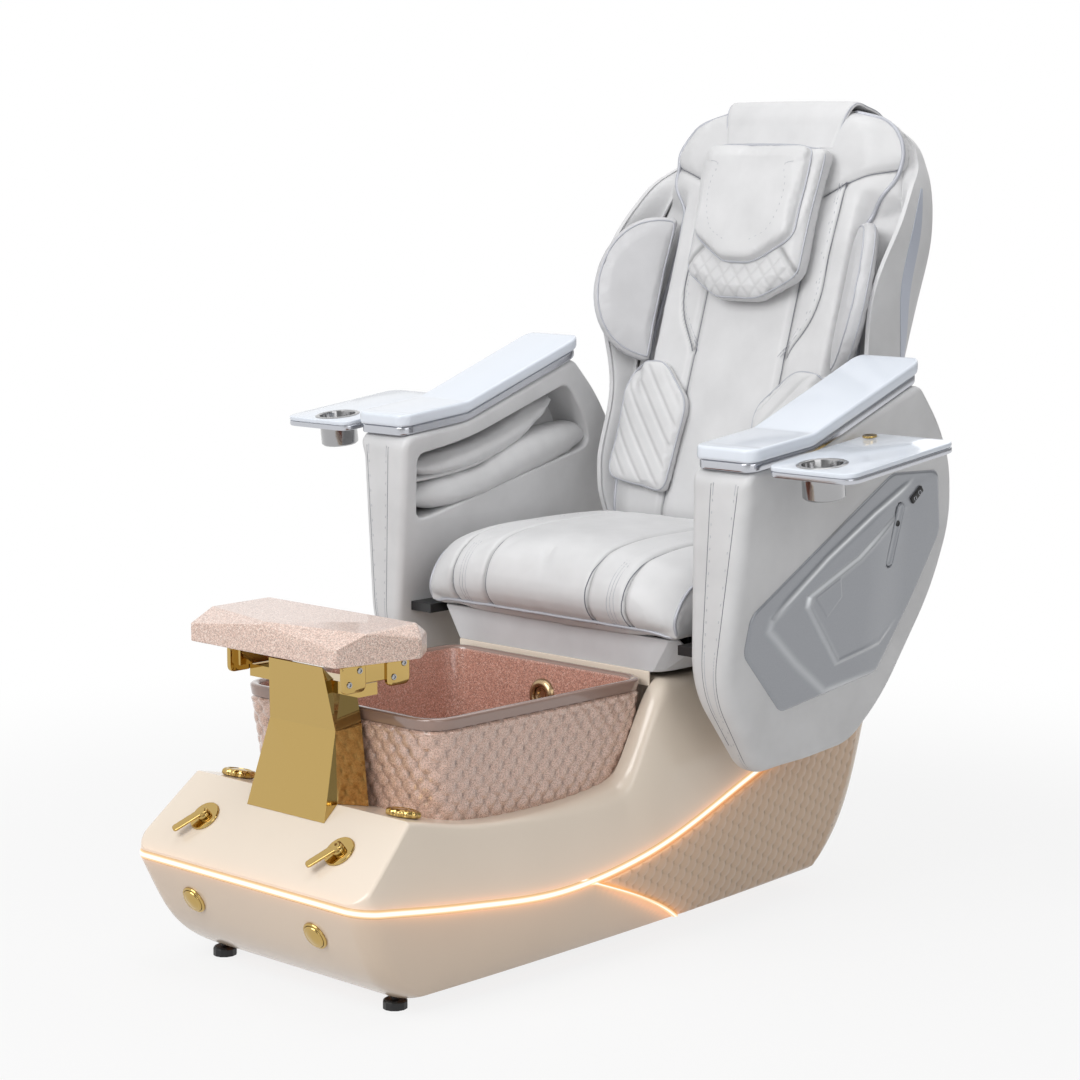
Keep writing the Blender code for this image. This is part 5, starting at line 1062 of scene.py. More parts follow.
@dataclass
class Stage:
    """Pale floor, soft studio light and the camera at the photograph's viewing angle."""

    datum: Datum
    eye: tuple = (2.9496, -3.07, 1.2181)
    yaw: float = math.radians(43.854)
    pitch: float = math.radians(8.288)
    lens: float = 92.18
    sensor: float = 36.0
    aim: tuple = (0, 0, 0.6)
    lamps: tuple = (("key", (-0.3, -4.1, 3.4), 3.0, 142.0), ("fill", (3.8, -1.8, 1.8), 2.4, 30.0),
                    ("top", (0.0, 0.2, 4.2), 3.0, 50.0), ("rear", (-0.5, 3.5, 2.6), 3.0, 20.0),
                    ("glint front", (1.1, -3.4, 3.6), 0.35, 7.0), ("glint side", (3.9, -0.4, 2.9), 0.35, 6.0))
    floor_half: float = 9.0
    floor_grey: float = 0.62
    shadow_reach: tuple = (0.9, 2.2)
    shadow_white: float = 0.84
    sky_toward: tuple = (-0.75, -0.25, 0.61)
    sky_reach: tuple = (-0.2, 0.6)
    sky_dim: float = 0.32
    soft_light: float = 0.36

    def build(self) -> None:
        """Set up camera, floor, lamps, world and view."""
        scene = bpy.context.scene
        scene.view_settings.view_transform = "Standard"
        self.camera(scene)
        self.floor()
        self.world(scene)
        for name, spot, size, power in self.lamps:
            self.lamp(name, spot, size, power)

    def camera(self, scene: bpy.types.Scene) -> None:
        """Camera at the fitted point and angle."""
        view = bpy.data.cameras.new("camera")
        view.lens, view.sensor_width = self.lens, self.sensor
        camera = bpy.data.objects.new("camera", view)
        scene.collection.objects.link(camera)
        back = Vector((math.sin(self.yaw) * math.cos(self.pitch), -math.cos(self.yaw) * math.cos(self.pitch),
                       math.sin(self.pitch)))
        camera.location = (self.eye[0], self.eye[1] + self.datum.y, self.eye[2])
        camera.rotation_euler = (-back).to_track_quat("-Z", "Y").to_euler()
        scene.camera = camera

    def floor(self) -> None:
        """White floor that keeps a faint shadow and looks white to the camera."""
        half = self.floor_half
        corners = np.array([(-half, -half, 0), (half, -half, 0), (half, half, 0), (-half, half, 0)], float)
        floor = raw_object("floor", Skin(corners, [[0, 1, 2, 3]]))
        made = bpy.data.materials.new("matt white floor")
        made.use_nodes = True
        tree = made.node_tree
        tree.nodes.clear()
        matt = add(tree, "ShaderNodeBsdfDiffuse", {"Color": (*[self.floor_grey] * 3, 1.0)})
        light = add(tree, "ShaderNodeEmission", {"Strength": 1.0})
        path = add(tree, "ShaderNodeLightPath")
        rays = {0: path.outputs["Is Camera Ray"], 1: path.outputs["Is Glossy Ray"]}
        seen = add(tree, "ShaderNodeMath", rays, operation="MAXIMUM")
        place = add(tree, "ShaderNodeTexCoord").outputs["Object"]
        away = add(tree, "ShaderNodeVectorMath", {0: place}, operation="LENGTH").outputs["Value"]
        bare = fade(tree, away, self.shadow_reach, (self.shadow_white, 1.0))
        share = add(tree, "ShaderNodeMath", {0: seen.outputs[0], 1: bare}, operation="MULTIPLY")
        mixed = add(tree, "ShaderNodeMixShader",
                    {0: share.outputs[0], 1: matt.outputs[0], 2: light.outputs[0]})
        add(tree, "ShaderNodeOutputMaterial", {"Surface": mixed.outputs[0]})
        floor.data.materials.append(made)

    def world(self, scene: bpy.types.Scene) -> None:
        """World that lights softly, is white to the camera and gives reflections a sky bright on one side."""
        world = bpy.data.worlds.new("studio")
        scene.world = world
        world.use_nodes = True
        tree = world.node_tree
        path = add(tree, "ShaderNodeLightPath")
        toward = add(tree, "ShaderNodeTexCoord").outputs["Generated"]
        bright = add(tree, "ShaderNodeVectorMath", {0: toward, 1: self.sky_toward}, operation="DOT_PRODUCT")
        sky = fade(tree, bright.outputs["Value"], self.sky_reach, (self.sky_dim, 1.0))
        seen = add(tree, "ShaderNodeMapRange",
                   {"Value": path.outputs["Is Camera Ray"], "To Min": self.soft_light})
        mixed = add(tree, "ShaderNodeMix",
                    {0: path.outputs["Is Glossy Ray"], 2: seen.outputs["Result"], 3: sky})
        shown = tree.nodes["Background"]
        shown.inputs["Color"].default_value = (1.0, 1.0, 1.0, 1.0)
        tree.links.new(mixed.outputs[0], shown.inputs["Strength"])

    def lamp(self, name: str, spot: tuple, size: float, power: float) -> None:
        """Square soft box that faces the chair."""
        light = bpy.data.lights.new(name, "AREA")
        light.size, light.energy = size, power
        lamp = bpy.data.objects.new(name, light)
        bpy.context.scene.collection.objects.link(lamp)
        lamp.location = spot
        lamp.rotation_euler = (Vector(spot) - Vector(self.aim)).to_track_quat("Z", "Y").to_euler()


# Base


@dataclass
class Base:
    """Hull, shell, light strip and scale panels of the base."""

    datum: Datum
    bow: float = -0.612
    stern: float = 0.560
    sheer_line: tuple = ((-0.612, 0.171), (-0.42, 0.146), (-0.22, 0.131), (-0.04, 0.153), (0.21, 0.231),
                         (0.560, 0.345))
    beam_line: tuple = ((-0.612, 0.251), (-0.30, 0.262), (0.10, 0.262), (0.560, 0.240))
    corner: float = 0.035
    wall: float = 0.006
    bow_tuck: float = 0.106
    stern_tuck: float = 0.120
    side_tuck: float = 0.028
    foot_heights: tuple = (0.022, 0.038)
    strip_half: float = 0.006
    branch: tuple = (-0.156, 0.052)
    branch_half: float = 0.005
    panel_t: float = 0.006
    deck_front: float = -0.503
    deck_line: tuple = ((-0.503, 0.279), (-0.37, 0.252), (-0.24, 0.244), (-0.10, 0.251), (0.02, 0.275))
    deck_half: float = 0.232
    seat_deck: float = 0.403
    stern_top: float = 0.500
    scale_width: float = 0.028
    scale_pitch: float = 0.0150
    scale_proud: float = 0.0070
    stations: int = 90
    corner_steps: int = 12
    end_steps: int = 6

    def sheer(self, y: Array) -> Array:
        """Height of the light strip along the base."""
        return spline(self.sheer_line, y)

    def pull(self, v: float | Array) -> float | Array:
        """Share of the tuck at a level: even at first, then steep near the foot."""
        return 0.6 * v + 0.4 * abs(v) ** 5

    def half_ring(self, v: float, drop: float) -> Array:
        """Half of the hull's outline at one level, from the stern's middle along +X to the bow's middle.

        Args:
            v: Share of the way down from the strip to the foot.
            drop: Distance in from the outer face.

        Returns:
            Points in plan.
        """
        pull = self.pull(v)
        bow = self.bow + self.bow_tuck * pull + drop
        stern = self.stern - self.stern_tuck * pull - drop
        radius = self.corner - drop
        y = np.linspace(stern - radius, bow + radius, self.stations)
        x = spline(self.beam_line, y) - self.side_tuck * pull - drop
        turn = np.linspace(0, math.pi / 2, self.corner_steps)[1:]
        ahead = np.stack([x[-1] - radius + radius * np.cos(turn), bow + radius - radius * np.sin(turn)], 1)
        behind = np.stack([x[0] - radius + radius * np.cos(turn), stern - radius + radius * np.sin(turn)], 1)
        middle = np.linspace(0, 1, self.end_steps)[1:, None]
        front = ahead[-1] + (np.array([0, bow]) - ahead[-1]) * middle
        rear = behind[-1] + (np.array([0, stern]) - behind[-1]) * middle
        return np.concatenate([rear[::-1], behind[::-1], np.stack([x, y], 1), ahead, front])

    def ring(self, v: float, drop: float) -> Array:
        """Closed ring of the hull at one level, on its own height."""
        flat = self.half_ring(v, drop)
        top_y = self.half_ring(0.0, drop)[:, 1]
        top = self.sheer(top_y) - self.strip_half - CLEAR
        share = (top_y - self.bow) / (self.stern - self.bow)
        foot = self.foot_heights[0] + (self.foot_heights[1] - self.foot_heights[0]) * share
        half = np.column_stack([flat, top + (foot - top) * v])
        return np.concatenate([half, half[-2:0:-1] * (-1, 1, 1)])

    def side_grid(self, fractions: Array, levels: Array, out: float | Array) -> Array:
        """Grid of points on the hull's +X side.

        Args:
            fractions: Shares from the stern end of the side to its bow end, a row for each level.
            levels: Shares of the way down.
            out: Distance out of the face.

        Returns:
            Points of the grid.
        """
        stations = np.linspace(0, 1, self.stations)
        first = self.corner_steps + self.end_steps - 2
        rows = []
        for fraction, v in zip(fractions, levels):
            side = self.ring(v, 0.0)[first:first + self.stations]
            rows.append(np.stack([np.interp(fraction, stations, side[:, k]) for k in range(3)], -1))
        grid = np.array(rows)
        grid[..., 0] += out
        return grid

    def branch_share(self, v: Array, ahead: float) -> Array:
        """Share along the side where the strip's branch runs at a level, and a distance ahead of it."""
        pull = self.pull(v)
        stern_end = self.stern - self.stern_tuck * pull - self.corner
        bow_end = self.bow + self.bow_tuck * pull + self.corner
        y = self.branch[0] + (self.branch[1] - self.branch[0]) * v - ahead
        return (stern_end - y) / (stern_end - bow_end)

    def level(self, points: Array) -> Array:
        """Share of the way down from the strip to the foot at points of the hull."""
        y = points[:, 1] - self.datum.y
        top = self.sheer(y) - self.strip_half
        foot = np.interp(y, (self.bow, self.stern), self.foot_heights)
        return (top - points[:, 2]) / (top - foot)

    def glow(self, points: Array) -> Array:
        """Painted warm light at points: two fades with the distance to the strip and to its branches on the
        sides.
        """
        y = points[:, 1] - self.datum.y
        strip = np.abs(points[:, 2] - self.sheer(y)) - self.strip_half
        top = np.array([self.branch[0], float(self.sheer(np.array(self.branch[0])))])
        foot = np.array([self.branch[1], 0.032])
        branch = path_distance(np.column_stack([y, points[:, 2]]), np.array([top, foot])) - self.branch_half
        branch = np.where((np.abs(points[:, 0]) > 0.2) & (points[:, 2] < self.sheer(y) + 0.004), branch, 1.0)
        away = np.maximum(np.minimum(strip, branch), 0.0)
        share = 0.45 + 0.55 * smoothstep((y - self.bow) / 0.15)
        return share * (0.40 * np.exp(-away / 0.0060) + 0.09 * np.exp(-away / 0.035))

    def crease(self, y: Array) -> tuple[Array, Array]:
        """Half width and height of the shell's top edge along the base, sweeping up into the seat collar."""
        slope = np.clip((self.deck_front - y) / (self.deck_front - self.bow), 0, 1)
        back = np.clip((y - self.stern_top) / (self.stern - self.stern_top), 0, 1)
        half = self.deck_half + (spline(self.beam_line, y) - self.deck_half) * np.maximum(slope, back)
        return np.minimum(half, self.beam(y) - MM), self.deck(y, -0.070, 0.118)

    def beam(self, y: Array) -> Array:
        """Half width of the shell's lower edge, rounded at bow and stern."""
        ahead = np.minimum(y - self.bow, self.stern - y)
        bite = np.clip(self.corner - ahead, 0, self.corner)
        near = np.clip(y, self.bow + self.corner, self.stern - self.corner)
        return spline(self.beam_line, near) - self.corner + np.sqrt(self.corner ** 2 - bite ** 2)

    def lip(self, y: float) -> float:
        """Height where the shell's slope comes down to the strip."""
        return float(self.sheer(np.array(y))) + self.strip_half + 0.004

    def deck(self, y: Array, start: float | Array, run: float | Array) -> Array:
        """Height of the shell's top: front slope, dished deck, the rise to the seat and the stern slope.

        Args:
            y: Places along the base.
            start: Where the rise to the seat starts.
            run: Length of the rise.

        Returns:
            Heights.
        """
        low, end = self.lip(self.bow), self.lip(self.stern)
        slope = low + (self.deck_line[0][1] - low) * (y - self.bow) / (self.deck_front - self.bow)
        deck = spline(self.deck_line, y)
        deck = deck + (self.seat_deck - deck) * smoothstep((y - start) / run)
        back = self.seat_deck + (end - self.seat_deck) * (y - self.stern_top) / (self.stern - self.stern_top)
        return np.where(y < self.deck_front, slope, np.where(y > self.stern_top, back, deck))

    def build(self) -> None:
        """Make and dress the base's own pieces."""
        self.build_hull()
        self.build_shell()
        self.build_strip()
        for side in Side:
            self.build_panel(side)

    def build_hull(self) -> None:
        """Lower hull: fine levels crowded under the strip, where the light falls off, and a wall inside."""
        levels = np.linspace(0, 1, 34) ** 1.5
        outer = [self.ring(v, 0.0) for v in levels]
        inner = [self.ring(v, self.wall) for v in levels[::-4]]
        skin = loft(np.array(outer + inner).transpose(1, 0, 2), closed=True)
        hull = raw_object("lower_hull", self.datum.world(skin))
        paint(hull, "glow", self.glow(coordinates(hull)))
        # The hull takes the cream darkened as painted shade.
        finish_piece(hull, (SHADED_HULL_CREAM,), Fit("base", "cream_gelcoat", ("base_lower_hull",)))

    def build_shell(self) -> None:
        """Upper shell: sections of side, rounded crease and top, swept up to the seat; the basin cut out."""
        near = np.linspace(-math.pi / 2, math.pi / 2, 15)
        ends = self.corner * (1 + np.sin(near)) / 2
        between = np.linspace(self.bow + self.corner, self.stern - self.corner, 170)
        kinks = [self.deck_front, self.stern_top]
        y = np.unique(np.concatenate([self.bow + ends, between, self.stern - ends, kinks]))
        foot = np.stack([self.beam(y), self.sheer(y) + self.strip_half + CLEAR], -1)
        edge = np.stack(self.crease(y), -1)
        down = foot - edge
        length = np.linalg.norm(down, axis=1, keepdims=True)
        fillet = np.minimum(0.008 + 0.020 * smoothstep((y[:, None] + 0.35) / 0.30), 0.4 * length)
        lower, upper = edge + down / length * fillet, edge - fillet * (1, 0)
        side = foot[:, None] + (lower - foot)[:, None] * (np.linspace(0, 1, 14) ** 1.5)[None, :, None]
        bend = bends(lower, edge, upper, 9)[:, 1:]
        share = np.linspace(1, 0, 16)[None, 1:]
        flat_x = upper[:, :1] * share
        outer_share = smoothstep((np.abs(flat_x) - 0.190) / 0.034)
        start, run = 0.027 - 0.097 * outer_share, 0.018 + 0.100 * outer_share
        flat = np.stack([flat_x, self.deck(y[:, None], start, run)], -1)
        half = np.concatenate([side, bend, flat], axis=1)
        outer = np.concatenate([half, half[:, -2::-1] * (-1, 1)], axis=1)
        along = np.broadcast_to(y[:, None], outer.shape[:2])
        skin = loft(np.stack([outer[..., 0], along, outer[..., 1]], -1))
        shell = raw_object("upper_shell", self.datum.world(skin))
        bowl = Basin(self.datum)
        opening = loft([raised(bowl.outline(z, GAP, 120), z) for z in (0.05, 0.345)])
        carve(shell, self.datum.world(opening))
        paint(shell, "glow", self.glow(coordinates(shell)))
        finish_piece(shell, (CREAM,), Fit("base", "cream_gelcoat", ("base_upper_shell",)), 32)

    def build_strip(self) -> None:
        """Light strip: a rounded bead right round the base, with a branch down each side."""
        turn = np.linspace(-math.pi / 2, math.pi / 2, 9)
        section = [(0.0015 * math.cos(t), self.strip_half * math.sin(t)) for t in turn]
        section += [(-0.012, self.strip_half), (-0.012, -self.strip_half)]
        halves = []
        for out, up in section:
            flat = self.half_ring(0.0, -out)
            halves.append(np.column_stack([flat, self.sheer(flat[:, 1]) + up]))
        halves = np.array(halves).transpose(1, 0, 2)
        bead = loft(np.concatenate([halves, halves[-2:0:-1] * (-1, 1, 1)]), closed=True)
        levels = np.linspace(-0.03, 1.0, 40)
        branches = []
        for side in Side:
            corners = []
            for ahead, out in ((1, 0.0), (1, 0.75), (0.5, 1.0), (-0.5, 1.0), (-1, 0.75), (-1, 0.0)):
                share = self.branch_share(levels, ahead * self.branch_half)[:, None]
                grid = self.side_grid(share, levels, CLEAR + out * (self.panel_t + 0.4 * MM))[:, 0]
                corners.append(grid * side.flip)
            branches.append(loft(np.array(corners).transpose(1, 0, 2)))
        strip = raw_object("light_bead", self.datum.world(bead.with_(*branches)))
        points = coordinates(strip)
        y = points[:, 1] - self.datum.y
        along = np.abs(points[:, 2] - self.sheer(y)) / self.strip_half
        run = (self.branch[1] - self.branch[0]) * self.level(points)
        off = np.abs(y - self.branch[0] - run) / self.branch_half
        paint(strip, "core", 1 - np.clip(np.minimum(along, off), 0, 1))
        finish_piece(strip, (LIT,), Fit("base", "lit_acrylic", ("light_strip",)), 60)

    def build_panel(self, side: Side) -> None:
        """Scale panel on the rear of a side: lapped scales stand out behind the strip's branch."""
        levels, share = np.linspace(0.015, 1.0, 112), np.linspace(0, 1, 230)[None]
        front = self.branch_share(levels, -self.branch_half - 0.8 * MM)
        fractions = 0.002 + (front[:, None] - 0.002) * share
        flat = self.side_grid(fractions, levels, 0.0)
        along = flat[..., 1] + 0.30 * flat[..., 2]
        down = -flat[..., 2] + 0.36 * flat[..., 1]
        relief = fish_scales(along, down, self.scale_width, self.scale_pitch)
        edge = np.minimum(share, 1 - share) * 60
        edge = np.minimum(edge, np.minimum(levels, 1 - levels)[:, None] * 45)
        top = flat.copy()
        top[..., 0] += 1.2 * MM + (0.8 * MM + self.scale_proud * relief) * np.clip(edge, 0, 1)
        under = flat.copy()
        under[..., 0] += GAP
        skin = slab(top * side.flip, under * side.flip)
        panel = raw_object(f"scale_relief_{side.word}", self.datum.world(skin))
        paint(panel, "glow", 0.8 * self.glow(coordinates(panel)))
        # Painted shade in the laps between scales, on the outer face only.
        paint(panel, "crease", np.concatenate([0.6 * scale_laps(relief.ravel()), np.zeros(relief.size)]))
        finish_piece(panel, (SCALE_RESIN,), Fit("base", "scale_resin", (f"scale_panel_{side.word}",)), 70)


@dataclass
class Basin:
    """Foot basin with cast scales outside, its jet ring and its drain."""

    datum: Datum
    rim: float = 0.407
    band: float = 0.018
    front: float = -0.432
    rear: float = 0.020
    half: float = 0.207
    taper: float = 0.106
    wall: float = 0.009
    bottom: float = 0.125
    corner: float = 0.030
    jet_z: float = 0.352
    scale_width: float = 0.0275
    scale_pitch: float = 0.0170
    scale_proud: float = 0.0080

    def outline(self, z: float, grow: float, count: int) -> Array:
        """Rounded rectangle of the outer wall at a height, grown outwards, in even points."""
        draw = (self.rim - z) * self.taper - grow
        x, front, rear = self.half - draw, self.front + draw, self.rear - draw
        radius = max(1.5 * self.corner + grow, 0.4 * self.corner)
        return resample(rounded(((x, front), (x, rear), (-x, rear), (-x, front)), radius, 14), count, True)

    def build(self) -> None:
        """Make the bowl, the jet ring and the drain."""
        self.build_bowl()
        self.build_ledge()
        inside = self.rear - (self.rim - self.jet_z) * self.taper - self.wall
        lean = -math.pi / 2 - math.atan(self.taper)
        place = self.datum.place(0, inside, self.jet_z, lean)
        ring = ((0.0, -0.001), (0.006, -0.001), (0.0075, -0.004), (0.0105, -0.0045), (0.0112, -0.002),
                (0.0125, -0.0025), (0.0135, -0.0065), (0.0165, -0.0078), (0.0215, -0.0068), (0.0252, -0.003),
                (0.026, -0.0006), (0.016, -0.0004), (0.016, 0.062), (0.034, 0.062), (0.034, 0.116),
                (0.028, 0.122), (0.0, 0.122))
        make("jet_ring", turned(ring, place), (BRONZE,), Fit("base", "bronze", ("jet_pump",)))
        floor = self.bottom + self.wall + GAP
        drain = ((0.0, floor + 0.0035), (0.012, floor + 0.003), (0.0135, floor + 0.0015),
                 (0.015, floor + 0.004), (0.027, floor + 0.0042), (0.031, floor + 0.0022), (0.032, floor),
                 (0.019, floor), (0.019, floor - 0.055), (0.0, floor - 0.055))
        middle = self.datum.place(0, (self.front + self.rear) / 2, 0)
        make("drain_ring", turned(drain, middle), (STEEL,), Fit("base", "steel", ("drain_strainer",)))

    def build_ledge(self) -> None:
        """Narrow cream ledge between the bowl's rear rim and the seat."""
        y0, y1 = self.rear + 0.0048, self.rear + 0.0092
        shape = rounded(((-0.205, y0), (0.205, y0), (0.205, y1), (-0.205, y1)), 0.002, 5)
        place = self.datum.place(0, 0, self.rim - 0.016)
        make("bowl_ledge", plate(shape, 0.0230, 0.0016, place), (CREAM,), Fit("base", "cream_gelcoat"))

    def build_bowl(self) -> None:
        """Bowl: one skin up the scaled outside, over the rim band and down the polished inside."""
        count = 720
        band, floor = self.rim - self.band, self.bottom + self.wall
        deep = [(self.bottom, -0.030, 0), (self.bottom + 0.008, -0.009, 0), (self.bottom + 0.030, 0.0, 0),
                (0.232, 0.0, 0)]
        relief = [(z, 0.0, 1) for z in np.linspace(0.2335, band - 0.001, 104)]
        over = [(band, 0.001, 0), (band + 0.0015, 0.004, 0), (self.rim - 0.004, 0.0042, 0),
                (self.rim - 0.0015, 0.0034, 0), (self.rim, 0.001, 0), (self.rim + 0.0003, -0.0035, 0),
                (self.rim - 0.0012, -0.0078, 0), (self.rim - 0.0045, -self.wall, 0)]
        inside = [(z, -self.wall, 0) for z in np.linspace(self.rim - 0.008, floor + 0.030, 14)]
        inside += [(floor + 0.014, -self.wall - 0.003, 0), (floor + 0.006, -self.wall - 0.011, 0),
                   (floor + 0.001, -self.wall - 0.022, 0), (floor, -self.wall - 0.034, 0)]
        rows = deep + relief + over + inside
        rings, lap_shade = [], []
        for z, grow, scaled in rows:
            flat = self.outline(z, grow, count)
            lap_shade.append(np.zeros(count))
            if scaled:
                length = run_length(flat)
                turns = round(length[-1] / self.scale_width)
                along = length / length[-1] * turns * self.scale_width
                fade = min(1.0, (band - z) / 0.004)
                height = fish_scales(along, np.full(count, band - z), self.scale_width, self.scale_pitch)
                flat = inset(flat, -self.scale_proud * fade * height)
                # Painted shade in the laps between scales.
                lap_shade[-1] = 0.85 * scale_laps(height)
            rings.append(raised(flat, z))
        bowl = raw_object("basin_bowl", self.datum.world(loft(rings)))
        paint(bowl, "crease", np.concatenate(lap_shade))
        outer = len(deep) + len(relief) - 1
        step = np.arange(len(rows) - 1)
        index = np.repeat(1 * (step >= outer) + (step >= outer + len(over)), count)
        index = np.concatenate([index, [0, 2]])
        finish_piece(bowl, (BOWL_OUTSIDE, BOWL_BAND, BOWL_INSIDE), Fit("base", "rose_glass", ("basin",)), 50)
        bowl.data.polygons.foreach_set("material_index", index.astype(np.int32))


@dataclass
class Controls:
    """Gold taps, push buttons and knobs of the base."""

    datum: Datum
    tap: tuple = (0.147, -0.556, 0.23135)
    tap_turn: float = math.radians(41.96)
    button: tuple = (0.133, -0.59018, 0.11598)
    button_turn: float = math.radians(115.01)
    knob: tuple = (0.179, -0.465, 0.27073)
    knob_turn: float = math.radians(-12.28)
    lever_turn: float = math.radians(238)

    def build(self) -> None:
        """Make the controls of both sides."""
        for side in Side:
            self.build_tap(side)
            self.build_button(side)
            self.build_knob(side)

    def build_tap(self, side: Side) -> None:
        """Round wall plate, and a hub with a flat paddle that leans off the plate."""
        place = self.datum.place(side.value * self.tap[0], *self.tap[1:], self.tap_turn)
        disc = ((0.0, 0.0003), (0.0240, 0.0003), (0.0245, 0.0010), (0.0243, 0.0026), (0.0234, 0.0036),
                (0.0, 0.0042))
        make(f"tap_disc_{side.word}", turned(disc, place), (GOLD,),
             Fit("base", "polished_gold", (f"tap_plate_{side.word}",)))
        hub = turned(((0.0, 0.0045), (0.0100, 0.0045), (0.0104, 0.0070), (0.0092, 0.0090), (0.0080, 0.0100),
                      (0.0080, 0.0125), (0.0070, 0.0138), (0.0, 0.0142)), place)
        shape = rounded(((-0.010, -0.0075), (0.020, -0.0072), (0.049, -0.0070), (0.049, 0.0070),
                         (0.020, 0.0072), (-0.010, 0.0075)), 0.0065, 8)
        tilt = Matrix.Rotation(self.lever_turn, 4, "Z") @ Matrix.Translation((0, 0, 0.0096))
        paddle = plate(shape, 0.0036, 0.0012, place @ tilt @ Matrix.Rotation(math.radians(-4), 4, "Y"))
        make(f"tap_paddle_{side.word}", hub.with_(paddle), (GOLD,),
             Fit(f"tap_{side.word}", "polished_gold", (f"tap_lever_{side.word}",)))

    def build_button(self, side: Side) -> None:
        """Domed button with a ring groove, in a bezel."""
        place = self.datum.place(side.value * self.button[0], *self.button[1:], self.button_turn)
        bezel = ((0.0184, 0.0002), (0.0216, 0.0002), (0.0219, 0.0018), (0.0209, 0.0034), (0.0194, 0.0040),
                 (0.0186, 0.0036))
        make(f"button_bezel_{side.word}", turned(bezel, place, hollow=True), (GOLD,),
             Fit("base", "polished_gold"), 60)
        dome = ((0.0, -0.012), (0.0176, -0.012), (0.0180, 0.0035), (0.0174, 0.0056), (0.0156, 0.0066),
                (0.0140, 0.0062), (0.0130, 0.0066), (0.0080, 0.0080), (0.0, 0.0086))
        make(f"button_dome_{side.word}", turned(dome, place), (GOLD,),
             Fit(f"button_{side.word}", "polished_gold", (f"push_button_{side.word}",)), 50)

    def build_knob(self, side: Side) -> None:
        """Scalloped knob with a sunk ring in its top."""
        place = self.datum.place(side.value * self.knob[0], *self.knob[1:], self.knob_turn)
        cap = ((0.0, 0.0003), (0.0215, 0.0003), (0.0243, 0.0020), (0.0250, 0.0050), (0.0245, 0.0085),
               (0.0222, 0.0110), (0.0182, 0.0119), (0.0166, 0.0106), (0.0120, 0.0109), (0.0060, 0.0119),
               (0.0, 0.0122))
        make(f"knob_cap_{side.word}", turned(cap, place, 96, lobes=12, lobe=0.055), (GOLD,),
             Fit(f"knob_{side.word}", "polished_gold", (f"deck_knob_{side.word}",)))


def on_flank(x: float, way: int) -> Matrix:
    """Frame whose plane is the side view, at a place along X, and whose height points a way along X."""
    return Matrix(((0, 0, way, x), (1, 0, 0, 0), (0, 1, 0, 0), (0, 0, 0, 1)))


@dataclass
class Footrest:
    """Gold rails of the footrest: a bar with two screwed plates on each side."""

    plate_size: float = 0.044
    plate_t: float = 0.007

    def build(self) -> None:
        """Make both rails where their solids lie."""
        for side in Side:
            node = f"footrest_rail_{side.word}"
            low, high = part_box(node)
            outer = high.x if side is Side.LEFT else low.x
            inner = low.x if side is Side.LEFT else high.x
            middle_z, half = (low.z + high.z) / 2, self.plate_size / 2
            face = on_flank(outer - side.value * self.plate_t, side.value)
            square = rounded(((-half, -half), (half, -half), (half, half), (-half, half)), 0.011, 8)
            screw = ((0.0, 0.0004), (0.0021, 0.0004), (0.0024, 0.0017), (0.0040, 0.0017), (0.0046, 0.0010),
                     (0.0046, -0.001), (0.0, -0.001))
            skins, screws = [], []
            for y in (low.y + half, high.y - half):
                shape = square + (y, middle_z)
                shape[:, 1] = np.clip(shape[:, 1], low.z, high.z)
                skins.append(plate(shape, self.plate_t, 0.0016, face))
                for turn in (-1, 1):
                    spot = (outer, y + turn * 0.010, middle_z + turn * 0.009)
                    facing = Matrix.Rotation(side.value * math.pi / 2, 4, "Y")
                    screws.append(turned(screw, Matrix.Translation(spot) @ facing, 24))
            reach = abs(outer - inner)
            bar = np.array([(low.y + 0.01, middle_z - 0.012), (high.y - 0.01, middle_z - 0.012),
                            (high.y - 0.01, high.z), (low.y + 0.01, high.z)])
            skins.append(plate(rounded(bar, 0.002, 3), reach - 0.004, 0.001, on_flank(inner, side.value)))
            make(f"footrest_bar_{side.word}", joined(skins), (GOLD,),
                 Fit("footrest", "polished_gold", (node,)))
            make(f"rail_screws_{side.word}", joined(screws), (STEEL,), Fit("footrest", "steel"))


# Chair


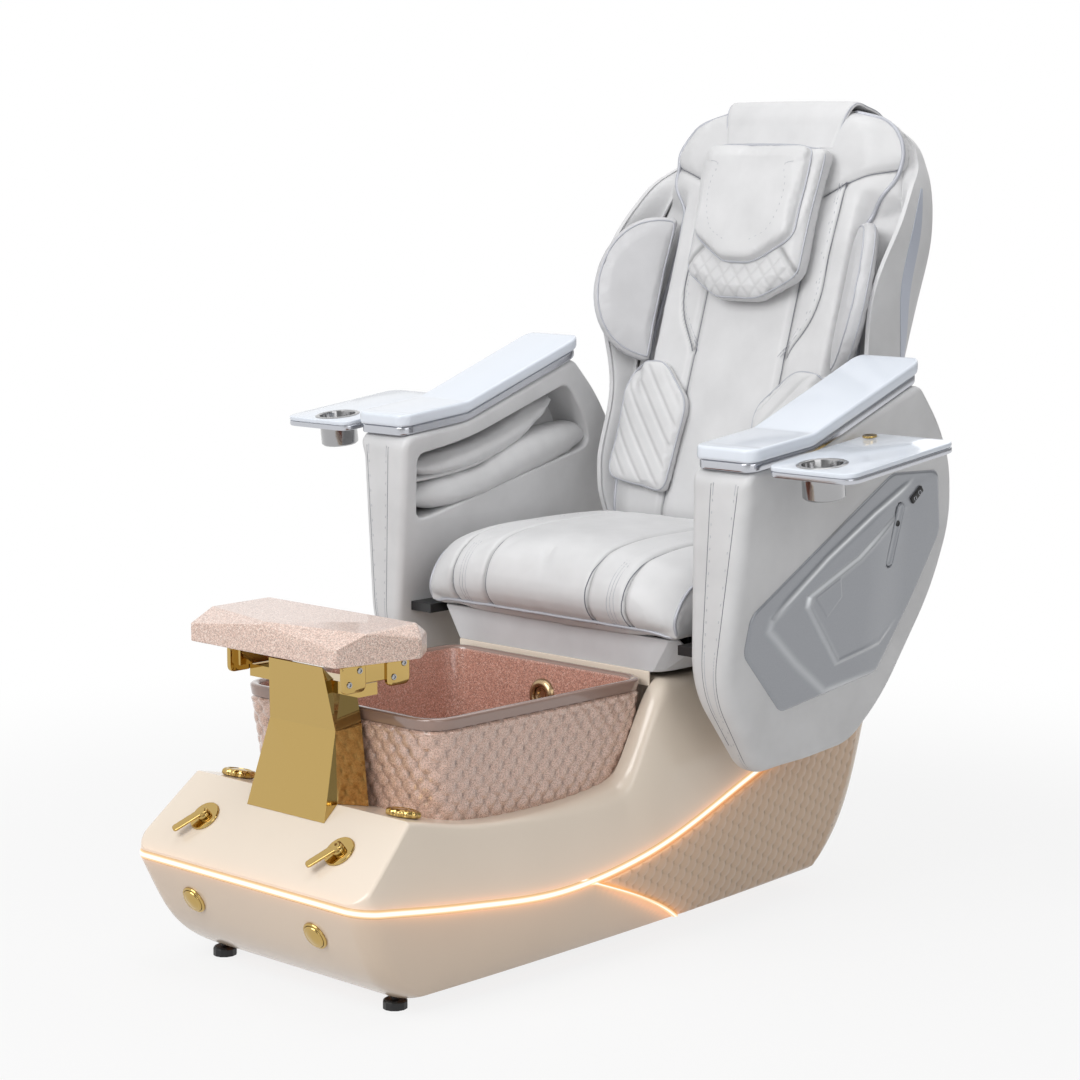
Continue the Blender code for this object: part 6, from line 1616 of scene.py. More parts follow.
@dataclass
class Arms:
    """Upholstered arms with their pads, bands and air cushions."""

    datum: Datum
    inner_top: float = 0.305
    inner_foot: float = 0.320
    outer_top: float = 0.420
    taper: float = 0.110
    top_z: float = 0.750
    foot_z: float = 0.262
    pad_line: tuple = ((0.0, 0.770), (0.145, 0.785), (0.413, 0.882))
    pad_t: float = 0.020
    pad_inner: tuple = (0.308, 0.297)
    pad_outer: float = 0.424
    pad_corner: float = 0.022
    band_t: float = 0.014
    band_inset: float = 0.003
    front: tuple = ((-0.012, 0.408), (0.096, 0.262))
    rear: tuple = ((0.318, 0.282), (0.392, 0.345), (0.492, 0.505), (0.524, 0.618), (0.505, 0.715),
                   (0.460, 0.782))
    slot_back: float = 0.385
    slot: tuple = ((0.031, 0.704), (0.031, 0.598), (0.062, 0.600), (0.445, 0.688), (0.432, 0.735),
                   (0.385, 0.800), (0.150, 0.722))
    upper_bag: tuple = ((0.030, 0.680, 0.688), (0.070, 0.668, 0.692), (0.130, 0.669, 0.700),
                        (0.200, 0.681, 0.715), (0.260, 0.699, 0.735), (0.320, 0.731, 0.761),
                        (0.376, 0.772, 0.784))
    lower_bag: tuple = ((0.030, 0.622, 0.640), (0.065, 0.612, 0.652), (0.123, 0.611, 0.660),
                        (0.187, 0.621, 0.669), (0.245, 0.634, 0.695), (0.298, 0.646, 0.714),
                        (0.370, 0.663, 0.727), (0.430, 0.685, 0.728), (0.462, 0.700, 0.714))
    fold: tuple = ((0.030, 0.652, 0.662), (0.080, 0.656, 0.668), (0.197, 0.674, 0.688), (0.300, 0.712, 0.726))

    def inner(self, z: Array) -> Array:
        """Half width of an arm's inner face."""
        share = (self.top_z - z) / (self.top_z - self.foot_z)
        return self.inner_top + (self.inner_foot - self.inner_top) * share

    def outer(self, z: Array) -> Array:
        """Half width of an arm's outer face."""
        return self.outer_top - self.taper * (self.top_z - z)

    def pad_top(self, y: Array) -> Array:
        """Height of the pad's top: two slopes with a small round where they meet."""
        (y0, z0), (y1, z1), (y2, z2) = self.pad_line
        front, rear = z0 + (z1 - z0) * (y - y0) / (y1 - y0), z1 + (z2 - z1) * (y - y1) / (y2 - y1)
        return 0.5 * (front + rear + np.sqrt((rear - front) ** 2 + 0.001 ** 2))

    def top(self, y: Array) -> Array:
        """Height of the arm's upholstered top, under the band."""
        return self.pad_top(y) - self.pad_t - self.band_t - 0.9 * MM

    def outline(self, count: int) -> Array:
        """Side view of an arm, from the front's top down and round."""
        front_top, kink, rear_top = ((y, float(self.top(np.array(y)))) for y in (0.002, 0.145, 0.401))
        corners = (front_top, *self.front, *self.rear, rear_top, kink)
        radius = (0.026, 0.055, 0.035, 0.03, 0.06, 0.06, 0.06, 0.05, 0.03, 0.018, 0.03)
        shape = rounded(corners, radius, 12)
        return resample(np.roll(shape, -6, 0), count, True)

    def build(self) -> None:
        """Make both arms and all that they carry."""
        for side in Side:
            self.build_arm(side)
            self.build_bar(side, "pad", WHITE, self.pad_top, self.pad_t, 0.0, 0.0050)
            self.build_bar(side, "band", SILVER, lambda y: self.pad_top(y) - self.pad_t - GAP, self.band_t,
                           self.band_inset, 0.0030)
            self.build_bag(side, "upper", self.upper_bag, (0.306, 0.381))
            self.build_bag(side, "lower", self.lower_bag, (0.300, 0.379))
            fold = self.leaf(self.fold, (0.318, 0.383))
            make(f"air_fold_{side.word}", self.datum.world(fold.on(side)),
                 (LEATHER,), leather("chair", fill=0.3), SMOOTH)

    def build_arm(self, side: Side) -> None:
        """Arm: a side outline with rounded rims, broader at the front of the outer face, and the slot."""
        outline = self.outline(420)
        length = np.linspace(0, 1, 420)
        ahead = (1 - smoothstep((length - 0.30) / 0.05)) * smoothstep(length / 0.02)
        near, far = 0.011 + 0.003 * ahead, 0.011 + 0.012 * ahead
        centre = outline.mean(axis=0)
        steps = [(0.0, 0.965), *((t, 1.0) for t in np.linspace(0, math.pi / 2, 7))]
        rings = []
        for face, rim, way, order in ((self.inner, near, 1, steps), (self.outer, far, -1, steps[::-1])):
            for t, scale in order:
                flat = inset(outline, rim * (1 - math.sin(t)))
                flat = centre + (flat - centre) * scale
                rings.append(np.column_stack([face(flat[:, 1]) + way * rim * (1 - math.cos(t)), flat]))
        skin = self.with_pocket(np.array(rings)).on(side)
        arm = raw_object(f"arm_cover_{side.word}", self.datum.world(skin))
        finish_piece(arm, (ARM_LEATHER,), leather("chair", f"arm_{side.word}", 0.95), 35)
        self.sew(side, arm, outline)

    def with_pocket(self, rings: Array) -> Skin:
        """Arm's skin with the slot of the air cushions let into its inner face by a rounded lip.

        Args:
            rings: Rings from the inner face to the outer one.

        Returns:
            The closed skin.
        """
        lip = 0.004
        slot = resample(rounded(self.slot, (0.016, 0.016, 0.03, 0.03, 0.02, 0.02, 0.06), 8), 120, True)
        pocket = []
        for t in np.linspace(0, math.pi / 2, 6):
            edge = inset(slot, -lip * (1 - math.sin(t)))
            pocket.append(np.column_stack([self.inner(edge[:, 1]) + lip * (1 - math.cos(t)), edge]))
        pocket.append(np.column_stack([np.full(120, self.slot_back), slot]))
        cover, hollow = loft(rings), loft(np.array(pocket))
        cover.faces.pop(-2)
        hollow.faces.pop(-2)
        index = np.concatenate([np.arange(rings.shape[1]), len(cover.points) + np.arange(120)])
        loops = [(ring[:, [1, 2, 0]] * (1, 1, 0)).tolist() for ring in (rings[0], pocket[0])]
        skin = cover.with_(hollow)
        skin.faces += index[np.array(tessellate_polygon(loops))].tolist()
        return skin

    def sew(self, side: Side, arm: Object, outline: Array) -> None:
        """Seams down the front, over the lower corner and along the slanted foot, each with its stitches."""
        run = outline[3:132]
        short = run[:100]
        inner = self.inner(short[:, 1]) + 0.024 + 0.05 * (short[:, 1] - 0.40)
        paths = (np.column_stack([self.outer(run[:, 1]) - 0.019, run]), np.column_stack([inner, short]))
        seams, rows = [], []
        for path, step in zip(paths, (-1, 1)):
            line, normal = snap(arm, self.datum.points(path * side.flip), -0.2 * MM)
            seams.append(sweep(line, normal, 0.7 * MM, 6))
            beside = self.datum.points((path + (step * 0.0045, 0, 0)) * side.flip)
            beside, normal = snap(arm, beside, LIFT)
            rows.append(stitches(beside, normal, *ARM_STITCH))
        make(f"arm_seam_{side.word}", joined(seams), (SEAM,), leather("chair"), SMOOTH)
        make(f"arm_stitches_{side.word}", joined(rows), (THREAD,), leather("chair"), SMOOTH)

    def build_bar(self, side: Side, kind: str, look: Finish, top: object, thickness: float, drop: float,
                  edge: float) -> None:
        """Pad or band on an arm: rounded sections along the arm, drawn in at both ends to round its corners.

        Args:
            side: Which arm.
            kind: Ending of the node's name.
            look: Finish.
            top: Height of the upper face along the arm.
            thickness: Height of the section.
            drop: Distance that it stands in from the pad's edge.
            edge: Radius of its long edges.
        """
        y0, y1, corner = drop, self.pad_line[2][0] - drop, self.pad_corner
        near = corner * (1 - np.cos(np.linspace(0, math.pi / 2, 12)))
        kink = self.pad_line[1][0] + np.array([-0.012, -0.006, -0.003, -0.001, 0.001, 0.003, 0.006, 0.012])
        y = np.unique(np.concatenate([y0 + near, np.linspace(y0 + corner, y1 - corner, 44), kink, y1 - near]))
        ahead = np.minimum(y - y0, y1 - y)
        bite = corner - np.sqrt(np.maximum(corner ** 2 - np.clip(corner - ahead, 0, corner) ** 2, 0))
        fall = edge - np.sqrt(np.maximum(edge ** 2 - np.clip(edge - ahead, 0, edge) ** 2, 0))
        low_x = np.interp(y, (0, self.pad_line[2][0]), self.pad_inner) + drop + bite
        high_x = self.pad_outer - drop - bite
        high_z = top(y) - fall
        low_z = top(y) - thickness + fall
        turn = np.linspace(0, math.pi / 2, 6)
        ring = []
        for start, (right, up) in zip((0, 1, 2, 3), ((1, 1), (0, 1), (0, 0), (1, 0))):
            angle = turn + start * math.pi / 2
            centre_x = (high_x - edge if right else low_x + edge)[:, None]
            centre_z = (high_z - edge if up else low_z + edge)[:, None]
            ring.append(np.stack([centre_x + edge * np.cos(angle), np.broadcast_to(y[:, None], (len(y), 6)),
                                  centre_z + edge * np.sin(angle)], -1))
        skin = loft(np.concatenate(ring, axis=1) * side.flip)
        slot = "white_acrylic" if kind == "pad" else "silver_trim"
        make(f"arm_{kind}_cap_{side.word}", self.datum.world(skin), (look,),
             Fit("chair", slot, (f"arm_{kind}_{side.word}",)), 25)

    def leaf(self, edges: tuple, depth: tuple) -> Skin:
        """Soft leaf: ovals between a lower and an upper edge line, drawn in at both ends.

        Args:
            edges: Places along the arm with the heights of both edges.
            depth: Half widths of its front and of its back.

        Returns:
            The closed skin.
        """
        y, low, high = np.array(edges).T
        along = y[0] + (y[-1] - y[0]) * (1 - np.cos(np.linspace(0, math.pi, 60))) / 2
        low, high = spline(np.column_stack([y, low]), along), spline(np.column_stack([y, high]), along)
        turn = np.linspace(0, 2 * math.pi, 44, endpoint=False)
        taper = np.clip(np.sin(np.linspace(0.12, math.pi - 0.12, 60)), 0, 1) ** 0.35
        reach = (depth[1] - depth[0]) * taper
        x = depth[1] - reach[:, None] * (0.5 + 0.5 * squared_off(np.cos(turn), 0.8))
        z = (low + high)[:, None] / 2 + (high - low)[:, None] / 2 * squared_off(np.sin(turn), 0.9)
        return loft(np.stack([x, np.broadcast_to(along[:, None], x.shape), z], -1))

    def build_bag(self, side: Side, level: str, edges: tuple, depth: tuple) -> None:
        """Air cushion: a leaf of soft leather, blown up, with shallow pulls across it."""
        skin = self.leaf(edges, depth)
        bag = raw_object(f"air_cushion_{level}_{side.word}", self.datum.world(skin.on(side)))
        puff(bag, *AIR_SWELL)
        points = coordinates(bag)
        press(bag, 0.0009 * np.sin(120 * points[:, 1] + 60 * points[:, 2]) * np.sin(45 * points[:, 1] + 1.3))
        finish_piece(bag, (LEATHER,), leather("chair", f"air_bag_{level}_{side.word}", 0.4), SMOOTH)


@dataclass
class SidePanels:
    """Painted panels on the arms' outer faces, with the bag hook and the socket plate."""

    datum: Datum
    arms: Arms
    outline: tuple = ((0.036, 0.520), (0.027, 0.461), (0.129, 0.359), (0.358, 0.390), (0.436, 0.506),
                      (0.491, 0.604), (0.467, 0.703), (0.350, 0.708), (0.206, 0.622))
    thickness: float = 0.006
    pressed: tuple = ((0.393, 0.686), (0.309, 0.642), (0.203, 0.585), (0.082, 0.509), (0.077, 0.492),
                      (0.149, 0.432), (0.226, 0.378), (0.357, 0.391), (0.44, 0.50), (0.50, 0.60),
                      (0.48, 0.70))
    plateau: tuple = ((0.369, 0.645), (0.276, 0.584), (0.161, 0.535), (0.158, 0.519), (0.218, 0.450),
                      (0.245, 0.419), (0.354, 0.437), (0.46, 0.52), (0.48, 0.60), (0.44, 0.66))
    plaque: tuple = ((0.172, 0.533), (0.232, 0.558), (0.240, 0.526), (0.207, 0.497))
    hook_foot: tuple = (0.356, 0.560)
    hook_lean: float = math.radians(11)
    hook_size: tuple = (0.100, 0.017)
    socket: tuple = (0.412, 0.668)
    socket_size: tuple = (0.030, 0.012)
    socket_lean: float = math.radians(40)

    def on_side(self, flat: Array, out: float | Array, side: Side) -> Array:
        """Points of the side view laid on the arm's outer face, a distance out of it."""
        return np.column_stack([self.arms.outer(flat[:, 1]) + out, flat]) * side.flip

    def pill(self, grow: float, steps: int = 16) -> Array:
        """Outline of the hook: a straight slot with round ends on a leaning line."""
        up = np.array([math.sin(self.hook_lean), math.cos(self.hook_lean)])
        across = np.array([up[1], -up[0]])
        radius = self.hook_size[1] / 2
        t = np.linspace(0, math.pi, steps)[:, None]
        arc = np.cos(t) * across + np.sin(t) * up
        foot = np.array(self.hook_foot)
        top, low = foot + up * (self.hook_size[0] - radius), foot + up * radius
        return np.concatenate([top + (radius + grow) * arc, low - (radius + grow) * arc])

    def build(self) -> None:
        """Make both panels, the hook and the socket plate."""
        for side in Side:
            self.build_panel(side)
        self.build_hook()
        self.build_socket()

    def build_panel(self, side: Side) -> None:
        """Panel: rings drawn in to the middle carry two pressed fields, their beads and a plaque."""
        count = 440
        outline = resample(rounded(self.outline, 0.014, 10), count, True)
        middle = outline.mean(axis=0)
        scales = np.concatenate([np.linspace(0.01, 0.97, 150), [0.98, 0.988, 0.994, 1.0]])
        flat = middle + (outline - middle)[None] * scales[:, None, None]
        points = flat.reshape(-1, 2)
        far = 1 - smoothstep((points[:, 0] - 0.30) / 0.11)
        outer, inner = outline_distance(points, self.pressed), outline_distance(points, self.plateau)
        relief = 0.0034 * smoothstep((outer + 0.006) / 0.013) * (0.25 + 0.75 * far)
        step = 0.0044 * smoothstep((inner + 0.003) / 0.008) + 0.0012 * bell(inner - 0.005, 0.0040)
        relief += step * far
        ridge = path_distance(points, np.array([(0.400, 0.692), (0.309, 0.648), (0.203, 0.590),
                                                (0.086, 0.513)]))
        taper = smoothstep((points[:, 0] - 0.075) / 0.05) * (1 - smoothstep((points[:, 0] - 0.36) / 0.05))
        relief += 0.0030 * taper * bell(ridge, 0.0055)
        # Painted highlights: crest values on the ridge and on the fields' edges, stronger on upper edges that
        # face the light, turn the paint near white.
        upper = smoothstep((points[:, 1] - 0.512) / 0.02)
        crest = 0.85 * taper * bell(ridge, 0.0032)
        crest += (0.25 + 0.6 * upper) * far * bell(inner - 0.001, 0.0030)
        crest += 0.28 * (1 - upper) * far * bell(outer - 0.001, 0.0055)
        relief += 0.0010 * smoothstep(outline_distance(points, self.plaque) / 0.002)
        out = GAP + self.thickness - 0.0030 + relief
        if side is Side.LEFT:
            pocket = outline_distance(points, self.pill(0.0012))
            out -= 0.0042 * smoothstep((pocket + 0.0008) / 0.0016)
        fall = np.array([0.0] * 150 + [0.0002, 0.0007, 0.0018, 0.0042])
        out = out.reshape(len(scales), count) - fall[:, None]
        rings = [self.on_side(ring, level, side) for ring, level in zip(flat, out)]
        rings.append(self.on_side(inset(outline, 0.0004), 0.0004, side))
        panel = raw_object(f"side_cover_{side.word}", self.datum.world(loft(rings)))
        paint(panel, "crest", np.concatenate([np.clip(crest, 0, 1), np.zeros(count)]))
        finish_piece(panel, (PANEL,), Fit("chair", "silver_panel", (f"side_panel_{side.word}",)), 60)

    def build_hook(self) -> None:
        """Bag hook: a slim bar with rounded edges, and its finger hole as a black dish, painted shade for the
        hole's dark inside.
        """
        base = GAP + self.thickness
        levels = ((0.0, -0.0046), (0.0, -0.0010), (0.0006, 0.0004), (0.0022, 0.0010), (0.0050, 0.0002),
                  (0.0066, -0.0002))
        rings = [self.on_side(inset(self.pill(-0.0004), drop), base + out, Side.LEFT) for drop, out in levels]
        bar = self.datum.world(loft(rings))
        make("hook_bar", bar, (PANEL,), Fit("hook", "silver_trim", ("bag_hook",)), 60)
        up = np.array([math.sin(self.hook_lean), math.cos(self.hook_lean)])
        spot = np.array(self.hook_foot) + up * 0.068
        face = float(self.arms.outer(np.array(spot[1]))) + base
        place = self.datum.place(face, *spot) @ Matrix.Rotation(math.pi / 2, 4, "Y")
        dish = ((0.0, 0.0008), (0.0030, 0.0009), (0.0042, 0.0014), (0.0047, 0.0009), (0.0047, -0.001),
                (0.0, -0.001))
        # Painted shade: a black dish stands for the dark inside of the finger hole.
        make("hook_hole", turned(dish, place, 32), (BLACK,), Fit("hook", "black_plastic"))

    def build_socket(self) -> None:
        """Socket plate: a leaning black plate with a round port and a slotted one."""
        half = np.array(self.socket_size) / 2
        c, s = math.cos(self.socket_lean), math.sin(self.socket_lean)
        turn = np.array([(c, s), (-s, c)])
        corners = np.array([(-half[0], -half[1]), (half[0], -half[1]), (half[0], half[1]),
                            (-half[0], half[1])])
        shape = np.array(self.socket) + rounded(corners, 0.002, 6) @ turn
        base = GAP + self.thickness
        rings = [self.on_side(inset(shape, drop), base + out, Side.LEFT)
                 for drop, out in ((0, -0.0056), (0, 0.0004), (0.0005, 0.0012), (0.0014, 0.0015))]
        make("socket_face", self.datum.world(loft(rings)), (BLACK,),
             Fit("chair", "black_plastic", ("socket_plate",)), 50)
        ports = []
        for along, radius in ((-0.0075, 0.0033), (0.0055, 0.0036)):
            spot = np.array(self.socket) + np.array((along, 0.0)) @ turn
            face = float(self.arms.outer(np.array(spot[1]))) + base + 0.0013
            place = self.datum.place(face, *spot) @ Matrix.Rotation(math.pi / 2, 4, "Y")
            ring = ((radius - 0.0008, 0.0001), (radius, 0.0001), (radius, 0.0007), (radius - 0.0004, 0.0010),
                    (radius - 0.0008, 0.0007))
            ports.append(turned(ring, place, 32, hollow=True))
        make("socket_rings", joined(ports), (SILVER,), Fit("chair", "silver_trim"))


@dataclass
class Trays:
    """Swivel trays with steel cup holders."""

    datum: Datum
    pivot: tuple = (0.464, 0.22781, 0.75985)
    pitch: float = math.radians(6.5)
    span_x: tuple = (-0.017, 0.138)
    span_y: tuple = (-0.2275, 0.0292)
    thickness: float = 0.016
    trim: float = 0.0085
    corner: float = 0.018
    cup: tuple = (0.053, -0.1822)
    cup_r: float = 0.031
    cup_rim: float = 0.038
    cup_depth: float = 0.050

    def build(self) -> None:
        """Make the trays of both sides."""
        for side in Side:
            self.build_tray(side)

    def build_tray(self, side: Side) -> None:
        """White top over a silver under-plate, both with the cup's hole, and the steel cup with its rim."""
        place = self.datum.place(side.value * self.pivot[0], *self.pivot[1:], self.pitch)
        (x0, x1), (y0, y1) = self.span_x, self.span_y
        corners = np.array([(x0, y0), (x1, y0), (x1, y1), (x0, y1)]) * (side.value, 1)
        shape = resample(rounded(corners, self.corner * 1.4, 12), 160, True)
        spot = place @ Matrix.Translation((side.value * self.cup[0], self.cup[1], 0))
        bore = self.cup_r + MM
        hole = turned(((0.0, -0.02), (bore, -0.02), (bore, 0.04), (0.0, 0.04)), spot, 64)
        body = f"tray_{side.word}"
        layers = (("tray_trim", 0.0, self.trim, 0.0018, SILVER, "silver_trim", ()),
                  ("tray_top", self.trim, self.thickness - self.trim, 0.0022, WHITE, "white_acrylic",
                   (f"tray_board_{side.word}",)))
        for name, low, height, edge, look, slot, nodes in layers:
            sheet = plate(shape, height, edge, place @ Matrix.Translation((0, 0, low)))
            piece = carve(raw_object(f"{name}_{side.word}", sheet), hole)
            finish_piece(piece, (look,), Fit(body, slot, nodes), 25)
        top, wall, r, rim = self.thickness, 0.0014, self.cup_r, self.cup_rim
        cup = ((0.0, top - self.cup_depth + wall), (r - 0.004, top - self.cup_depth + wall),
               (r - wall, top - self.cup_depth + 0.004), (r - wall, top - 0.002), (r - 0.0006, top + 0.0006),
               (r + 0.002, top + 0.0016), (rim - 0.002, top + 0.0013), (rim, top + 0.0003), (r, top + 0.0002),
               (r, top - self.cup_depth + 0.003), (r - 0.003, top - self.cup_depth),
               (0.0, top - self.cup_depth))
        make(f"cup_{side.word}", turned(cup, spot, 72), (STEEL,),
             Fit(body, "steel", (f"cup_holder_{side.word}",)), 50)


@dataclass
class Seat:
    """Seat cushion with its seams, stitching and piping."""

    datum: Datum
    half: float = 0.272
    front: float = -0.020
    low: float = 0.4663
    top: float = 0.600
    seams: tuple = (0.112, 0.187)
    lines: tuple = (0.156, 0.162, 0.168)
    profile: tuple = ((0.034, 0.035), (0.010, 0.20), (0.000, 0.38), (0.010, 0.62), (0.034, 0.80),
                      (0.075, 0.93), (0.140, 0.99), (0.220, 1.0), (0.300, 1.0), (0.360, 0.985), (0.392, 0.93))

    def surface(self, across: Array, rows: int) -> Array:
        """Points of the face: the profile's depth and height, with a drop to the sides that grows steeply.

        Args:
            across: Shares of the half width.
            rows: Points along the profile.

        Returns:
            Grid of points, a row for each place along the profile.
        """
        line = curve_through(np.array(self.profile), rows)
        share = np.abs(np.asarray(across, float))[None]
        ahead = 1 - smoothstep(line[:, :1] / 0.12)
        x = np.asarray(across, float)[None] * self.half * (1 - 0.012 * ahead)
        y = self.front + line[:, :1] + 0.036 * ahead * share ** 7
        rise = line[:, 1:] * (self.top - self.low)
        z = self.low + rise - (0.030 * share ** 6 + 0.010 * share ** 2) * np.clip(rise / 0.06, 0, 1)
        return np.stack(np.broadcast_arrays(x, y, z), -1)

    def build(self) -> None:
        """Sew, stuff and dress the cushion."""
        top = self.surface(np.linspace(-1, 1, 61), 56)
        top[..., 2] -= 0.002
        edge = top.reshape(-1, 3)[rim_of(*top.shape[:2])]
        foot = edge.copy()
        foot[:, 2] = self.low
        seat = raw_object("seat_pad", self.datum.world(cushion(top, [foot])))
        puff(seat, *SEAT_SWELL)
        points = coordinates(seat)
        across = np.abs(points[:, 0])
        sewn = points[:, 2] > self.low + 0.012
        depth = sum(0.0042 * bell(across - seam, 0.0045) for seam in self.seams)
        depth += sum(0.0010 * bell(across - line, 0.0018) for line in self.lines)
        press(seat, np.where(sewn, depth, 0.0))
        points[:, 2] = np.maximum(coordinates(seat)[:, 2], self.low)
        set_coordinates(seat, np.column_stack([coordinates(seat)[:, :2], points[:, 2]]))
        # Painted shade: darker leather along the seam grooves.
        crease = sum(0.75 * bell(across - seam, 0.002) for seam in self.seams)
        paint(seat, "crease", np.where(sewn, crease, 0))
        finish_piece(seat, (LEATHER,), leather("chair", "seat_cushion", 0.8), SMOOTH)
        self.sew(seat)

    def sew(self, seat: Object) -> None:
        """Dark seams, rows of stitches beside them and piping round the front panel."""
        seams, rows = [], []
        for sign in (-1, 1):
            for at in self.seams:
                path = self.datum.points(self.surface([sign * at / self.half], 90)[2:, 0])
                line, normal = snap(seat, path, -0.3 * MM)
                seams.append(sweep(line, normal, MM, 6))
            for at in self.lines:
                path = self.datum.points(self.surface([sign * at / self.half], 70)[2:, 0])
                rows.append(stitches(*snap(seat, path, LIFT), *SEAT_STITCH))
        make("seat_seams", joined(seams), (SEAM,), leather("chair"), SMOOTH)
        make("seat_stitches", joined(rows), (THREAD,), leather("chair"), SMOOTH)
        flank = self.surface([-0.985], 40)[:, 0]
        under = self.surface(np.linspace(-0.97, 0.97, 50), 40)[2]
        path = np.concatenate([flank[:3:-1], under, (flank * (-1, 1, 1))[4:]])
        line, normal = snap(seat, self.datum.points(curve_through(resample(path, 60), 220)), 0.8 * MM)
        make("seat_piping", sweep(line, normal, 0.0027, 8), (PIPING,), leather("chair"), SMOOTH)


# Backrest


@dataclass
class Back:
    """Backrest: hooded shell, cushion, shoulder and lumbar pads, headrest pillow and flap."""

    datum: Datum
    hinge: tuple = (0.0, 0.440, 0.500)
    lean: float = math.radians(-17.5)
    setback: float = 0.0746
    top: float = 0.784
    foot: float = 0.040
    cushion_t: float = 0.050
    cushion_half: tuple = ((0.04, 0.222), (0.12, 0.234), (0.25, 0.246), (0.36, 0.264), (0.46, 0.276),
                           (0.58, 0.275), (0.66, 0.245), (0.730, 0.230), (0.766, 0.190), (0.784, 0.132))
    channel: float = 0.097
    shell_half: tuple = ((0.03, 0.231), (0.12, 0.248), (0.25, 0.266), (0.36, 0.284), (0.46, 0.296),
                         (0.60, 0.292), (0.66, 0.274), (0.70, 0.250), (0.75, 0.210), (0.784, 0.146))
    shell_rear: tuple = ((0.03, -0.138), (0.12, -0.165), (0.30, -0.169), (0.50, -0.164), (0.62, -0.152),
                         (0.71, -0.122), (0.76, -0.098), (0.784, -0.072))
    shell_wall: float = 0.008
    wing_root: float = 0.192
    wing_t: float = 0.030
    wing_turn: float = math.radians(45)
    wing_reach: float = 0.120
    wing_h: tuple = (0.330, 0.588)
    lumbar: tuple = ((0.227, 0.122), (0.221, 0.328), (0.140, 0.338), (0.070, 0.267), (0.080, 0.101))
    lumbar_t: float = 0.022
    pillow: tuple = ((0.046, 0.437), (0.124, 0.480), (0.131, 0.705))
    panel: tuple = ((0.032, 0.503), (0.104, 0.546), (0.107, 0.700))
    pillow_t: float = 0.043
    band: tuple = ((0.151, 0.650), (0.149, 0.600), (0.146, 0.530), (0.146, 0.455), (0.139, 0.425),
                   (0.099, 0.356))
    lobe: tuple = ((0.110, 0.628), (0.148, 0.649), (0.192, 0.666), (0.236, 0.680))
    piping: tuple = ((0.214, 0.048), (0.228, 0.18), (0.226, 0.30), (0.217, 0.407), (0.204, 0.500),
                     (0.193, 0.585), (0.208, 0.620), (0.232, 0.655), (0.240, 0.700), (0.226, 0.738),
                     (0.190, 0.764), (0.130, 0.776))

    def place(self) -> Matrix:
        """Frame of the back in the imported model."""
        return self.datum.place(*self.hinge, self.lean)

    def points(self, x: Array, n: Array, h: Array) -> Array:
        """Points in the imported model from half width, distance in front of the face line and height."""
        x, n, h = np.broadcast_arrays(np.asarray(x, float), np.asarray(n, float), np.asarray(h, float))
        turn = np.array(self.place())
        return np.stack([x, -(n + self.setback), h], -1) @ turn[:3, :3].T + turn[:3, 3]

    def local(self, piece: Object) -> tuple[Array, Array, Array]:
        """Half width, distance in front of the face line and height of a piece's vertices."""
        turn = np.array(self.place().inverted())
        flat = coordinates(piece) @ turn[:3, :3].T + turn[:3, 3]
        return flat[:, 0], -flat[:, 1] - self.setback, flat[:, 2]

    def build(self) -> None:
        """Make the back's pieces from the shell forwards."""
        self.build_shell()
        self.build_cushion()
        for side in Side:
            self.build_wing(side)
            self.build_lumbar(side)
        self.build_pillow()
        self.build_flap()

    def wing_back(self, x: Array) -> Array:
        """Distance in front of the face line of a shoulder pad's rear face."""
        return (x - self.wing_root) * math.tan(self.wing_turn) - self.wing_t / math.cos(self.wing_turn)

    def shell_front(self, h: Array) -> Array:
        """Front edge of the shell: under the shoulder pads, and behind the cushion at the top."""
        middle = sum(self.wing_h) / 2
        tip = float(self.wing_back(spline(self.shell_half, np.array(middle)) - self.shell_wall)) - CLEAR
        edge = spline(((0.03, -0.040), (0.10, 0.0), (0.30, 0.0), (middle, tip), (0.60, 0.012), (0.65, -0.012),
                       (0.70, -0.0506), (self.top, -0.0506)), h)
        return np.minimum(edge, self.wing_back(spline(self.shell_half, h) - self.shell_wall) - CLEAR)

    def shell_arc(self, h: Array, drop: float, turn: Array) -> Array:
        """Sections of the shell: flattened half rounds from the +X edge round the rear to the -X edge.

        Args:
            h: Heights of the sections.
            drop: Distance in from the outer face.
            turn: Angles round the section.

        Returns:
            Grid of points, a row for each height.
        """
        half, front = spline(self.shell_half, h) - drop, self.shell_front(h)
        depth = front - spline(self.shell_rear, h) - drop
        x = half[:, None] * squared_off(np.cos(turn), 0.6)
        n = front[:, None] - depth[:, None] * np.abs(np.sin(turn)) ** 0.6
        return self.points(x, n, h[:, None])

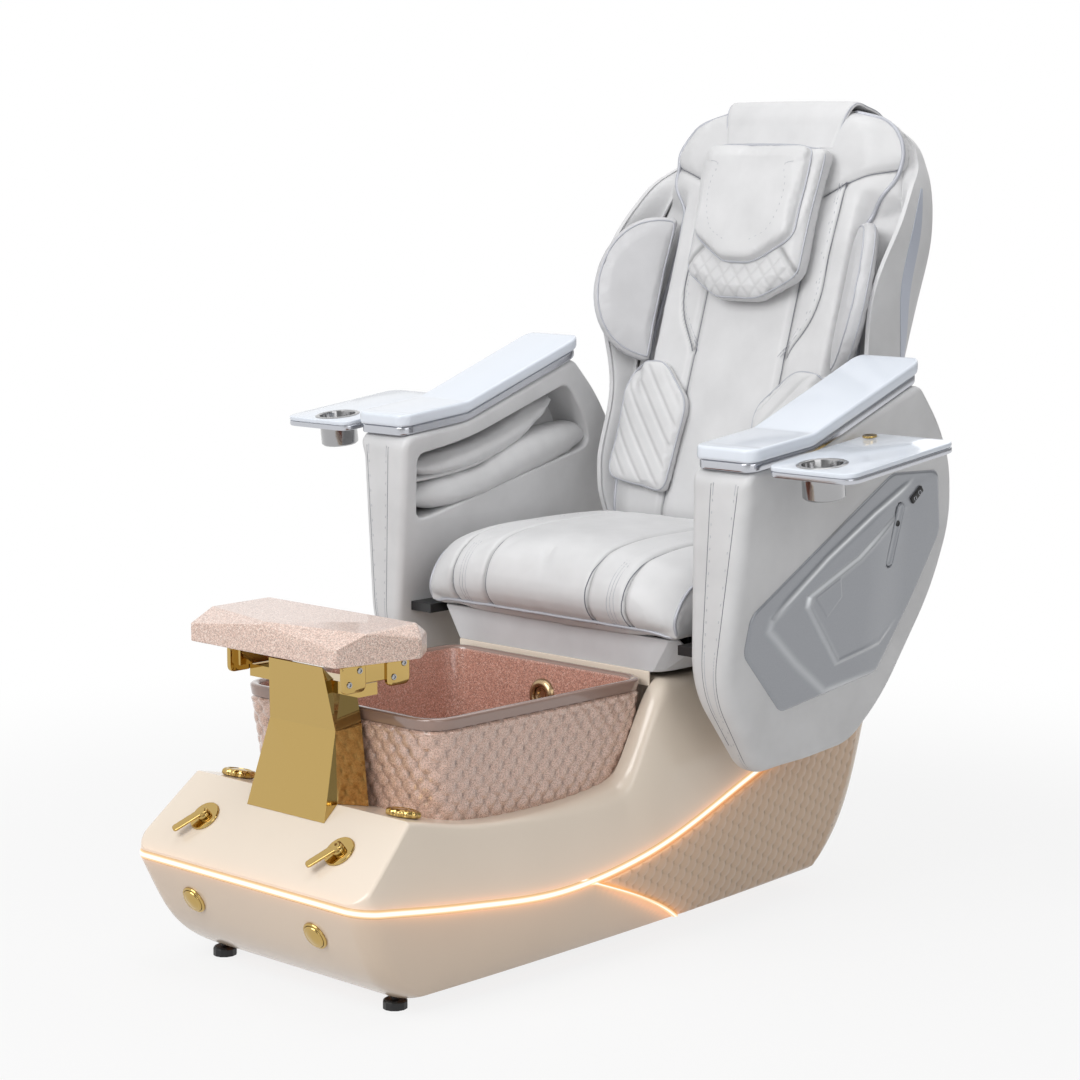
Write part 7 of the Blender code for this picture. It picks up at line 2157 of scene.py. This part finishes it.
    def build_shell(self) -> None:
        """Hooded rear shell under leatherette, with an accent stripe up each side."""
        h = np.unique(np.concatenate([np.linspace(0.03, 0.70, 80), np.linspace(0.70, self.top, 24)]))
        ease = np.linspace(0, 1, 81)
        turn = math.pi * (ease - 0.09 * np.sin(2 * math.pi * ease))
        outside, inside = self.shell_arc(h, 0.0, turn), self.shell_arc(h, self.shell_wall, turn)
        rings = np.concatenate([outside, inside[:, ::-1]], axis=1)
        make("back_hood", loft(rings), (LEATHER,), leather("back", "back_shell", 0.95), 50)
        seam = np.linspace(0, 1, 12)
        inner = spline(self.cushion_half, h)[:, None] - 0.012
        outer = spline(self.shell_half, h)[:, None] - 0.005
        x = inner + (outer - inner) * seam
        n = -0.032 + (self.shell_front(h)[:, None] - 0.003 + 0.032) * smoothstep(seam)
        for side in Side:
            grids = [self.points(side.value * x, n - back, h[:, None]) for back in (0.0, 0.004)]
            make(f"hood_lining_{side.word}", slab(*grids), (LEATHER,), leather("back"), 60)
        across, deep = np.linspace(-0.141, 0.141, 24)[None], np.linspace(-0.044, -0.067, 5)[:, None]
        grids = [self.points(across, deep, self.top - drop) for drop in (0.4 * MM, 4.5 * MM)]
        make("hood_top", slab(*grids), (LEATHER,), leather("back"), 60)
        rows = np.linspace(0.345, 0.655, 70)
        lead = spline(((0.345, 0.112), (0.42, 0.090), (0.50, 0.056), (0.58, 0.032), (0.655, 0.020)), rows)
        width = spline(((0.345, 0.018), (0.42, 0.028), (0.50, 0.030), (0.60, 0.020), (0.655, 0.005)), rows)
        front = self.shell_front(rows)
        depth = front - spline(self.shell_rear, rows)
        n = front[:, None] - lead[:, None] - width[:, None] * np.linspace(0, 1, 9)
        sine = np.clip((front[:, None] - n) / depth[:, None], 0, 1) ** (1 / 0.6)
        x = spline(self.shell_half, rows)[:, None] * np.sqrt(1 - sine ** 2) ** 0.6
        for side in Side:
            grids = [self.points(side.value * (x + lift), n, rows[:, None]) for lift in (0.9 * MM, -1.5 * MM)]
            make(f"hood_stripe_{side.word}", slab(*grids), (STRIPE,), leather("back"), 60)

    def face(self, x: Array, h: Array) -> Array:
        """Set-back of the cushion's face: rolled to its sides and ends, and sunk under the shoulder pads."""
        half = spline(self.cushion_half, h)
        share = np.abs(x) / half
        dip = 0.024 * smoothstep((share - 0.74) / 0.30)
        middle, reach = sum(self.wing_h) / 2, (self.wing_h[1] - self.wing_h[0]) / 2
        beside = np.clip(1.4 - (np.abs(h - middle) - reach) / 0.04, 0, 1)
        dip = dip + 0.030 * smoothstep((np.abs(x) - 0.180) / 0.022) * beside * (share < 2)
        ends = 0.020 * np.clip((h - self.top + 0.035) / 0.035, 0, 1) ** 2
        ends = ends + 0.018 * np.clip((self.foot + 0.05 - h) / 0.05, 0, 1) ** 2
        return np.minimum(dip + ends, self.cushion_t - 0.012)

    def on_face(self, pad: Object, path: Array, side: Side, lift: float) -> tuple[Array, Array]:
        """Path of half widths and heights, laid on the cushion with its surface directions."""
        return snap(pad, self.points(side.value * path[:, 0], -self.face(*path.T), path[:, 1]), lift)

    def build_cushion(self) -> None:
        """Back cushion: rolled to its edges, sewn into a middle channel, side bands and shoulder lobes."""
        h = np.concatenate([np.linspace(self.foot, 0.66, 70), np.linspace(0.667, self.top, 22)])
        x = spline(self.cushion_half, h)[:, None] * np.linspace(-1, 1, 73)[None]
        n = -self.face(x, h[:, None]) - 0.002
        top = np.stack([x, n, np.broadcast_to(h[:, None], x.shape)], -1)
        edge = top.reshape(-1, 3)[rim_of(*top.shape[:2])]
        bulge, foot = edge * (1, 0, 1), edge * (0.985, 0, 1)
        bulge[:, 1], foot[:, 1] = -self.cushion_t * 0.75, -self.cushion_t
        skin = cushion(top, [bulge, foot])
        pad = raw_object("back_pad", Skin(self.points(*skin.points.T), skin.faces))
        puff(pad, *BACK_SWELL)
        across, front, height = self.local(pad)
        flat = np.column_stack([np.abs(across), height])
        ahead = front > -0.036
        channel = np.array([(self.channel, 0.045), (self.channel, 0.560)])
        lines = [channel, curve_through(np.array(self.band), 40), curve_through(np.array(self.lobe), 24)]
        away = [path_distance(flat, line) for line in lines]
        full = smoothstep((height - 0.655) / 0.05) * (flat[:, 0] > 0.09)
        depth = 0.0062 * bell(away[0], 0.0075) + 0.0036 * bell(away[1], 0.0050)
        depth += 0.0048 * bell(away[2], 0.0070) - 0.004 * full
        press(pad, np.where(ahead, depth, 0.0))
        # Painted shade: darker leather along the seams' grooves.
        paint(pad, "crease", np.where(ahead, 0.75 * bell(np.minimum.reduce(away), 0.0022), 0.0))
        finish_piece(pad, (LEATHER,), leather("back", "back_cushion", 0.85), SMOOTH)
        seams, rows, cords = [], [], []
        for side in Side:
            for line in lines:
                seams.append(sweep(*self.on_face(pad, resample(line, 90), side, -0.2 * MM), 0.9 * MM, 6))
            for shift in (-0.008, -0.013):
                path = resample(lines[1] + (shift, 0.0), 80)
                rows.append(stitches(*self.on_face(pad, path, side, LIFT), *BACK_STITCH))
            path = curve_through(np.array(self.piping), 150)
            cords.append(sweep(*self.on_face(pad, path, side, 0.6 * MM), 0.0036, 8))
        make("back_seams", joined(seams), (SEAM,), leather("back"), SMOOTH)
        make("back_stitches", joined(rows), (THREAD,), leather("back"), SMOOTH)
        make("back_piping", joined(cords), (PIPING,), leather("back"), SMOOTH)

    def wing_point(self, flat: Array, height: float, side: Side) -> Array:
        """Points of a shoulder pad from its own plane and the height above its rear face."""
        c, s = math.cos(self.wing_turn), math.sin(self.wing_turn)
        reach, back = flat[..., 0], self.wing_t - height
        x = side.value * (self.wing_root + reach * c + back * s)
        return self.points(x, reach * s - back * c, flat[..., 1])

    def build_wing(self, side: Side) -> None:
        """Shoulder pad: layers of a D outline from the rear face to a crowned front, with a gusset."""
        middle, half = sum(self.wing_h) / 2, (self.wing_h[1] - self.wing_h[0]) / 2
        turn = np.linspace(-math.pi / 2, math.pi / 2, 60)
        reach = self.wing_reach * np.maximum(np.cos(turn), 0) ** 0.85
        arc = np.stack([reach, middle + half * np.sin(turn)], 1)
        root = [(0.0, middle + 0.7 * half), (0.0, middle - 0.7 * half)]
        outline = resample(np.concatenate([arc, root]), 140, True)
        layers = ((0.3, 0.0), (0.88, 0.0), (0.965, 0.10), (0.99, 0.3), (0.99, 0.62), (0.965, 0.80),
                  (0.90, 0.90), (0.75, 0.965), (0.5, 0.99), (0.2, 1.0))
        rings = [self.wing_point(shrunk(outline, scale), share * self.wing_t, side)
                 for scale, share in layers]
        pad = raw_object(f"shoulder_cover_{side.word}", loft(rings))
        puff(pad, *PAD_SWELL)
        finish_piece(pad, (SHADED_PAD_LEATHER,), leather("back", f"shoulder_pad_{side.word}", 0.7), SMOOTH)
        cords = []
        for scale, share, radius in ((0.93, 0.95, 0.0015), (0.99, 0.25, 0.0012)):
            path = self.wing_point(shrunk(outline, scale), share * self.wing_t, side)
            cords.append(sweep(*snap(pad, path, 0.2 * MM), radius, 8, True))
        make(f"shoulder_piping_{side.word}", joined(cords), (PIPING,), leather("back"), SMOOTH)

    def build_lumbar(self, side: Side) -> None:
        """Lumbar pad: a crowned five-sided pad, quilted in slanted channels, with piping round it."""
        outline = resample(rounded(self.lumbar, 0.022, 10), 150, True)
        layers = ((0.3, 0.0), (0.955, 0.0), (0.985, 0.25), (0.985, 0.55), (0.95, 0.80), (0.87, 0.92),
                  (0.7, 0.97), (0.4, 1.0), (0.1, 1.0))
        rings = []
        for scale, share in layers:
            flat = shrunk(outline, scale)
            n = CLEAR + share * self.lumbar_t - 0.5 * self.face(*flat.T)
            rings.append(self.points(side.value * flat[:, 0], n, flat[:, 1]))
        pad = raw_object(f"lumbar_cover_{side.word}", loft(rings))
        puff(pad, *LUMBAR_SWELL)
        across, front, height = self.local(pad)
        flat = np.column_stack([np.abs(across), height])
        inside = outline_distance(flat, outline)
        line, pitch = np.abs(across) - 0.85 * height, 0.034
        groove = bell(((line / pitch + 0.5) % 1 - 0.5) * pitch, 0.0040) * smoothstep((inside - 0.006) / 0.01)
        groove = np.where(front > 0.5 * self.lumbar_t, groove, 0.0)
        press(pad, 0.0022 * groove)
        # Painted shade: darker leather in the quilted grooves.
        paint(pad, "crease", 0.16 * groove)
        finish_piece(pad, (LEATHER,), leather("back", f"lumbar_pad_{side.word}", 0.7), SMOOTH)
        rim = shrunk(outline, 0.965)
        path = self.points(side.value * rim[:, 0], 0.82 * self.lumbar_t, rim[:, 1])
        make(f"lumbar_piping_{side.word}", sweep(*snap(pad, path, GAP), 0.0016, 8, True), (PIPING,),
             leather("back"), SMOOTH)

    def build_pillow(self) -> None:
        """Headrest pillow: a base with quilted chin, and a raised panel with piping and stitched outline."""
        base = resample(rounded(mirrored(self.pillow), 0.018, 10), 180, True)
        panel = resample(rounded(mirrored(self.panel), 0.014, 10), 180, True)
        layers = ((base, 0.3, 0.0), (base, 0.88, 0.0), (base, 0.90, 0.12), (base, 0.985, 0.36),
                  (base, 0.985, 0.72), (base, 0.965, 0.92), (base, 0.93, 1.0), (panel, 1.03, 1.0),
                  (panel, 1.0, 1.06), (panel, 0.99, 1.32), (panel, 0.95, 1.42), (panel, 0.8, 1.45),
                  (panel, 0.5, 1.46), (panel, 0.15, 1.46))
        rings = []
        for outline, scale, share in layers:
            flat = shrunk(outline, scale)
            rings.append(self.points(flat[:, 0], CLEAR + share * self.pillow_t, flat[:, 1]))
        pillow = raw_object("pillow_cover", loft(rings))
        puff(pillow, *PAD_SWELL)
        across, front, height = self.local(pillow)
        flat = np.column_stack([across, height])
        below = smoothstep((-outline_distance(flat, panel) - 0.004) / 0.004)
        below = below * (front > 0.75 * self.pillow_t) * (height < 0.56)
        slant = np.array([(0.074, 0.535), (0.126, 0.482)])
        ends = bell(path_distance(np.abs(flat), slant), 0.0038) * below
        chin = below * (np.abs(across) < 0.074 + (0.535 - height) * 0.98 - 0.006)
        pitch = 0.029
        slants = [np.abs(((across + turn * 0.85 * height) / pitch + 0.5) % 1 - 0.5) * pitch
                  for turn in (-1, 1)]
        quilt = np.maximum(*(bell(away, 0.0030) for away in slants)) * chin
        press(pillow, 0.0014 * quilt + 0.0035 * ends)
        # Painted shade: darker leather in the quilted chin and the slanted grooves at its ends.
        paint(pillow, "crease", 0.13 * quilt + 0.6 * ends)
        finish_piece(pillow, (LEATHER,), leather("headrest", "headrest_pillow", 0.75), SMOOTH)
        cords = []
        for outline, scale, share, radius in ((panel, 1.0, 1.10, 0.0017), (base, 0.985, 0.86, 0.0015)):
            rim = shrunk(outline, scale)
            path = self.points(rim[:, 0], share * self.pillow_t, rim[:, 1])
            cords.append(sweep(*snap(pillow, path, GAP), radius, 8, True))
        make("pillow_piping", joined(cords), (PIPING,), leather("headrest"), SMOOTH)
        half = curve_through(np.array([(0.030, 0.535), (0.060, 0.552), (0.072, 0.575), (0.078, 0.640),
                                       (0.070, 0.664), (0.086, 0.668)]), 60)
        rows = []
        for sign in (-1, 1):
            path = self.points(sign * half[:, 0], 1.5 * self.pillow_t, half[:, 1])
            rows.append(stitches(*snap(pillow, path, 0.05 * MM), *PILLOW_STITCH))
        make("pillow_stitches", joined(rows), (THREAD,), leather("headrest"), SMOOTH)

    def build_flap(self) -> None:
        """Leather flap: a padded strip that runs from the pillow up over the top of the back."""
        crest = self.top + CLEAR
        tail, end = (float(spline(self.shell_rear, np.array(self.top - drop))) for drop in (0.012, 0.035))
        route = np.array([(0.0006, 0.709), (0.0006, 0.745), (0.0008, 0.764), (-0.010, crest + 0.002),
                          (-0.035, crest + 0.004), (-0.074, crest + 0.003), (tail - 0.008, crest - 0.006),
                          (tail - 0.014, self.top - 0.014), (end - 0.006, self.top - 0.035)])
        line = curve_through(route, 60)
        along = np.gradient(line, axis=0)
        out = np.stack([along[:, 1], -along[:, 0]], 1) / np.linalg.norm(along, axis=1)[:, None]
        share = np.linspace(-1, 1, 49)
        half = np.interp(np.linspace(0, 1, 60), (0, 0.45, 1), (0.116, 0.136, 0.136))
        edge = np.sqrt(np.clip((1 - np.abs(share)) / 0.04, 0.12, 1))
        lift = (0.0062 + 0.0015 * np.cos(math.pi * share / 2)) * edge
        grids = []
        for height in (lift, np.zeros(49)):
            n = line[:, :1] + out[:, :1] * height[None]
            h = line[:, 1:] + out[:, 1:] * height[None]
            grids.append(self.points(half[:, None] * share[None], n, h))
        flap = make("flap_cover", slab(*grids), (LEATHER,), leather("back", "headrest_flap", 0.5), 60)
        cords = []
        for sign in (-1, 1):
            path = self.points(sign * half * 0.985, line[:, 0] + out[:, 0] * 0.004,
                               line[:, 1] + out[:, 1] * 0.004)
            cords.append(sweep(*snap(flap, path, LIFT), 0.0015, 8))
        make("flap_piping", joined(cords), (PIPING,), leather("back"), SMOOTH)


def dress_node(frame: dict, node: str, look: Finish, edge: float = 0.0010) -> None:
    """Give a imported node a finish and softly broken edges.

    Args:
        node: Name of the node.
        look: Its finish.
        edge: Width of the broken edge.
    """
    piece = frame["nodes"][node]
    if piece.material_slots:
        for slot in piece.material_slots:
            slot.material = look.material()
    else:
        piece.data.materials.append(look.material())
    weld = piece.modifiers.new("weld", "WELD")
    weld.merge_threshold = WELD
    soft = piece.modifiers.new("soft edge", "BEVEL")
    soft.width, soft.segments, soft.limit_method = edge, 3, "ANGLE"
    soft.angle_limit = math.radians(25)
    LOG.info("%s keeps its solid as %s", node, look.name)


def dress_solids(frame: dict) -> None:
    """Finish the nodes that keep their solids.
    """
    dress_node(frame, "pedestal", GOLD, 0.0008)
    dress_node(frame, "footrest_pad", FOOT_RESIN, 0.0030)
    # The apron takes the leather darkened as painted shade.
    dress_node(frame, "seat_apron", SHADED_PAD_LEATHER, 0.0030)
    for node in ("seat_frame", "base_frame", "slide_track", "back_frame"):
        dress_node(frame, node, BLACK_STEEL)
    for node in ("massage_carriage", "massage_rollers"):
        dress_node(frame, node, GREY)
    for side in Side:
        dress_node(frame, f"tray_pivot_{side.word}", GOLD, 0.0006)
        for end in ("front", "rear"):
            dress_node(frame, f"foot_{end}_{side.word}", BLACK)


def main() -> None:
    """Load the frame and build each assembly."""
    logging.basicConfig(level=logging.INFO, format="%(relativeCreated)d ms %(name)s: %(message)s")
    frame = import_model()
    datum = Datum()
    Stage(datum).build()
    Base(datum).build()
    Basin(datum).build()
    Controls(datum).build()
    Footrest().build()
    arms = Arms(datum)
    arms.build()
    SidePanels(datum, arms).build()
    Trays(datum).build()
    Seat(datum).build()
    Back(datum).build()
    dress_solids(frame)


if __name__ == "__main__":
    main()
